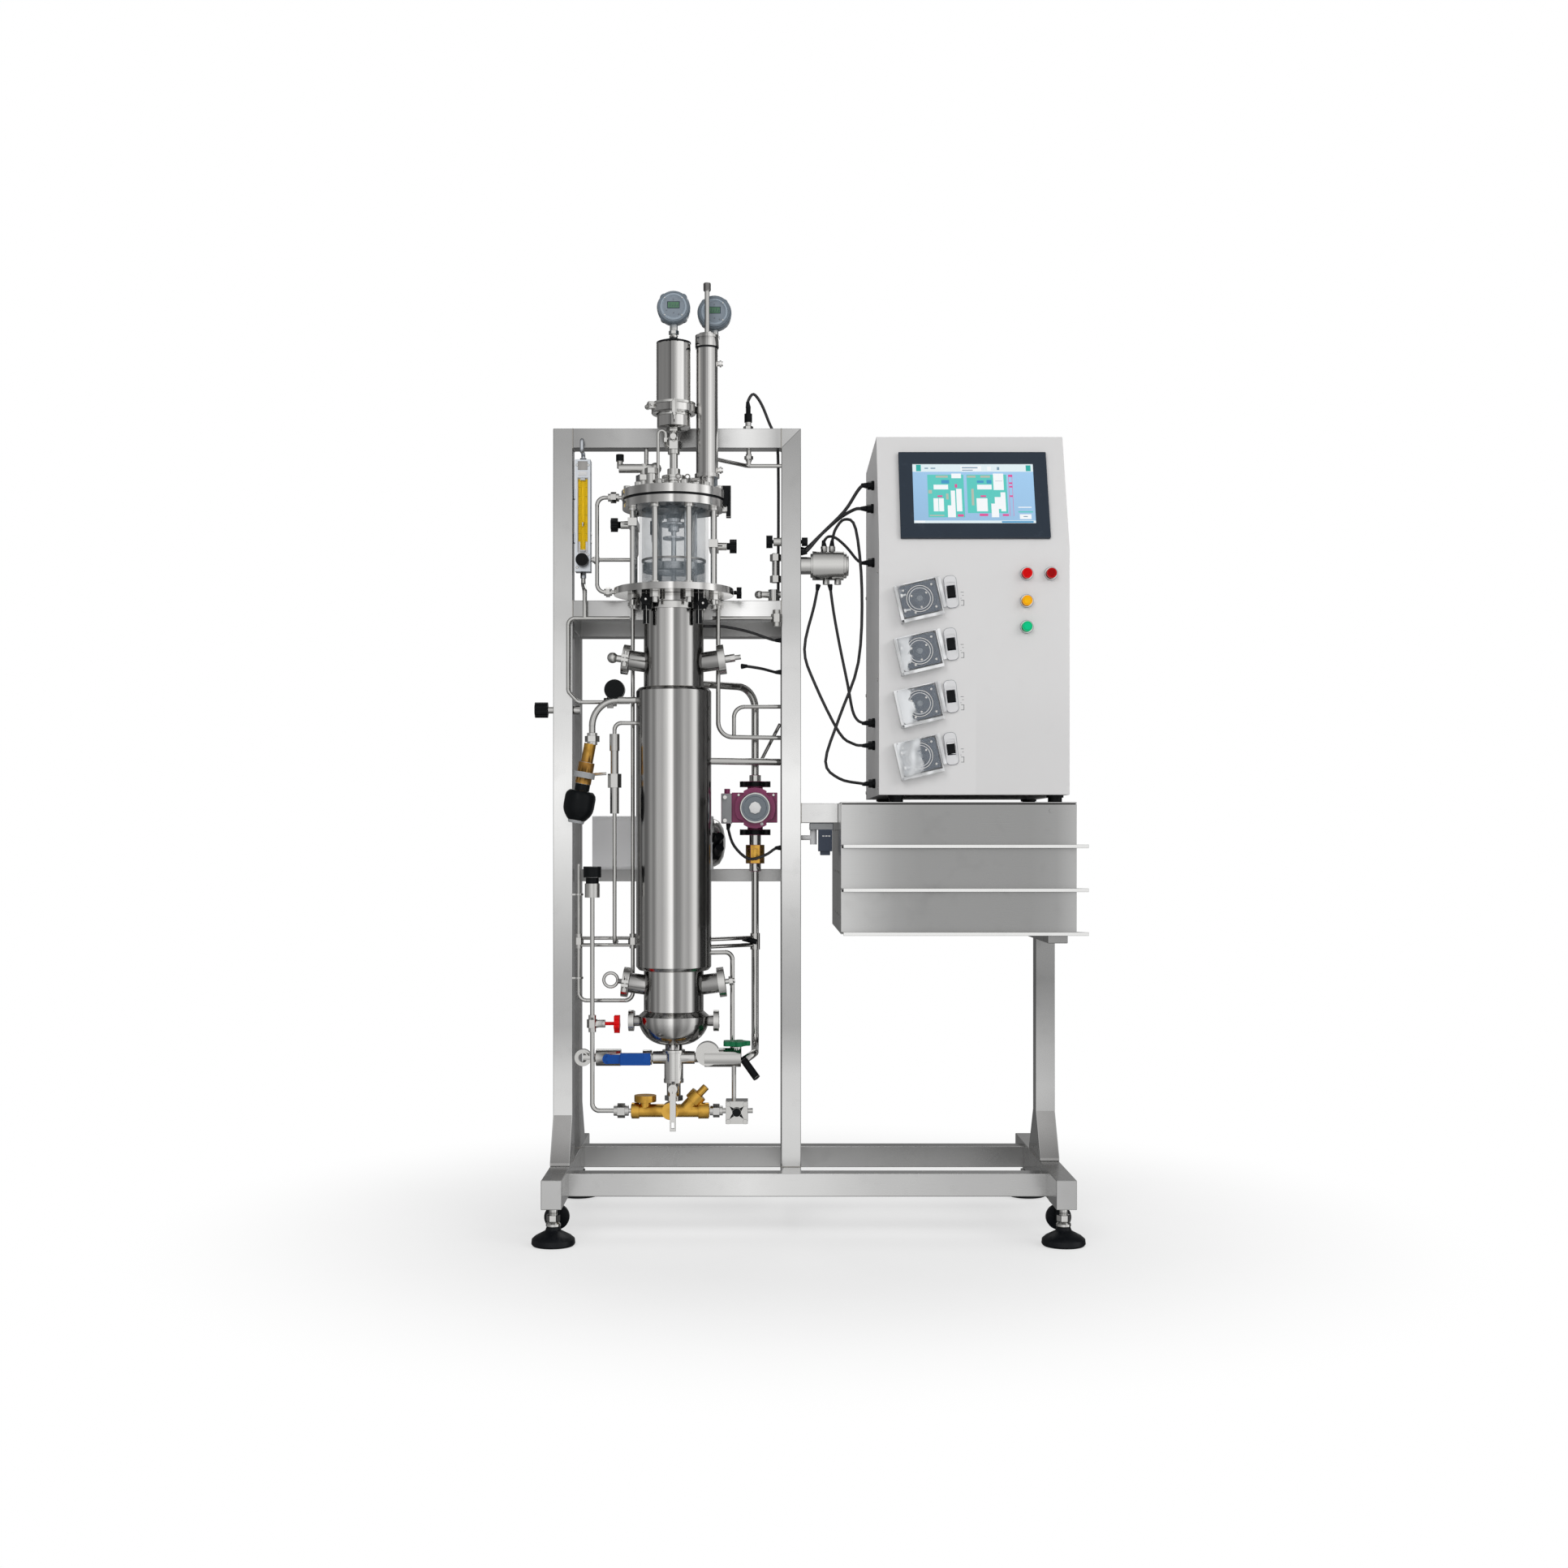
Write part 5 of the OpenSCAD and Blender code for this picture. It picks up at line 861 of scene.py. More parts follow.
def settle(mesh: Mesh, name: str, slot: str, *replaced: str,
           body: str = "skid") -> Object:
    """Turns a mesh into a piece.

    Args:
        mesh: Its mesh, in metres in the shared frame.
        name: The piece's name.
        slot: The record's material slot; not used.
        replaced: CAD nodes that it stands for.
        body: The body it moves with.

    Returns:
        The piece.
    """
    piece = linked(name, mesh)
    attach(piece, body)
    if replaced:
        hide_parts(*replaced)
    log.info("%s: %d faces on %s", name, len(mesh.polygons), body)
    return piece


def spot(x: float, y: float, z: float, axis: Axis = Axis.UP, spin: float = 0.0) -> Matrix:
    """Place of a piece at a point in millimetres, with its Z along an axis."""
    return Matrix.Translation((x, y, z)) @ axis.value @ Matrix.Rotation(math.radians(spin), 4, "Z")


def along(start: Point, end: Point) -> Matrix:
    """Place at a start point with Z towards an end point."""
    way = Vector(end) - Vector(start)
    return Matrix.Translation(start) @ way.to_track_quat("Z", "Y").to_matrix().to_4x4()


def screw(look: Look, radius: float, height: float, place: Matrix = Matrix()) -> Shape:
    """Pan-head screw with a hexagon socket, its seat at the place."""
    shape = Shape().lathe(look, [
        (0, height * 0.35), (radius * 0.42, height * 0.35), (radius * 0.46, height), (radius * 0.8, height),
        (radius, height * 0.55), (radius, 0), (0, 0)], place, 24)
    flats = [(radius * 0.44 * math.cos(a), radius * 0.44 * math.sin(a)) for a in turns(6)]
    return shape.prism(look, flats, height * 0.30, height * 0.36, place)


def loops(name: str, paths: Sequence[Sequence[Point]]) -> Mesh:
    """Mesh of closed edge loops through points in millimetres, as carrier of beads."""
    points, edges = [], []
    for path in paths:
        start = len(points)
        points += [tuple(c * MM for c in p) for p in path]
        edges += [(start + k, start + (k + 1) % len(path)) for k in range(len(path))]
    mesh = bpy.data.meshes.new(name)
    mesh.from_pydata(points, edges, [])
    return mesh


def rim(axis: int, at: float, low: Pair, high: Pair) -> list[Point]:
    """Corners of a rectangle that crosses an axis at a place."""
    flat = [(low[0], low[1]), (high[0], low[1]), (high[0], high[1]), (low[0], high[1])]
    return [tuple(list(c[:axis]) + [at] + list(c[axis:])) for c in flat]


def hoop(x: float, y: float, z: float, radius: float) -> list[Point]:
    """Points of a level circle."""
    return [(x + radius * math.cos(a), y + radius * math.sin(a), z) for a in turns(64)]


@dataclass(frozen=True)
class Zone:
    """Part of a node between two corners in millimetres that has a look of its own."""

    look: Look
    low: Point
    high: Point

    def holds(self, centre: Vector) -> bool:
        """True if a face's centre lies in the zone."""
        return all(a <= c <= b for a, c, b in zip(self.low, centre, self.high))


def zones(look: Look, *spans: tuple[Point, Point]) -> tuple[Zone, ...]:
    """Zones of one look, each between a pair of corners."""
    return tuple(Zone(look, low, high) for low, high in spans)


@dataclass(frozen=True)
class Barrel:
    """Part of a node round a slanted axis, between two distances along it, in millimetres."""

    look: Look
    start: Point
    way: Point
    near: float
    far: float
    radius: float = 60.0

    def holds(self, centre: Vector) -> bool:
        """True if a face's centre lies in the barrel."""
        way = Vector(self.way).normalized()
        offset = centre - Vector(self.start)
        run = offset.dot(way)
        return self.near <= run <= self.far and (offset - way * run).length <= self.radius


@dataclass(frozen=True)
class Crown:
    """Turned part that is drawn in to a rounded profile of distance along its axis and radius."""

    start: Point
    way: Point
    profile: tuple[Pair, ...]

    def shape(self, bm: bmesh.types.BMesh) -> None:
        """Cuts rings into the part and draws them in to the profile."""
        way = Vector(self.way).normalized()
        start = Vector(self.start)
        first, last = self.profile[0][0], self.profile[-1][0]
        held = Barrel(Look.BLACK, self.start, self.way, first, last)
        for run, _ in self.profile[1:-1]:
            faces = [f for f in bm.faces if held.holds(f.calc_center_median() * 1000)]
            parts = {e for f in faces for e in f.edges} | {v for f in faces for v in f.verts}
            bmesh.ops.bisect_plane(bm, geom=[*faces, *parts], plane_co=(start + way * run) * MM, plane_no=way,
                                   dist=1e-6)
        for vert in bm.verts:
            offset = vert.co * 1000 - start
            run = offset.dot(way)
            side = offset - way * run
            if first <= run <= last and 1 < side.length < held.radius:
                vert.co = (start + way * run + side * min(1.0, self._radius(run) / side.length)) * MM

    def _radius(self, run: float) -> float:
        """Radius of the profile at a distance along the axis."""
        for (a, low), (b, high) in zip(self.profile, self.profile[1:]):
            if a <= run <= b:
                return low + (high - low) * (run - a) / (b - a)
        return self.profile[-1][1]


@dataclass
class Dressing:
    """How a CAD node is finished: a merged copy with looks by zone and rounded edges."""

    node: str
    look: Look
    slot: str
    body: str = "skid"
    zones: tuple[Zone | Barrel, ...] = ()
    edge: float = 0.0
    crown: Crown | None = None

    def _index(self, centre: Vector) -> int:
        """Material index of a face by its centre in millimetres."""
        for k, zone in enumerate(self.zones):
            if zone.holds(centre):
                return k + 1
        return 0

    def _corners(self, bm: bmesh.types.BMesh) -> list[bmesh.types.BMEdge]:
        """Outside edges that are long and roomy enough to be rounded."""
        width = self.edge * MM
        chosen = []
        for edge in bm.edges:
            if len(edge.link_faces) != 2 or edge.calc_face_angle_signed(0.0) < math.radians(40):
                continue
            length = edge.calc_length()
            roomy = all(f.calc_area() > 2.6 * width * length for f in edge.link_faces)
            if roomy and length > 1.5 * width:
                chosen.append(edge)
        return chosen

    def build(self) -> Object:
        """Makes the finished copy in place of the node."""
        bm = bmesh.new()
        bm.from_mesh(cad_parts[self.node].data)
        bmesh.ops.remove_doubles(bm, verts=bm.verts, dist=2e-6)
        for face in bm.faces:
            face.material_index = self._index(face.calc_center_median() * 1000)
        bmesh.ops.dissolve_limit(bm, angle_limit=math.radians(0.4), verts=bm.verts, edges=bm.edges,
                                 delimit={"MATERIAL"})
        if self.crown:
            self.crown.shape(bm)
        if self.edge:
            bmesh.ops.bevel(bm, geom=self._corners(bm), offset=self.edge * MM, segments=2, profile=0.5,
                            affect="EDGES", clamp_overlap=False, loop_slide=True)
        mesh = bpy.data.meshes.new(self.node + "_finished")
        bm.to_mesh(mesh)
        bm.free()
        for look in (self.look, *(zone.look for zone in self.zones)):
            mesh.materials.append(look.material)
        shade(mesh, 32.0)
        piece = settle(mesh, self.node + "_finished", self.slot, self.node, body=self.body)
        flatten(piece)
        return piece


def dress(*rows: tuple, moving: bool = False) -> None:
    """Dresses CAD nodes in order.

    Args:
        rows: Node, look, slot and width of the rounded edges of each, and then any zones.
        moving: True where each node rides on the body of its own name, not on the skid.
    """
    for node, look, slot, edge, *parts in rows:
        Dressing(node, look, slot, node if moving else "skid", tuple(parts), edge).build()


def flatten(piece: Object) -> None:
    """Weights a piece's normals by face, so that flats stay flat beside rounded edges."""
    weigh = piece.modifiers.new("weights", "WEIGHTED_NORMAL")
    weigh.keep_sharp = True
    bake(piece)


def bake(piece: Object) -> None:
    """Replaces a piece's mesh by what its modifiers make of it, and removes them."""
    graph = bpy.context.evaluated_depsgraph_get()
    graph.update()
    made = bpy.data.meshes.new_from_object(piece.evaluated_get(graph), preserve_all_data_layers=True,
                                           depsgraph=graph)
    piece.modifiers.clear()
    made.name = piece.name
    piece.data = made


# -------------------------------------------------------------- geometry trees


class GeometryTree:
    """Geometry Nodes tree with named inputs, run once on a carrier mesh."""

    def __init__(self, name: str, **sockets: str) -> None:
        """Makes a tree.

        Args:
            name: The tree's name.
            sockets: Type of each named input.
        """
        self.tree = bpy.data.node_groups.new(name, "GeometryNodeTree")
        face = self.tree.interface
        face.new_socket("Geometry", in_out="INPUT", socket_type="NodeSocketGeometry")
        for label, kind in {**sockets, "Finish": "Material"}.items():
            face.new_socket(label, in_out="INPUT", socket_type="NodeSocket" + kind)
        face.new_socket("Geometry", in_out="OUTPUT", socket_type="NodeSocketGeometry")
        self.entry = self.tree.nodes.new("NodeGroupInput")
        self.carrier = self.entry.outputs["Geometry"]

    def __getitem__(self, label: str) -> Socket:
        """The named input's socket inside the tree."""
        return self.entry.outputs[label]

    def add(self, kind: str, settings: dict | None = None, **inputs: object) -> Socket:
        """Adds a node.

        Args:
            kind: The node's type.
            settings: Its attributes, set first.
            inputs: Values or sockets by input name, with spaces as underscores.

        Returns:
            The node's first output.
        """
        node = self.tree.nodes.new(kind)
        for key, value in (settings or {}).items():
            setattr(node, key, value)
        for label, value in inputs.items():
            live = [s for s in node.inputs if s.enabled and s.name == label.replace("_", " ")]
            socket = live[0] if live else node.inputs[int(label.strip("n"))]
            if isinstance(value, Socket):
                self.tree.links.new(value, socket)
            else:
                socket.default_value = value
        return node.outputs[0]

    def close(self, geometry: Socket) -> "GeometryTree":
        """Ends the tree in Realize Instances and Set Material."""
        real = self.add("GeometryNodeRealizeInstances", None, Geometry=geometry)
        dressed = self.add("GeometryNodeSetMaterial", None, Geometry=real, Material=self["Finish"])
        out = self.tree.nodes.new("NodeGroupOutput")
        self.tree.links.new(dressed, out.inputs["Geometry"])
        return self

    def run(self, name: str, carrier: Mesh, look: Look, place: Matrix = Matrix(),
            **values: object) -> Mesh:
        """Runs the tree.

        Args:
            name: Name of the mesh it makes.
            carrier: Mesh that goes in.
            look: Finish of what comes out.
            place: Turn and place in millimetres of what comes out.
            values: Inputs by name.

        Returns:
            A plain mesh in metres.
        """
        piece = linked(name, carrier)
        modifier = piece.modifiers.new("tree", "NODES")
        modifier.node_group = self.tree
        for item in self.tree.interface.items_tree:
            if item.in_out == "INPUT" and item.name != "Geometry":
                modifier[item.identifier] = look.material if item.name == "Finish" else values[item.name]
        bake(piece)
        mesh = piece.data
        bpy.data.objects.remove(piece)
        shift = place.copy()
        shift.translation = place.translation * MM
        mesh.transform(shift)
        shade(mesh)
        return mesh


def ring_tree() -> GeometryTree:
    """Copies of the carrier set round Z, each turned to face outwards."""
    t = GeometryTree("ring_of_copies", Count="Int", Radius="Float")
    points = t.add("GeometryNodeMeshCircle", None, Vertices=t["Count"], Radius=t["Radius"])
    number = t.add("GeometryNodeInputIndex")
    share = t.add("ShaderNodeMath", {"operation": "DIVIDE"}, n0=number, n1=t["Count"])
    angle = t.add("ShaderNodeMath", {"operation": "MULTIPLY"}, n0=share, n1=2 * math.pi)
    turn = t.add("ShaderNodeCombineXYZ", None, Z=angle)
    copies = t.add("GeometryNodeInstanceOnPoints", None, Points=points, Instance=t.carrier, Rotation=turn)
    return t.close(copies)


def row_tree() -> GeometryTree:
    """Copies of the carrier set in a straight row."""
    t = GeometryTree("row_of_copies", Count="Int", Step="Vector")
    points = t.add("GeometryNodeMeshLine", {"mode": "OFFSET"}, Count=t["Count"], Offset=t["Step"])
    copies = t.add("GeometryNodeInstanceOnPoints", None, Points=points, Instance=t.carrier)
    return t.close(copies)


def thread_tree() -> GeometryTree:
    """Screw thread: a helix that carries a pointed ridge."""
    t = GeometryTree("screw_thread", Radius="Float", Length="Float", Turns="Float", Ridge="Float")
    helix = t.add("GeometryNodeCurveSpiral", None, Resolution=20, Rotations=t["Turns"], Height=t["Length"],
                  Start_Radius=t["Radius"], End_Radius=t["Radius"])
    ridge = t.add("GeometryNodeCurvePrimitiveCircle", None, Resolution=4, Radius=t["Ridge"])
    thread = t.add("GeometryNodeCurveToMesh", None, Curve=helix, Profile_Curve=ridge, Fill_Caps=True)
    return t.close(thread)


def bead_tree() -> GeometryTree:
    """Weld bead along the carrier's edges, its thickness rippling."""
    t = GeometryTree("weld_bead", Radius="Float", Pitch="Float")
    path = t.add("GeometryNodeMeshToCurve", None, Mesh=t.carrier)
    even = t.add("GeometryNodeResampleCurve", {"mode": "LENGTH"}, Curve=path, Length=t["Pitch"])
    ripple = t.add("ShaderNodeTexNoise", {"noise_dimensions": "4D"}, W=7.0, Scale=400.0)
    half = t.add("ShaderNodeMath", {"operation": "ADD"}, n0=ripple, n1=0.5)
    swell = t.add("GeometryNodeSetCurveRadius", None, Curve=even, Radius=half)
    ring = t.add("GeometryNodeCurvePrimitiveCircle", None, Resolution=6, Radius=t["Radius"])
    bead = t.add("GeometryNodeCurveToMesh", None, Curve=swell, Profile_Curve=ring, Scale=half, Fill_Caps=True)
    return t.close(bead)


TREES: dict[str, Callable[[], GeometryTree]] = {
    "ring": ring_tree, "row": row_tree, "thread": thread_tree, "bead": bead_tree}
_grown: dict[str, GeometryTree] = {}


def tree(kind: str) -> GeometryTree:
    """A geometry tree by kind, built at first use."""
    if kind not in _grown:
        _grown[kind] = TREES[kind]()
    return _grown[kind]


def join(name: str, meshes: Sequence[Mesh], slot: str, body: str = "skid") -> Object:
    """Puts several meshes together as one piece."""
    bm = bmesh.new()
    materials: list[Material] = []
    for mesh in meshes:
        start = len(bm.faces)
        bm.from_mesh(mesh)
        bm.faces.ensure_lookup_table()
        own = list(mesh.materials)
        for material in own:
            if material not in materials:
                materials.append(material)
        for face in bm.faces[start:]:
            face.material_index = materials.index(own[face.material_index])
    whole = bpy.data.meshes.new(name)
    bm.to_mesh(whole)
    bm.free()
    for material in materials:
        whole.materials.append(material)
    shade(whole)
    return settle(whole, name, slot, body=body)


# ---------------------------------------------------------------------- cables


@dataclass(frozen=True)
class Route:
    """One cable from end to end, through points in millimetres."""

    name: str
    node: str
    diameter: float
    points: tuple[Point, ...]

    def line(self) -> list[Vector]:
        """Smooth centreline through the points, in millimetres, in four steps from each to the next."""
        points = [Vector(p) for p in self.points]
        line = []
        for k in range(len(points) - 1):
            a, b = points[max(k - 1, 0)], points[k]
            c, d = points[k + 1], points[min(k + 2, len(points) - 1)]
            for t in (0.0, 0.25, 0.5, 0.75):
                line.append(0.5 * (2 * b + (c - a) * t + (2 * a - 5 * b + 4 * c - d) * t * t
                                   + (3 * b - a - 3 * c + d) * t * t * t))
        return line + [points[-1]]


ROUTES = (
    Route("housing_cable_1", "cabinet_cables", 7, (
        (-10.7, -62, 1382), (2, -62, 1386), (30, -62, 1418), (78, -62, 1466), (104, -61, 1506),
        (115, -60, 1519), (125.7, -60, 1520))),
    Route("housing_cable_2", "cabinet_cables", 7, (
        (-10.7, -48, 1390), (2, -48, 1393), (34, -47, 1424), (70, -44, 1456), (100, -41, 1474),
        (114, -40, 1476), (125.7, -40, 1476))),
    Route("cabinet_lead_1", "cabinet_cables", 6, (
        (53, -62, 1394.3), (54, -64, 1406), (60, -74, 1428), (78, -86, 1446), (100, -102, 1424),
        (112, -112, 1300), (104, -130, 1150), (66, -130, 1040), (38, -120, 950), (66, -108, 916),
        (112, -100, 906), (125.7, -100, 906))),
    Route("cabinet_lead_2", "cabinet_cables", 6, (
        (37, -62, 1394.3), (37, -59, 1405), (46, -40, 1418), (62, -36, 1416), (84, -42, 1396),
        (104, -60, 1368), (115, -70, 1360), (125.7, -70, 1360))),
    Route("cabinet_lead_3", "cabinet_cables", 6, (
        (25, -62, 1315.7), (16, -70, 1270), (-4, -90, 1180), (16, -108, 1110), (66, -102, 1010),
        (96, -92, 987), (115, -90, 984), (125.7, -90, 984))),
    Route("cabinet_lead_4", "cabinet_cables", 6, (
        (49, -62, 1315.7), (56, -70, 1260), (68, -80, 1190), (84, -88, 1110), (94, -90, 1056),
        (104, -90, 1036), (116, -90, 1030), (125.7, -90, 1030))),
    Route("post_lead_1", "frame_cables", 6, (
        (-119, -62, 1679.3), (-119, -62, 1694), (-108, -60, 1708), (-92, -50, 1690), (-76, -38, 1654),
        (-62, -34, 1620), (-57, -32, 1560), (-57, -18, 1320), (-57, -18, 1290), (-57, -24, 1268),
        (-57, -34, 1259), (-57, -41.7, 1257))),
    Route("post_lead_2", "frame_cables", 6, (
        (-219.8, -113.8, 1226), (-200, -99, 1226), (-170, -78, 1228), (-120, -60, 1220),
        (-76, -51, 1206), (-64, -50, 1203), (-51.3, -50, 1203))),
    Route("post_lead_3", "frame_cables", 6, (
        (-132.3, -150, 1140), (-120, -148, 1140), (-92, -110, 1139), (-72, -74, 1137),
        (-63, -62, 1136), (-51.3, -62, 1136))),
    Route("post_lead_4", "frame_cables", 6, (
        (-160, -20, 824.7), (-160, -20, 810), (-148, -32, 778), (-118, -46, 752), (-84, -52, 760),
        (-64, -54, 773), (-51.3, -54, 775))),
)


@dataclass
class Cables:
    """Sensor and actuator leads, each with a tapered strain relief at both ends."""

    relief: float = 13.0
    ribs: int = 4

    def _relief(self, end: Vector, inner: Vector, diameter: float) -> Shape:
        """Ribbed boot from a cable's end inwards."""
        way = (inner - end).normalized()
        profile = [(0, 0), (diameter * 0.86, 0), (diameter * 0.9, 1.5)]
        for k in range(self.ribs):
            z = 2 + k * (self.relief - 3) / self.ribs
            r = diameter * (0.86 - 0.30 * k / self.ribs)
            profile += [(r, z), (r, z + 1.3), (r - 0.5, z + 1.6), (r - 0.5, z + 2.3)]
        profile += [(diameter * 0.5, self.relief), (0, self.relief)]
        return Shape().lathe(Look.RUBBER, profile, along(end, end + way), 20)

    def _curve(self, route: Route, line: Sequence[Vector]) -> Object:
        """The cable itself as a curve of one open spline."""
        data = bpy.data.curves.new(route.name, "CURVE")
        data.dimensions = "3D"
        data.bevel_depth = route.diameter * MM / 2
        data.bevel_resolution = 4
        data.use_fill_caps = True
        spline = data.splines.new("POLY")
        spline.points.add(len(line) - 1)
        for point, place in zip(spline.points, line):
            point.co = (*(place * MM), 1.0)
        spline.use_smooth = True
        data.materials.append(Look.CABLE.material)
        return linked(route.name, data)

    def build(self) -> None:
        for route in ROUTES:
            line = route.line()
            piece = self._curve(route, line)
            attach(piece, "skid")
            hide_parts(route.node)
            for number, (end, inner) in enumerate(((line[0], line[1]), (line[-1], line[-2]))):
                boot = self._relief(end, inner, route.diameter)
                boot.piece(f"{route.name}_relief_{number}", "black_plastic", route.node)
            length = sum((b - a).length for a, b in zip(line, line[1:])) * MM
            tuple(line[0] * MM)
            log.info("%s: %.3f m", route.name, length)


# ---------------------------------------------------------------------- studio


@dataclass
class Studio:
    """Camera, pale floor, soft lamps and surroundings."""

    eye: Point = (-0.089, -3.980, 0.791)
    lens: float = 43.75
    shift: Pair = (0.0135, 0.0357)
    lamps: tuple[tuple[Point, float, float], ...] = (
        ((-1.4, -3.9, 3.1), 2.2, 48.0), ((3.0, -2.6, 2.6), 2.0, 36.0), ((0.0, 2.6, 3.4), 2.6, 31.0))
    level: float = 0.56
    round_about: Stops = (
        (-180, 0.2), (-150, 0.16), (-128, 0.1), (-108, 0.3), (-75, 0.42), (-60, 0.4), (-45, 0.6), (-22, 0.88),
        (-10, 1.08), (0, 1.12), (12, 1.05), (20, 0.7), (34, 0.98), (55, 1.0), (66, 1.35), (84, 1.35),
        (92, 0.1), (130, 0.08), (146, 0.22), (165, 0.42), (180, 0.2))
    fill: Stops = (
        (-180, 0.9), (-120, 0.35), (-80, 0.35), (-35, 1.1), (0, 1.3), (40, 1.2), (90, 0.9), (180, 0.9))
    upward: Stops = (
        (-1.0, 0.45), (-0.7, 0.55), (-0.3, 0.85), (0.0, 0.97), (0.5, 0.9), (0.85, 0.6), (1.0, 0.45))

    def build(self) -> None:
        """Sets the scene round the object."""
        self._camera()
        self._floor()
        self._surroundings()
        for number, (place, size, power) in enumerate(self.lamps):
            lamp = bpy.data.lights.new(f"softbox_{number}", "AREA")
            lamp.shape, lamp.size, lamp.energy = "SQUARE", size, power
            holder = linked(lamp.name, lamp)
            holder.location = place
            holder.rotation_euler = (Vector(place) - Vector((0, 0, 0.9))).to_track_quat("Z", "Y").to_euler()
            holder.visible_glossy = place[1] > 0
        bpy.context.scene.view_settings.view_transform = "Standard"

    def _camera(self) -> None:
        """Level camera in front of the skid."""
        data = bpy.data.cameras.new("camera")
        data.lens, data.sensor_width = self.lens, 36.0
        data.shift_x, data.shift_y = self.shift
        camera = linked("camera", data)
        camera.location, camera.rotation_euler = self.eye, (math.pi / 2, 0, 0)
        bpy.context.scene.camera = camera

    def _floor(self) -> None:
        """Round pale floor that fades into the white surroundings."""
        g = ShaderGraph("studio_floor")
        x, y, _ = g.axes()
        radius = (x * x + y * y) ** 0.5
        path = g.node("ShaderNodeLightPath")
        seen = Num(g, path.outputs["Is Camera Ray"])
        fade = seen * (0.55 + 0.45 * radius.ramp(0.5, 1.4))
        tint = g.mix(g.noise(8, 3), (0.86, 0.86, 0.86), (0.9, 0.9, 0.9))
        pale = g.node("ShaderNodeBsdfDiffuse", None, {"Color": tint})
        white = g.node("ShaderNodeEmission", None, {"Color": (1, 1, 1), "Strength": 1.0})
        both = g.node("ShaderNodeMixShader", None, {0: fade, 1: pale.outputs[0], 2: white.outputs[0]})
        g.node("ShaderNodeOutputMaterial", None, {"Surface": both.outputs[0]})
        mesh = Shape().ring(Look.WHITE, 0, 9000, -20, -0.5, steps=96).mesh("floor")
        mesh.materials.clear()
        mesh.materials.append(g.material)
        floor = linked("floor", mesh)
        floor.visible_glossy = False

    def _surroundings(self) -> None:
        """White behind the object, even light on it, and panels with dark gaps for steel to reflect."""
        world = bpy.data.worlds.new("studio")
        bpy.context.scene.world = world
        g = ShaderGraph("studio", world)
        x, y, z = g.axes()
        angle = x.angle(0 - y) * DEGREES
        panels = g.curve(angle, self.round_about) * g.curve(z, self.upward)
        soft = g.curve(angle, self.fill) * self.level
        path = g.node("ShaderNodeLightPath")
        seen, through, mirrored = (Num(g, path.outputs[f"Is {ray} Ray"])
                                   for ray in ("Camera", "Transmission", "Glossy"))
        clear = seen.most(through)
        light = clear + (1 - clear) * (mirrored * panels + (1 - mirrored) * soft)
        back = g.node("ShaderNodeBackground", None, {"Color": (1, 1, 1), "Strength": light})
        g.node("ShaderNodeOutputWorld", None, {"Surface": back.outputs[0]})


# -------------------------------------------------------------- sub-assemblies

# Material slots of the record that many pieces take.
POLISHED, SATIN, BLACK = "polished_stainless", "satin_stainless", "black_plastic"


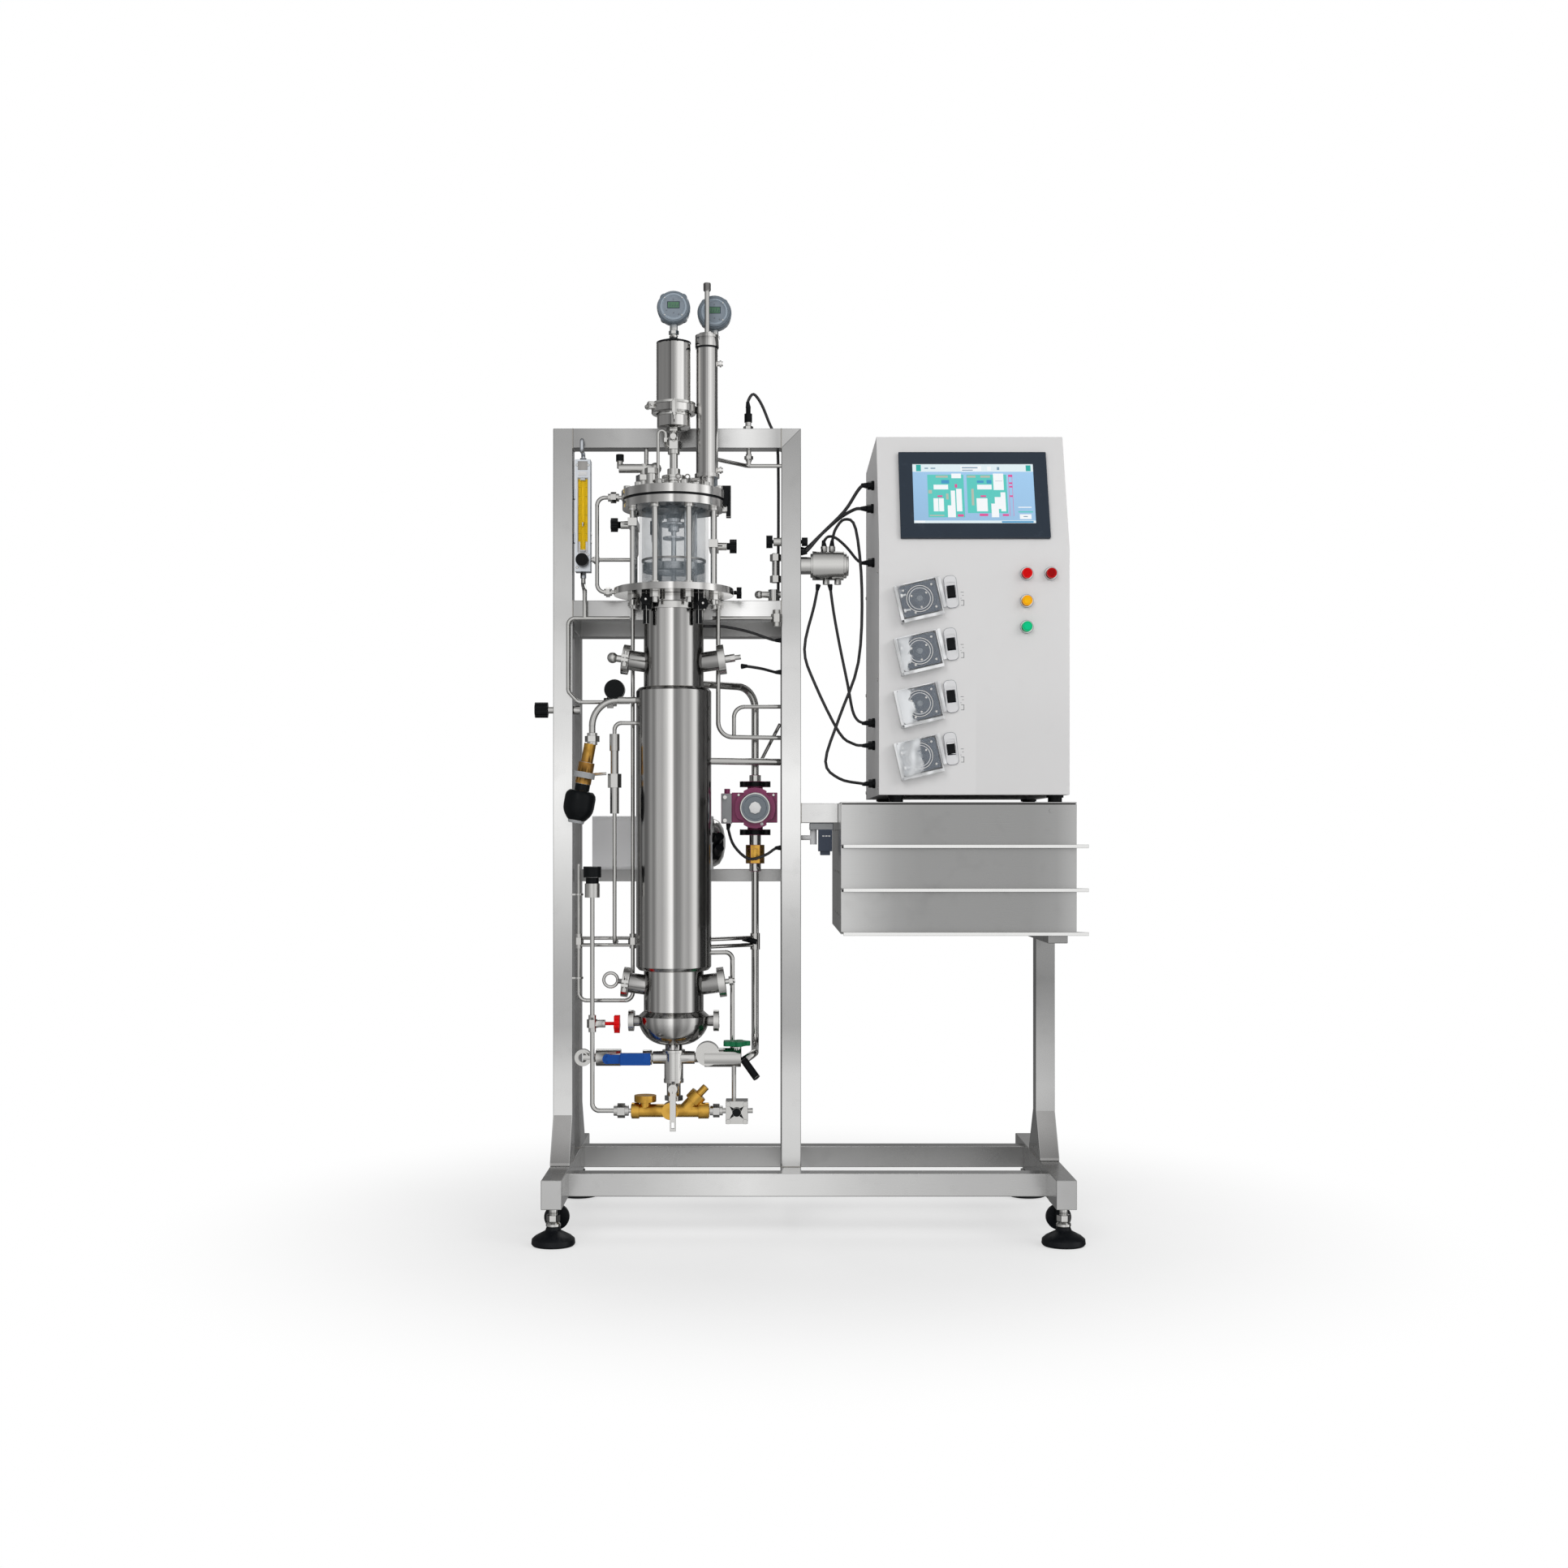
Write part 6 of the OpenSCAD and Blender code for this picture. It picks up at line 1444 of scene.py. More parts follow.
@dataclass
class Skid:
    """Square-tube frame on its levelling feet.

    left and inner are the middles of the tall posts, front and back their faces, beams the tops of the
    beams between them, base_top the top of the base frame. Weld beads stand off the faces by gap.
    """

    tube: float = 40.0
    edge: float = 1.6
    left: float = -498.0
    inner: float = -31.0
    front: float = -82.0
    back: float = -42.0
    beams: Pair = (1281.0, 1633.0)
    base_top: float = 133.0
    foot_y: float = 260.0
    gap: float = 0.4

    @property
    def feet(self) -> list[Pair]:
        """Places of the four feet."""
        return [(x, y) for x in (self.left, -self.left) for y in (-self.foot_y, self.foot_y)]

    def build(self) -> None:
        """Dresses the frame and adds its welds and threads."""
        # The rear beam and the rear frame take the darker tube steel: painted shade.
        rear_beam = Zone(Look.SHADED_TUBE, (-477, 20, 70), (477, 320, 140))
        # The stays take the darker stay steel: painted shade.
        left_stay = Zone(Look.SHADED_GUSSET, (-521, -300, 110), (-475, -83, 330))
        right_stays = zones(
            Look.SHADED_GUSSET, ((475, -300, 110), (521, -21, 330)), ((475, 21, 110), (521, 300, 330)))
        stems = zones(Look.TURNED, *(((x - 13, y - 13, 37), (x + 13, y + 13, 130)) for x, y in self.feet))
        dress(
            ("base_frame", Look.BASE_TUBE, SATIN, self.edge, rear_beam),
            ("front_frame", Look.TUBE, SATIN, self.edge, left_stay),
            ("rear_frame", Look.SHADED_TUBE, SATIN, self.edge),
            ("drawer_stand", Look.STAND_TUBE, SATIN, self.edge, *right_stays),
            ("levelling_feet", Look.RUBBER, "foot_rubber", 0.8, *stems))
        self._welds()
        self._threads()

    def _welds(self) -> None:
        """Beads where tubes meet."""
        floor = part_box("front_frame")[0][2] * 1000
        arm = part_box("drawer_casing")[1][2] * 1000
        half = self.tube / 2
        right_of_left = self.left + half + self.gap
        left_of_inner, right_of_inner = self.inner - half - self.gap, self.inner + half + self.gap
        ends = [(x, top) for top in self.beams for x in (right_of_left, left_of_inner)]
        ends.append((right_of_inner, arm))
        paths = [rim(0, x, (self.front, top - self.tube), (self.back, top)) for x, top in ends]
        for height, x, y in ((floor, self.inner, self.front), (self.base_top, self.left, self.front),
                             (self.base_top, -self.left, -half), (self.base_top, self.left, 90)):
            paths.append(rim(2, height + self.gap, (x - half, y), (x + half, y + self.tube)))
        carrier = loops("weld_paths", paths)
        bead = tree("bead").run("welds", carrier, Look.WELD, Radius=0.0011, Pitch=0.0022)
        settle(bead, "frame_welds", SATIN)

    def _threads(self) -> None:
        """Screw threads on the stems of the levelling feet, with a lock washer on each nut."""
        washer = [(8.1, 37), (13.5, 37), (14.5, 38), (14.5, 42.5), (11, 46.6), (8.1, 46.6)]
        parts = []
        for x, y in self.feet:
            carrier = loops("stem_axis", [[(0, 0, 0), (0, 0, 1)]])
            parts.append(tree("thread").run("thread", carrier, Look.TURNED, spot(x, y, 61.5), Radius=0.0079,
                                            Length=0.0145, Turns=8.0, Ridge=0.0007))
            parts.append(Shape().lathe(Look.TURNED, washer, spot(x, y, 0)).mesh("collar"))
        join("foot_threads", parts, SATIN)


@dataclass
class Vessel:
    """Jacketed vessel with its glass section and head plate.

    shell is the radius at which weld beads run and beads their heights; lid is the top of the head plate.
    """

    x: float = VESSEL[0]
    y: float = VESSEL[1]
    shell: float = 60.6
    beads: tuple[float, ...] = (1096.6, 529.4, 1264.4)
    lid: float = 1490.0

    def build(self) -> None:
        """Dresses the vessel from the bottom head to the head plate."""
        ports = Zone(Look.TURNED, (-400, -300, 1490.4), (-100, 0, 1530))
        dress(
            ("jacketed_vessel", Look.JACKET, POLISHED, 1.0),
            ("bottom_head", Look.JACKET, POLISHED, 0.6),
            ("drain_valve_body", Look.TURNED, POLISHED, 0.6),
            ("base_flange", Look.FLANGE, POLISHED, 1.0),
            ("sight_glass", Look.GLASS, "clear_glass", 0.0),
            ("tie_rods", Look.TURNED, POLISHED, 0.5),
            ("head_plate", Look.FLANGE, POLISHED, 0.8, ports),
            ("head_gasket", Look.RUBBER, BLACK, 0.4),
            ("dip_probe", Look.PROBE, POLISHED, 0.4))
        self._welds()
        self._flange_knobs()
        self._inside()
        self._lid_hooks()

    def _inside(self) -> None:
        """Seen through the glass: liner, ring, disc and seal on the shaft, and the dip tubes."""
        axis = spot(self.x, self.y, 0)
        inside = Shape()
        inside.ring(Look.LINER, 62.8, 64.4, 1296, 1349, axis, 96)
        inside.ring(Look.DARK_STEEL, 60.5, 64.7, 1349, 1353, axis, 96)
        inside.lathe(Look.PROBE, [(14.2, 1421), (26, 1421), (27.5, 1422.5), (27.5, 1425), (26, 1427),
                                  (14.2, 1427.5)], axis, 72)
        inside.lathe(Look.RUBBER, [(14.1, 1436), (15.5, 1436), (16, 1437), (16, 1444), (15, 1445),
                                   (14.1, 1445)], axis, 48)
        for x, y, low, radius in ((24, -20, 1318, 2.4), (44, 12, 1310, 2.2), (-41, -26, 1386, 2.2)):
            ends = [(self.x + x, self.y + y, z) for z in (low, 1452.6)]
            inside.rod(Look.PROBE, ends, radius, 24)
        inside.ring(Look.RUBBER, 0, 5, 1400, 1427, spot(self.x - 41, self.y - 26, 0), 24)
        inside.piece("vessel_inside", POLISHED)

    def _lid_hooks(self) -> None:
        """Wing nuts, a latch and ring bolts on the head plate."""
        lid = Shape()
        for x, y, size in ((-294, -196, 1.0), (-222, -205, 0.8), (-320, -120, 0.9), (-236, -98, 0.9)):
            place = spot(x, y, self.lid)
            lid.lathe(Look.TURNED, [(0, 0), (11 * size, 0), (11 * size, 9), (13 * size, 10), (13 * size, 15),
                                    (9 * size, 17), (0, 17)], place, 40)
            lid.block(Look.DARK_STEEL, (-3.5 * size, -19 * size, 9.4), (3.5 * size, -12 * size, 15.6), place,
                      0.8)
            lid.prism(Look.DARK_STEEL, [(-8, -1.4), (8, -1.4), (5, 1.4), (-5, 1.4)], -2.4, 2.4,
                      place @ spot(0, -20.4 * size, 12.5), 0.6)
        lid.block(Look.BLACK, (-175, -168, 1461), (-158.5, -132, 1495), edge=3.0)
        lid.block(Look.TURNED, (-172, -160, 1449), (-160, -140, 1461), edge=2.0)
        loop, centre, steps = 4.4, self.lid + 20, 20
        for x, y in ((-256, -214), (-238, -210), (-205, -190)):
            eye = [(x + loop * math.sin(a), y, centre - loop * math.cos(a)) for a in turns(steps)]
            lid.rod(Look.DARK_STEEL, eye[1:], 1.3, 12)
            lid.rod(Look.DARK_STEEL, [(x, y, self.lid + 0.5), (x, y, self.lid + 16.4)], 1.8, 16)
            lid.ring(Look.TURNED, 0, 5, 0, 4, spot(x, y, self.lid + 0.2), 6)
        lid.piece("lid_hooks", POLISHED)

    def _flange_knobs(self) -> None:
        """Lobed clamp knobs under the base flange, each on its bolt."""
        lobes = []
        for a in turns(48):
            radius = 10.5 + 1.6 * math.cos(6 * a)
            lobes.append((radius * math.cos(a), radius * math.sin(a)))
        shape = Shape()
        for place in (spot(-320, -205, 1266, Axis.FRONT), spot(-207, -205, 1258, Axis.FRONT)):
            shape.prism(Look.BLACK, lobes, 6, 17, place, 1.2)
            shape.lathe(Look.BLACK, [(0, 16.5), (6.5, 16.5), (6.0, 19), (3.2, 19.6), (0, 19.6)], place, 32)
            shape.lathe(Look.TURNED, [(0, 19.4), (2.6, 19.4), (2.3, 20.6), (0, 20.6)], place, 6)
            shape.ring(Look.TURNED, 0, 4, -8, 6.2, place, 24)
        shape.piece("flange_knobs", BLACK)

    def _welds(self) -> None:
        """Weld beads at the ends of the jacket and under the flange, and the collar of the neck."""
        rings = [hoop(self.x, self.y, z, self.shell) for z in self.beads]
        bead = tree("bead").run("vessel_beads", loops("vessel_rings", rings), Look.WELD, Radius=0.0009,
                                Pitch=0.0024)
        settle(bead, "vessel_welds", POLISHED)
        collar = Shape()
        axis = spot(self.x, self.y, 0)
        collar.ring(Look.RUBBER, 60.1, 62.4, 1274, 1280.8, axis, 96)
        collar.ring(Look.DARK_STEEL, 60.1, 61.6, 1256, 1274, axis, 96)
        collar.piece("neck_collar", POLISHED)


@dataclass
class HeadFittings:
    """Exhaust filter, condenser and gauges above the head plate."""

    gauges: tuple[Pair, ...] = (VESSEL, (-187.0, -112.0))
    gauge_height: float = 1859.0

    def build(self) -> None:
        """Dresses the fittings."""
        vent = (Zone(Look.CAP_STEEL, (-212, -160, 1893.5), (-190, -140, 1911)),
                Zone(Look.PIPE, (-207, -157, 1800), (-195, -143, 1893.5)))
        stems = Zone(Look.TURNED, (-600, -300, 1700), (0, 0, 1823))
        dress(
            ("filter_housing", Look.FILTER, POLISHED, 0.8),
            ("filter_base", Look.TURNED, POLISHED, 0.6),
            ("condenser", Look.COLUMN, POLISHED, 0.6, *vent),
            ("pressure_gauges", Look.GAUGE, "gauge_blue", 0.8, stems))
        for number, (x, y) in enumerate(self.gauges, 1):
            self._dial(number, spot(x, y, self.gauge_height, Axis.FRONT))
        self._clamp_band()
        self._air_tube()
        self._vent_cap()

    def _clamp_band(self) -> None:
        """Clamp and bolt round the filter's seam, the base under it, and the condenser's collar and seals."""
        place = spot(*VESSEL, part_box("filter_housing")[0][2] * 1000)
        band = Shape()
        for outline in (((35.2, -15), (43.5, -15), (45, -13), (45, 0.5), (43.5, 2.5), (35.2, 2.5)),
                        ((0, -44), (30, -44), (33.6, -41.5), (33.6, -20.8), (0, -20.8))):
            band.lathe(Look.FILTER, outline, place, 96)
        block = place @ Matrix.Rotation(math.radians(4), 4, "Z")
        bolt = -46.5
        band.block(Look.TURNED, (-5, -50, -22), (5, -43, 4), block, 1.2)
        band.ring(Look.TURNED, 0, 4.6, -26, -21.8, block @ spot(0, bolt, 0), 6)
        band.rod(Look.TURNED, [tuple(block @ Vector((0, bolt, z))) for z in (-34, 7)], 2.2)
        band.lathe(Look.RUBBER, [(33.4, 126), (34.7, 126.3), (34.7, 129), (33.4, 129.3)], place, 96)
        axis = spot(*CONDENSER, 0)
        band.lathe(Look.COLUMN, [(21.0, 1780), (23.9, 1780.5), (24.2, 1782), (24.2, 1797), (23.6, 1798),
                                 (21, 1798)], axis, 80)
        band.lathe(Look.RUBBER, [(21.0, 1776.8), (22.8, 1777), (22.8, 1779.9), (21.0, 1779.9)], axis, 80)
        band.piece("filter_clamp_band", POLISHED)

    def _air_tube(self) -> None:
        """Thin air tube from the filter's base over and down to the head plate, with its two nuts."""
        start, end, y, bend, radius = -283, -298, -180, 7.5, 3.2
        arch = [(start - bend * (1 - math.cos(a)), y, 1600 + bend * math.sin(a))
                for a in (math.pi * k / 16 for k in range(17))]
        tube = Shape().rod(Look.PIPE, [(start, y, 1588), *arch, (end, y, 1540), (end, y, 1491)], radius, 20)
        for x, z in ((end, 1490.5), (start, 1584)):
            tube.ring(Look.TURNED, 0, 5.6, 0, 8, spot(x, y, z), 6)
        tube.rod(Look.PIPE, [(start, y, 1585), (start, -170, 1580), (-272, -152, 1578)], radius, 16)
        tube.piece("filter_air_tube", SATIN)

    def _vent_cap(self) -> None:
        """Knurl round the cap of the vent rod."""
        rib = Shape().block(Look.CAP_STEEL, (-0.5, -0.55, 0), (0.5, 0.55, 13.4)).mesh("knurl_rib")
        knurl = tree("ring").run("knurl", rib, Look.CAP_STEEL, spot(*CONDENSER, 1895.4), Count=26,
                                 Radius=0.007)
        settle(knurl, "vent_cap_knurl", POLISHED)

    def _dial(self, number: int, place: Matrix) -> None:
        """Front of a gauge: round case, stepped rim, face, readout in its frame, keys and screws."""
        dial = Shape()
        wide = 32.2 + 1.2 * number
        dial.lathe(Look.GAUGE, [(26.5, -13), (wide - 1.4, -12), (wide, -9), (wide, 9.5), (wide - 1.4, 13.2),
                                (26.5, 14.6)], place, 72)
        dial.lathe(Look.GAUGE_RIM, [(21.6, 14), (26.9, 14), (26.9, 16.4), (25.4, 17.2), (23.4, 17.2),
                                    (22.2, 15.4), (21.6, 15.2)], place, 64)
        dial.ring(Look.GAUGE_FACE, 0, 21.8, 14, 14.9, place, 64)
        dial.block(Look.BEZEL, (-12.6, -3.6, 14.8), (12.6, 10.4, 15.4), place, 0.3)
        dial.block(Look.LCD, (-11.2, -2.4, 15.3), (11.2, 9.2, 15.6), place)
        key = [(0, 14.8), (1.5, 14.8), (1.2, 15.8), (0, 15.8)]
        for x, y in ((0.0, 14.5), (-13.5, -7.5), (0.5, -12.5), (10.5, -15.0)):
            dial.lathe(Look.SMOKED, key, place @ spot(x, y, 0), 16)
        for k, x in enumerate((-7.5, -2.5, 2.5, 7.5)):
            dial.block(Look.SLATE, (x - 1.1, 0.4, 15.5), (x + 1.1, 1.2, 15.7), place)
            dial.block(Look.SLATE, (x + 0.9, 0.4, 15.5), (x + 1.7, 6.4 - k % 2 * 2.4, 15.7), place)
        rivet = screw(Look.TURNED, 1.7, 1.2).mesh("rim_screw")
        screws = tree("ring").run("rim_screws", rivet, Look.TURNED, place @ spot(0, 0, 17.1, spin=45),
                                  Count=4, Radius=0.0244)
        join(f"gauge_dial_{number}", [dial.mesh("dial"), screws], "gauge_blue")


@dataclass
class Piping:
    """Pipes, valves, pump, tank and instruments on the frame.

    valve and valve_way are the reducing valve's start and direction, pump the middle of the pump's face.
    """

    valve: Point = (-432.0, -150.0, 1006.0)
    valve_way: Point = (-34.0, 0.0, -186.0)
    pump: Point = (-105, -10, 857)

    def build(self) -> None:
        """Dresses everything along the frame."""
        dress(
            ("left_pipes", Look.PIPE, SATIN, 0.4,
             *zones(Look.BLACK, ((-388, -136, 1555), (-368, -116, 1571)),
                    ((-412, -160, 1074), (-368, -80, 1118)), ((-450, -190, 703), (-410, -150, 739)))),
            ("right_pipes", Look.PIPE, SATIN, 0.4,
             Barrel(Look.BLACK, (-127, -162, 350), (26, -18, -34), -12, 60, 9),
             Barrel(Look.BLACK, (-131, -24, 587), (30, 0, -8), -4, 36, 7),
             Zone(Look.BLACK, (-152, -199, 240), (-130, -189, 260))),
            ("hygienic_clamps", Look.TURNED, SATIN, 0.5,
             *zones(Look.BLACK, ((-330, -212, 1217), (-308, -190, 1283)),
                    ((-228, -212, 1217), (-206, -190, 1283)), ((-172, -170, 1438), (-152, -130, 1503)),
                    ((-149, -170, 1275), (-131, -130, 1299)))),
            ("brass_strainer", Look.BRASS, "brass", 0.6))
        self._reducer()
        dress(
            ("circulation_pump", Look.MAGENTA, "pump_magenta", 0.8,
             Zone(Look.TURNED, (-200, -80, 700), (0, -56.1, 960)),
             *zones(Look.BLACK, ((-145, -60, 900.9), (-60, 40, 913)), ((-145, -60, 800.9), (-60, 40, 813.1))),
             Zone(Look.BRASS, (-130, -40, 742), (-80, 20, 781)),
             Zone(Look.GREY_CAST, (-176, -60, 824), (-152.5, 30, 888)),
             *zones(Look.TURNED, ((-125, -30, 913), (-85, 10, 930)), ((-125, -30, 720), (-85, 10, 801)))),
            ("hot_water_tank", Look.TANK, "tank_white", 1.2,
             Zone(Look.BLACK, (-196, -40, 750), (-160, 8, 806)),
             *zones(Look.TURNED, ((-193.9, -40, 700), (-160, 100, 860)),
                    ((-420, 60, 700), (-200, 200, 729.5)))),
            ("transmitter_housing", Look.TURNED, SATIN, 1.0),
            ("solenoid_valve", Look.PLUG, "plug_blue", 0.8,
             Zone(Look.GREY_CAST, (0, -100, 811.5), (60, -30, 830)),
             Zone(Look.WHITE, (-20, -100, 770), (24.9, -30, 813))),
            ("rotameter", Look.METER, "meter_body", 0.8,
             Zone(Look.WHITE, (-469, -77, 1375), (-447, -70.5, 1540))))
        self._flow_meter()
        self._pump_face()
        self._plug_pins()

    def _reducer(self) -> None:
        """Dresses the reducing valve: brass and bronze body, grey rings and a domed black cap."""
        parts = tuple(Barrel(look, self.valve, self.valve_way, *span) for look, *span in (
            (Look.GREY_CAST, 80, 92), (Look.BLACK, 104.2, 177), (Look.GREY_CAST, 177.1, 190),
            (Look.BRASS, 22, 44, 30), (Look.BRONZE, 44, 104, 30)))
        dome = Crown(self.valve, self.valve_way, (
            (104.2, 15.0), (112, 17.0), (117.9, 22.5), (121, 26.5), (125, 29.5), (131, 31.0), (150, 31.0),
            (157, 30.2), (163, 28.2), (167.9, 25.5), (172, 22.6), (175.5, 19.8), (177.9, 17.2),
            (184.4, 15.5)))
        Dressing("reducing_valve", Look.TURNED, "brass", zones=parts, edge=0.6, crown=dome).build()

    def _flow_meter(self) -> None:
        """Scale card, glass tube with its float, and end fittings of the flow meter."""
        place = spot(*METER)
        middle = place @ spot(0, -11.4, 0)
        meter = Shape()
        for wide, low, high in ((9.4, 62, 190), (5.4, 44, 62)):
            card = [(-wide, -9.6), (wide, -9.6), (wide, -9.0), (-wide, -9.0)]
            meter.prism(Look.SCALE, card, low, high, place)
        for low, high in ((40.5, 45), (187, 191.5)):
            meter.block(Look.PALE, (-5, -14.5, low), (5, -9.2, high), place, 0.6)
        meter.lathe(Look.TURNED, [(0, 92), (1.2, 93), (2.1, 98), (2.1, 101), (0, 101)], middle, 16)
        for x, z in ((-11.5, 218), (11.5, 218), (-11.5, 8), (11.5, 34)):
            meter.lathe(Look.TURNED, [(0, 0), (2.6, 0), (2.6, 1.0), (1.9, 1.5), (0, 1.5)],
                        place @ spot(x, -14, z, Axis.FRONT), 20)
        meter.block(Look.WHITE, (-9, -15.2, 196), (9, -14, 205), place, 0.4)
        meter.block(Look.DARK_STEEL, (-10, -14.8, 208), (10, -14, 226), place, 0.4)
        for z in (62, 78):
            meter.ring(Look.TURNED, 0, 3.4, 0, 1.6, place @ spot(16, -3, z, Axis.RIGHT), 6)
        meter.piece("flow_meter_scale", "meter_body")
        tube = Shape().ring(Look.METER_GLASS, 2.6, 3.0, 45, 187, middle, 24)
        tube.piece("flow_meter_tube", "clear_glass")

    def _pump_face(self) -> None:
        """Front of the circulation pump: smoked cap with ribs and a pale plug, and screws."""
        place = spot(*self.pump, Axis.FRONT)
        face = Shape()
        face.lathe(Look.SMOKED, [(0, 60), (29, 60), (29.6, 60.6), (28, 62), (24, 62), (23, 60.9), (0, 60.9)],
                   place, 64)
        face.lathe(Look.TURNED, [(28.4, 59), (31.6, 59), (31.6, 61.6), (30.2, 62.6), (28.4, 62.6)], place, 64)
        face.prism(Look.PIN, [(0, 13), (-8, 9), (-12.5, 1), (-9, -9), (0, -12.5), (9, -9), (12.5, 1), (8, 9)],
                   60.5, 64.6, place, 0.7)
        rib = Shape().block(Look.SMOKED, (-4.6, -0.7, 0), (4.6, 0.7, 0.7)).mesh("cap_rib")
        ribs = tree("ring").run("cap_ribs", rib, Look.SMOKED, place @ spot(0, 0, 60.8), Count=18,
                                Radius=0.0185)
        parts = [face.mesh("pump_cap"), ribs]
        for look, radius, height, x, y, z in (
                (Look.PIN, 3.4, 2.6, 14, -33, 46), (Look.TURNED, 3.0, 2.0, -34, 27, 34),
                (Look.TURNED, 3.0, 2.0, 38, 27, 34)):
            parts.append(screw(look, radius, height, place @ spot(x, y, z)).mesh("face_screw"))
        join("pump_cap_face", parts, "pump_magenta")

    def _plug_pins(self) -> None:
        """Pale marks on the valve's plug."""
        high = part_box("solenoid_valve")[1]
        pin = Shape().block(Look.PIN, (-2.2, -0.6, -1.2), (2.2, 0.0, 1.2), edge=0.2).mesh("mark")
        place = spot(high[0] * 1000 - 20, -78, 799)
        row = tree("row").run("marks", pin, Look.PIN, place, Count=3, Step=(0.006, 0.0, 0.0))
        settle(row, "plug_marks", "plug_blue")


@dataclass
class Handles:
    """Knobs, handwheels and levers that turn."""

    edge: float = 0.6

    def build(self) -> None:
        """Dresses each moving handle."""
        for node, look, slot in (
                ("green_handwheel", Look.GREEN_WHEEL, "green_wheel"), ("red_knob", Look.RED, "red_wheel"),
                ("rotameter_knob", Look.BLACK, BLACK), ("drain_lever", Look.BLUE_GRIP, "blue_lever"),
                ("sampling_lever", Look.TURNED, SATIN), ("relief_knob", Look.BLACK, BLACK),
                ("star_knob", Look.BLACK, BLACK), ("left_star_knob", Look.BLACK, BLACK),
                ("post_knob", Look.BLACK, BLACK)):
            dress((node, look, slot, self.edge), moving=True)


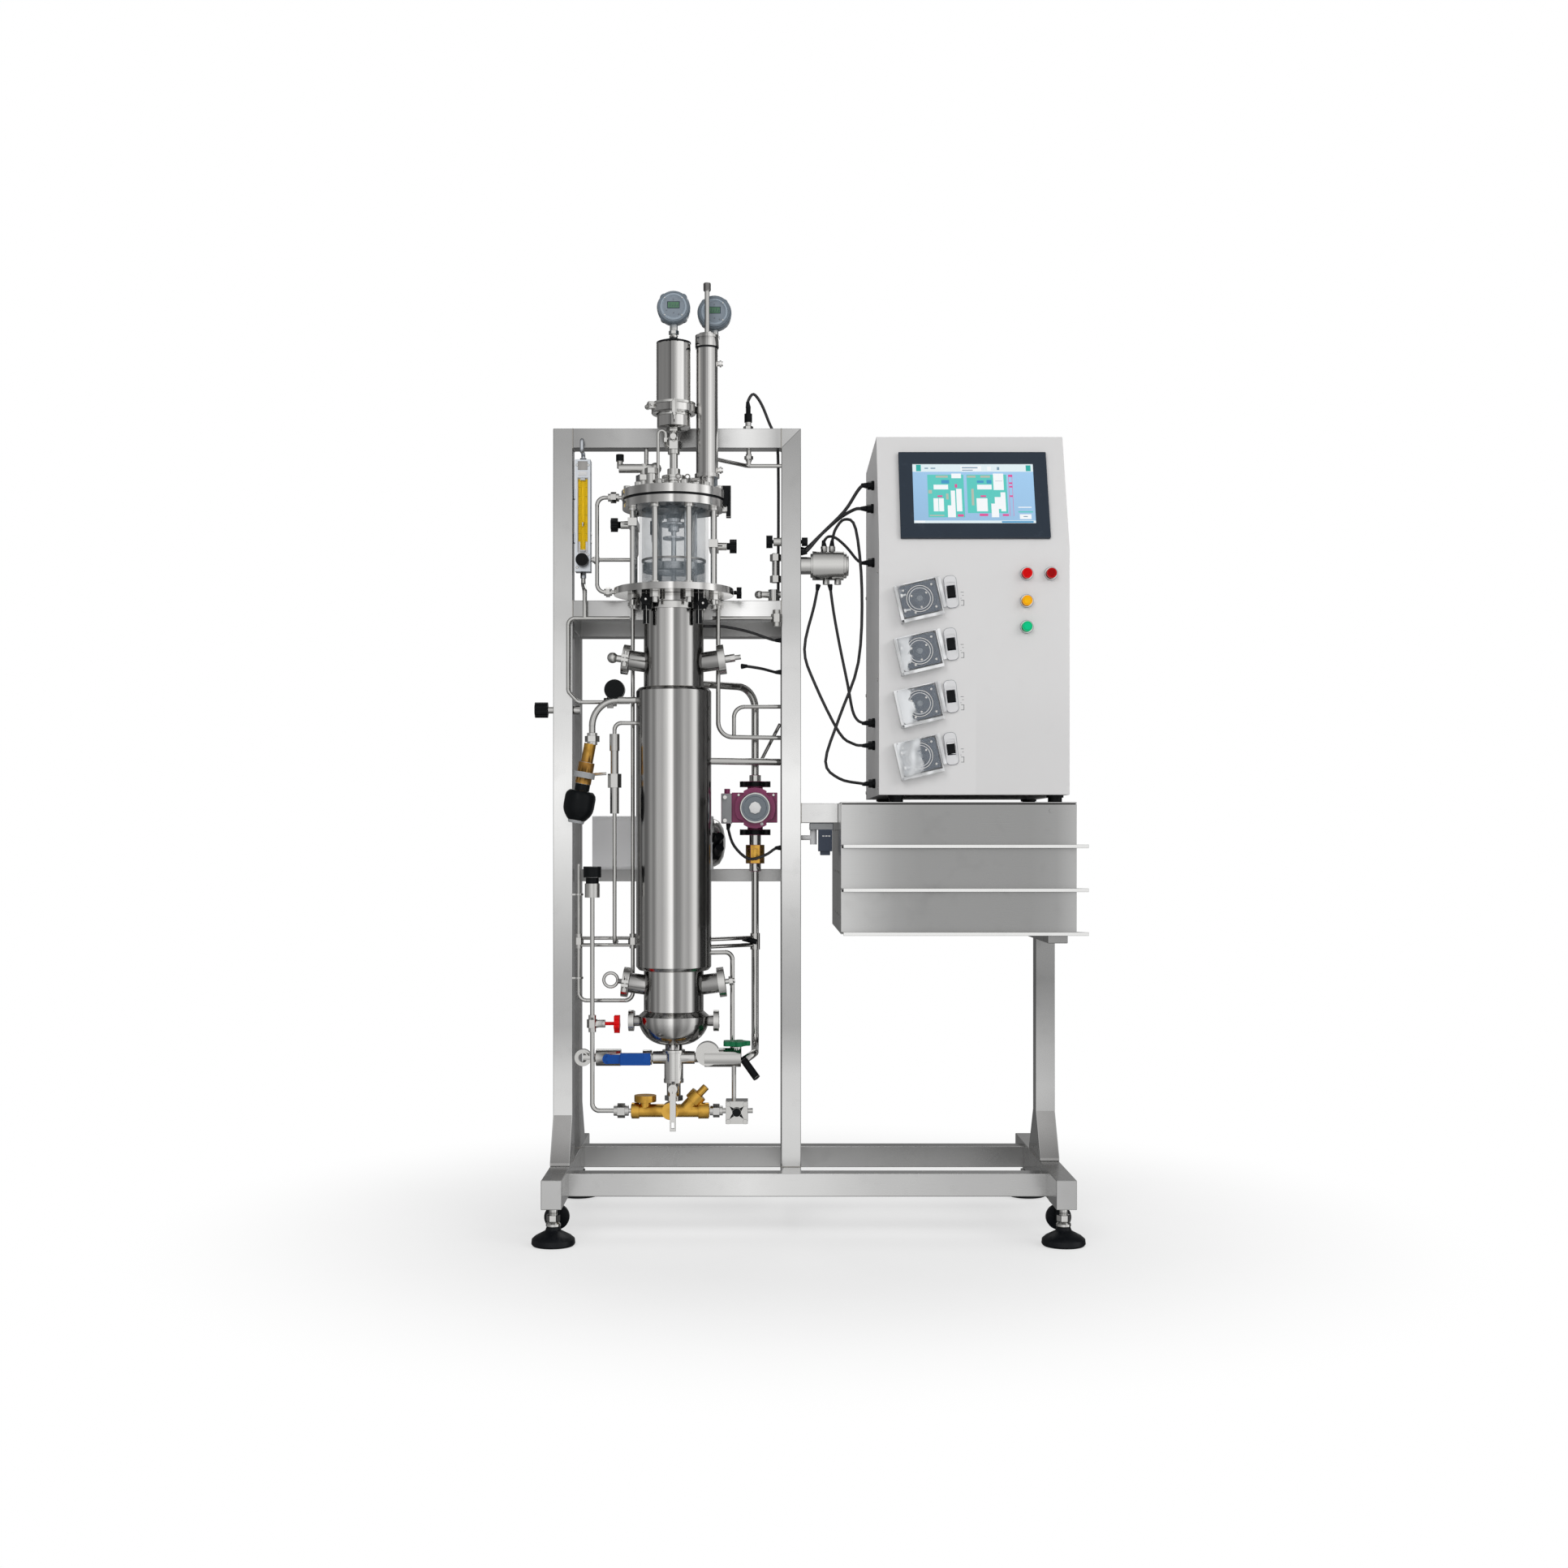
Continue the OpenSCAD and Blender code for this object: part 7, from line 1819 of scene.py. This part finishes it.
@dataclass
class Cabinet:
    """Control cabinet with its screen, buttons and dosing pumps.

    The pumps stand in a column at pump_x from pump_top down by pitch, each turned by spin. The screen
    lies in a plane that leans by lean through seat; its picture reaches wide to both sides and from low
    to high. glands are the places of the cable glands on the left side.
    """

    pump_x: float = 219
    pump_top: float = 1265
    pitch: float = 103
    spin: float = 13.0
    pumps: int = 4
    seat: Point = (331, CABINET_FRONT, 1367)
    lean: float = -20.92
    wide: float = 120.6
    low: float = 51.4
    high: float = 186.6
    side: float = 140
    glands: tuple[Pair, ...] = (
        (-60, 1520), (-40, 1476), (-70, 1360), (-90, 1030), (-90, 984), (-100, 906))

    def _pump_place(self, number: int) -> Matrix:
        """Middle of a pump's base on the cabinet's front, by its number from 0 at the top."""
        return spot(self.pump_x, CABINET_FRONT, self.pump_top - self.pitch * number, Axis.FRONT, self.spin)

    @property
    def _column(self) -> dict:
        """Inputs of a row that repeats a form at every pump."""
        return {"Count": self.pumps, "Step": (0.0, 0.0, -self.pitch / 1000)}

    def build(self) -> None:
        """Dresses the cabinet and what sits on it."""
        socket = Zone(Look.TURNED, (-135, -80, 1630), (-100, -40, 1649))
        plates = (Zone(Look.WHITE, (262, -260, 880), (300, -200, 1330)),
                  Zone(Look.TURNED, (400, -260, 1180), (520, -200, 1340)))
        dress(
            ("cabinet_shell", Look.CABINET, "cabinet_grey", 1.2),
            ("feet_and_glands", Look.BLACK, BLACK, 0.5, socket),
            ("screen", Look.BEZEL, "screen_slate", 1.6),
            ("panel_fittings", Look.SLATE, "panel_slate", 0.6, *plates),
            ("pump_covers", Look.RESIN, "clear_plastic", 0.8))
        for i in range(1, self.pumps + 1):
            dress((f"rotor_{i}", Look.SLATE, "panel_slate", 0.5), (f"rocker_{i}", Look.BLACK, BLACK, 0.5),
                  moving=True)
        dress(
            ("button_stop", Look.RED, "red_cap", 0.8), ("button_alarm", Look.DARK_RED, "dark_red_cap", 0.8),
            ("button_pause", Look.YELLOW, "yellow_cap", 0.8), ("button_start", Look.GREEN, "green_cap", 0.8),
            moving=True)
        self._display()
        self._lenses()
        for i in range(self.pumps):
            self._pump_head(i)
        self._pump_frames()
        self._prints()
        self._fasteners()

    def _display(self) -> None:
        """Lit panel in the recess of the screen, with its picture laid out by UV."""
        panel = Matrix.Translation(self.seat) @ Matrix.Rotation(math.radians(self.lean), 4, "X")
        shape = Shape().block(
            Look.DISPLAY, (-self.wide, -6.9, self.low), (self.wide, -6.45, self.high), panel)
        back = panel.inverted()
        layer = shape.bm.loops.layers.uv.new("picture")
        for face in shape.bm.faces:
            for corner in face.loops:
                here = back @ corner.vert.co
                corner[layer].uv = ((here.x + self.wide) / (2 * self.wide),
                                    (here.z - self.low) / (self.high - self.low))
        shape.piece("screen_picture", "screen_slate")

    def _lenses(self) -> None:
        """Sunk disc on each button's cap."""
        for node, look, slot, x, z in (("button_stop", Look.RED_LENS, "red_cap", 431, 1316),
                                       ("button_alarm", Look.DARK_RED_LENS, "dark_red_cap", 479, 1316),
                                       ("button_pause", Look.AMBER_LENS, "yellow_cap", 431, 1262),
                                       ("button_start", Look.GREEN_LENS, "green_cap", 431, 1211)):
            front = CABINET_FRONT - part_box(node)[0][1] * 1000
            disc = [(0, front - 0.4), (6.6, front - 0.4), (6.9, front + 0.1), (6.4, front + 0.5),
                    (0, front + 0.3)]
            shape = Shape().lathe(look, disc, spot(x, CABINET_FRONT, z, Axis.FRONT), 40)
            shape.piece(node + "_lens", slot, body=node)

    def _pump_head(self, i: int) -> None:
        """Hose stubs, corner screws and rotor marks of one dosing pump."""
        place = self._pump_place(i)
        parts = [screw(Look.TURNED, 2.6, 1.4, place @ spot(x, y, 16)).mesh("corner_screw")
                 for x, y in ((-28.5, 22.5), (28.5, 22.5), (28.5, -22.5), (-14.0, -25.0))]
        head = Shape()
        depth = 18.6
        for y, reach in ((13.0, -25.0), (-17.0, -22.0)):
            hose = [tuple(place @ Vector((x, level, depth)))
                    for x, level in ((-33.6, y), (-30.0, y), (reach, y * 1.04))]
            head.rod(Look.PALE, hose, 2.1, 16)
            head.ring(Look.PIN, 2.1, 3.6, -1.8, 1.8, along(hose[0], hose[1]), 24)
        head.ring(Look.PIN, 25.0, 26.2, 15.9, 16.8, place, 64)
        parts.append(head.mesh("hoses"))
        join(f"pump_head_{i + 1}", parts, "panel_slate")
        hub = Shape()
        hub.ring(Look.PIN, 20.4, 21.4, 16.8, 17.6, place, 64)
        hub.lathe(Look.BLACK, [(0, 16.8), (12.6, 16.8), (13.0, 17.3), (12.4, 18.8), (0, 18.8)], place, 48)
        hub.lathe(Look.SMOKED, [(0, 18.8), (5.6, 18.8), (6.0, 19.4), (4.6, 20.2), (0, 20.2)], place, 32)
        hub.block(Look.PIN, (7.4, -0.6, 16.8), (10.4, 0.6, 17.4), place)
        pin = screw(Look.TURNED, 2.4, 1.2).mesh("roller_pin")
        pins = tree("ring").run("roller_pins", pin, Look.TURNED, place @ spot(0, 0, 16.9, spin=30), Count=3,
                                Radius=0.017)
        join(f"rotor_{i + 1}_marks", [hub.mesh("hub"), pins], "panel_slate", f"rotor_{i + 1}")

    def _pump_frames(self) -> None:
        """Milky rim round each pump's cover, with its hinge block at the right."""
        rim_part = Shape()
        for x0, y0, x1, y1, top in (
                (-45, -40, -38.8, 35, 21), (-45, -40, 41, -33.6, 21), (-45, 32.8, 41, 35, 19),
                (38.8, -40, 41, 35, 19), (42, -27, 49, 35, 15)):
            rim_part.block(Look.MILKY, (x0, y0, 0.6), (x1, y1, top), self._pump_place(0), 0.9)
        rims = tree("row").run("pump_rims", rim_part.mesh("rim"), Look.MILKY, **self._column)
        settle(rims, "pump_frames", "clear_plastic")

    def _prints(self) -> None:
        """Index marks printed beside each rocker."""
        mark = Shape()
        for x0, z0, x1, z1 in ((0, 11, 6, 12), (3, 5, 6, 6), (0, -1, 1.2, 0.2), (1, -5, 7, -4),
                               (6, -14, 7, -4), (1, -15, 7, -14)):
            mark.block(Look.PRINT, (x0, -0.15, z0), (x1, 0.0, z1))
        row = tree("row").run("index_marks", mark.mesh("mark"), Look.PRINT, spot(301, CABINET_FRONT, 1268),
                              **self._column)
        settle(row, "panel_marks", "cabinet_grey")

    def _fasteners(self) -> None:
        """Screws of the back and side panels, and ribs on the cable glands."""
        head = screw(Look.TURNED, 3.6, 1.8).mesh("panel_screw")
        parts = []
        for axis, count, step, starts in ((Axis.BACK, 4, 0.22, [(x, 247, 900) for x in (152, 328, 504)]),
                                          (Axis.LEFT, 3, 0.215, [(self.side, y, 895) for y in (-190, 232)])):
            turned = head.copy()
            turned.transform(axis.value)
            parts += [tree("row").run("screws", turned, Look.TURNED, spot(*start), Count=count,
                                      Step=(0.0, 0.0, step)) for start in starts]
        rib = Shape().block(Look.BLACK, (-0.8, -0.8, 0.5), (0.8, 0.8, 5.5)).mesh("gland_rib")
        ribs = [tree("ring").run("gland_ribs", rib, Look.BLACK, spot(self.side, y, z, Axis.LEFT), Count=18,
                                 Radius=0.009) for y, z in self.glands]
        join("panel_screws", parts, "cabinet_grey")
        join("gland_ribs", ribs, BLACK)


@dataclass
class DrawerUnit:
    """Casing with three drawers under the cabinet; rivets lists the heights of its rivet rows."""

    rivets: tuple[float, ...] = (640, 726, 812)

    def build(self) -> None:
        """Dresses the casing and the drawers."""
        dress(("drawer_casing", Look.SHEET, "brushed_sheet", 0.6))
        for name in ("drawer_top", "drawer_middle", "drawer_bottom"):
            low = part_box(name)[0][2] * 1000
            # The lip takes the lighter steel: painted highlight.
            lip = Zone(Look.LIP, (60, -260, low - 1), (570, -221.6, low + 8))
            tray = Zone(Look.TRAY, (80.8, -222, low + 5), (514.2, 218, low + 80))
            dress((name, Look.SHEET, "brushed_sheet", 0.5, lip, tray), moving=True)
        self._rivets()

    def _rivets(self) -> None:
        """Blind rivets down the sides and back of the casing."""
        dome = Shape().lathe(Look.TURNED, [(0, 1.3), (1.4, 1.1), (2.6, 0.4), (2.9, 0), (0, 0)], steps=16)
        dome = dome.mesh("rivet")
        parts = []
        along_side, along_back = (0.0, 0.086, 0.0), (0.101, 0.0, 0.0)
        for axis, x, y, step in ((Axis.LEFT, 65, -200, along_side), (Axis.RIGHT, 530, -200, along_side),
                                 (Axis.BACK, 95, 249, along_back)):
            turned = dome.copy()
            turned.transform(axis.value)
            parts += [tree("row").run("rivets", turned, Look.TURNED, spot(x, y, z), Count=5, Step=step)
                      for z in self.rivets]
        join("casing_rivets", parts, "brushed_sheet")


def main() -> None:
    """Builds the studio, the cables and every sub-assembly in order."""
    logging.basicConfig(level=logging.INFO, format="%(message)s")
    Studio().build()
    Cables().build()
    for part in (Skid(), Vessel(), HeadFittings(), Piping(), Handles(), Cabinet(), DrawerUnit()):
        part.build()
        log.info("%s done", type(part).__name__)


if __name__ == "__main__":
    main()
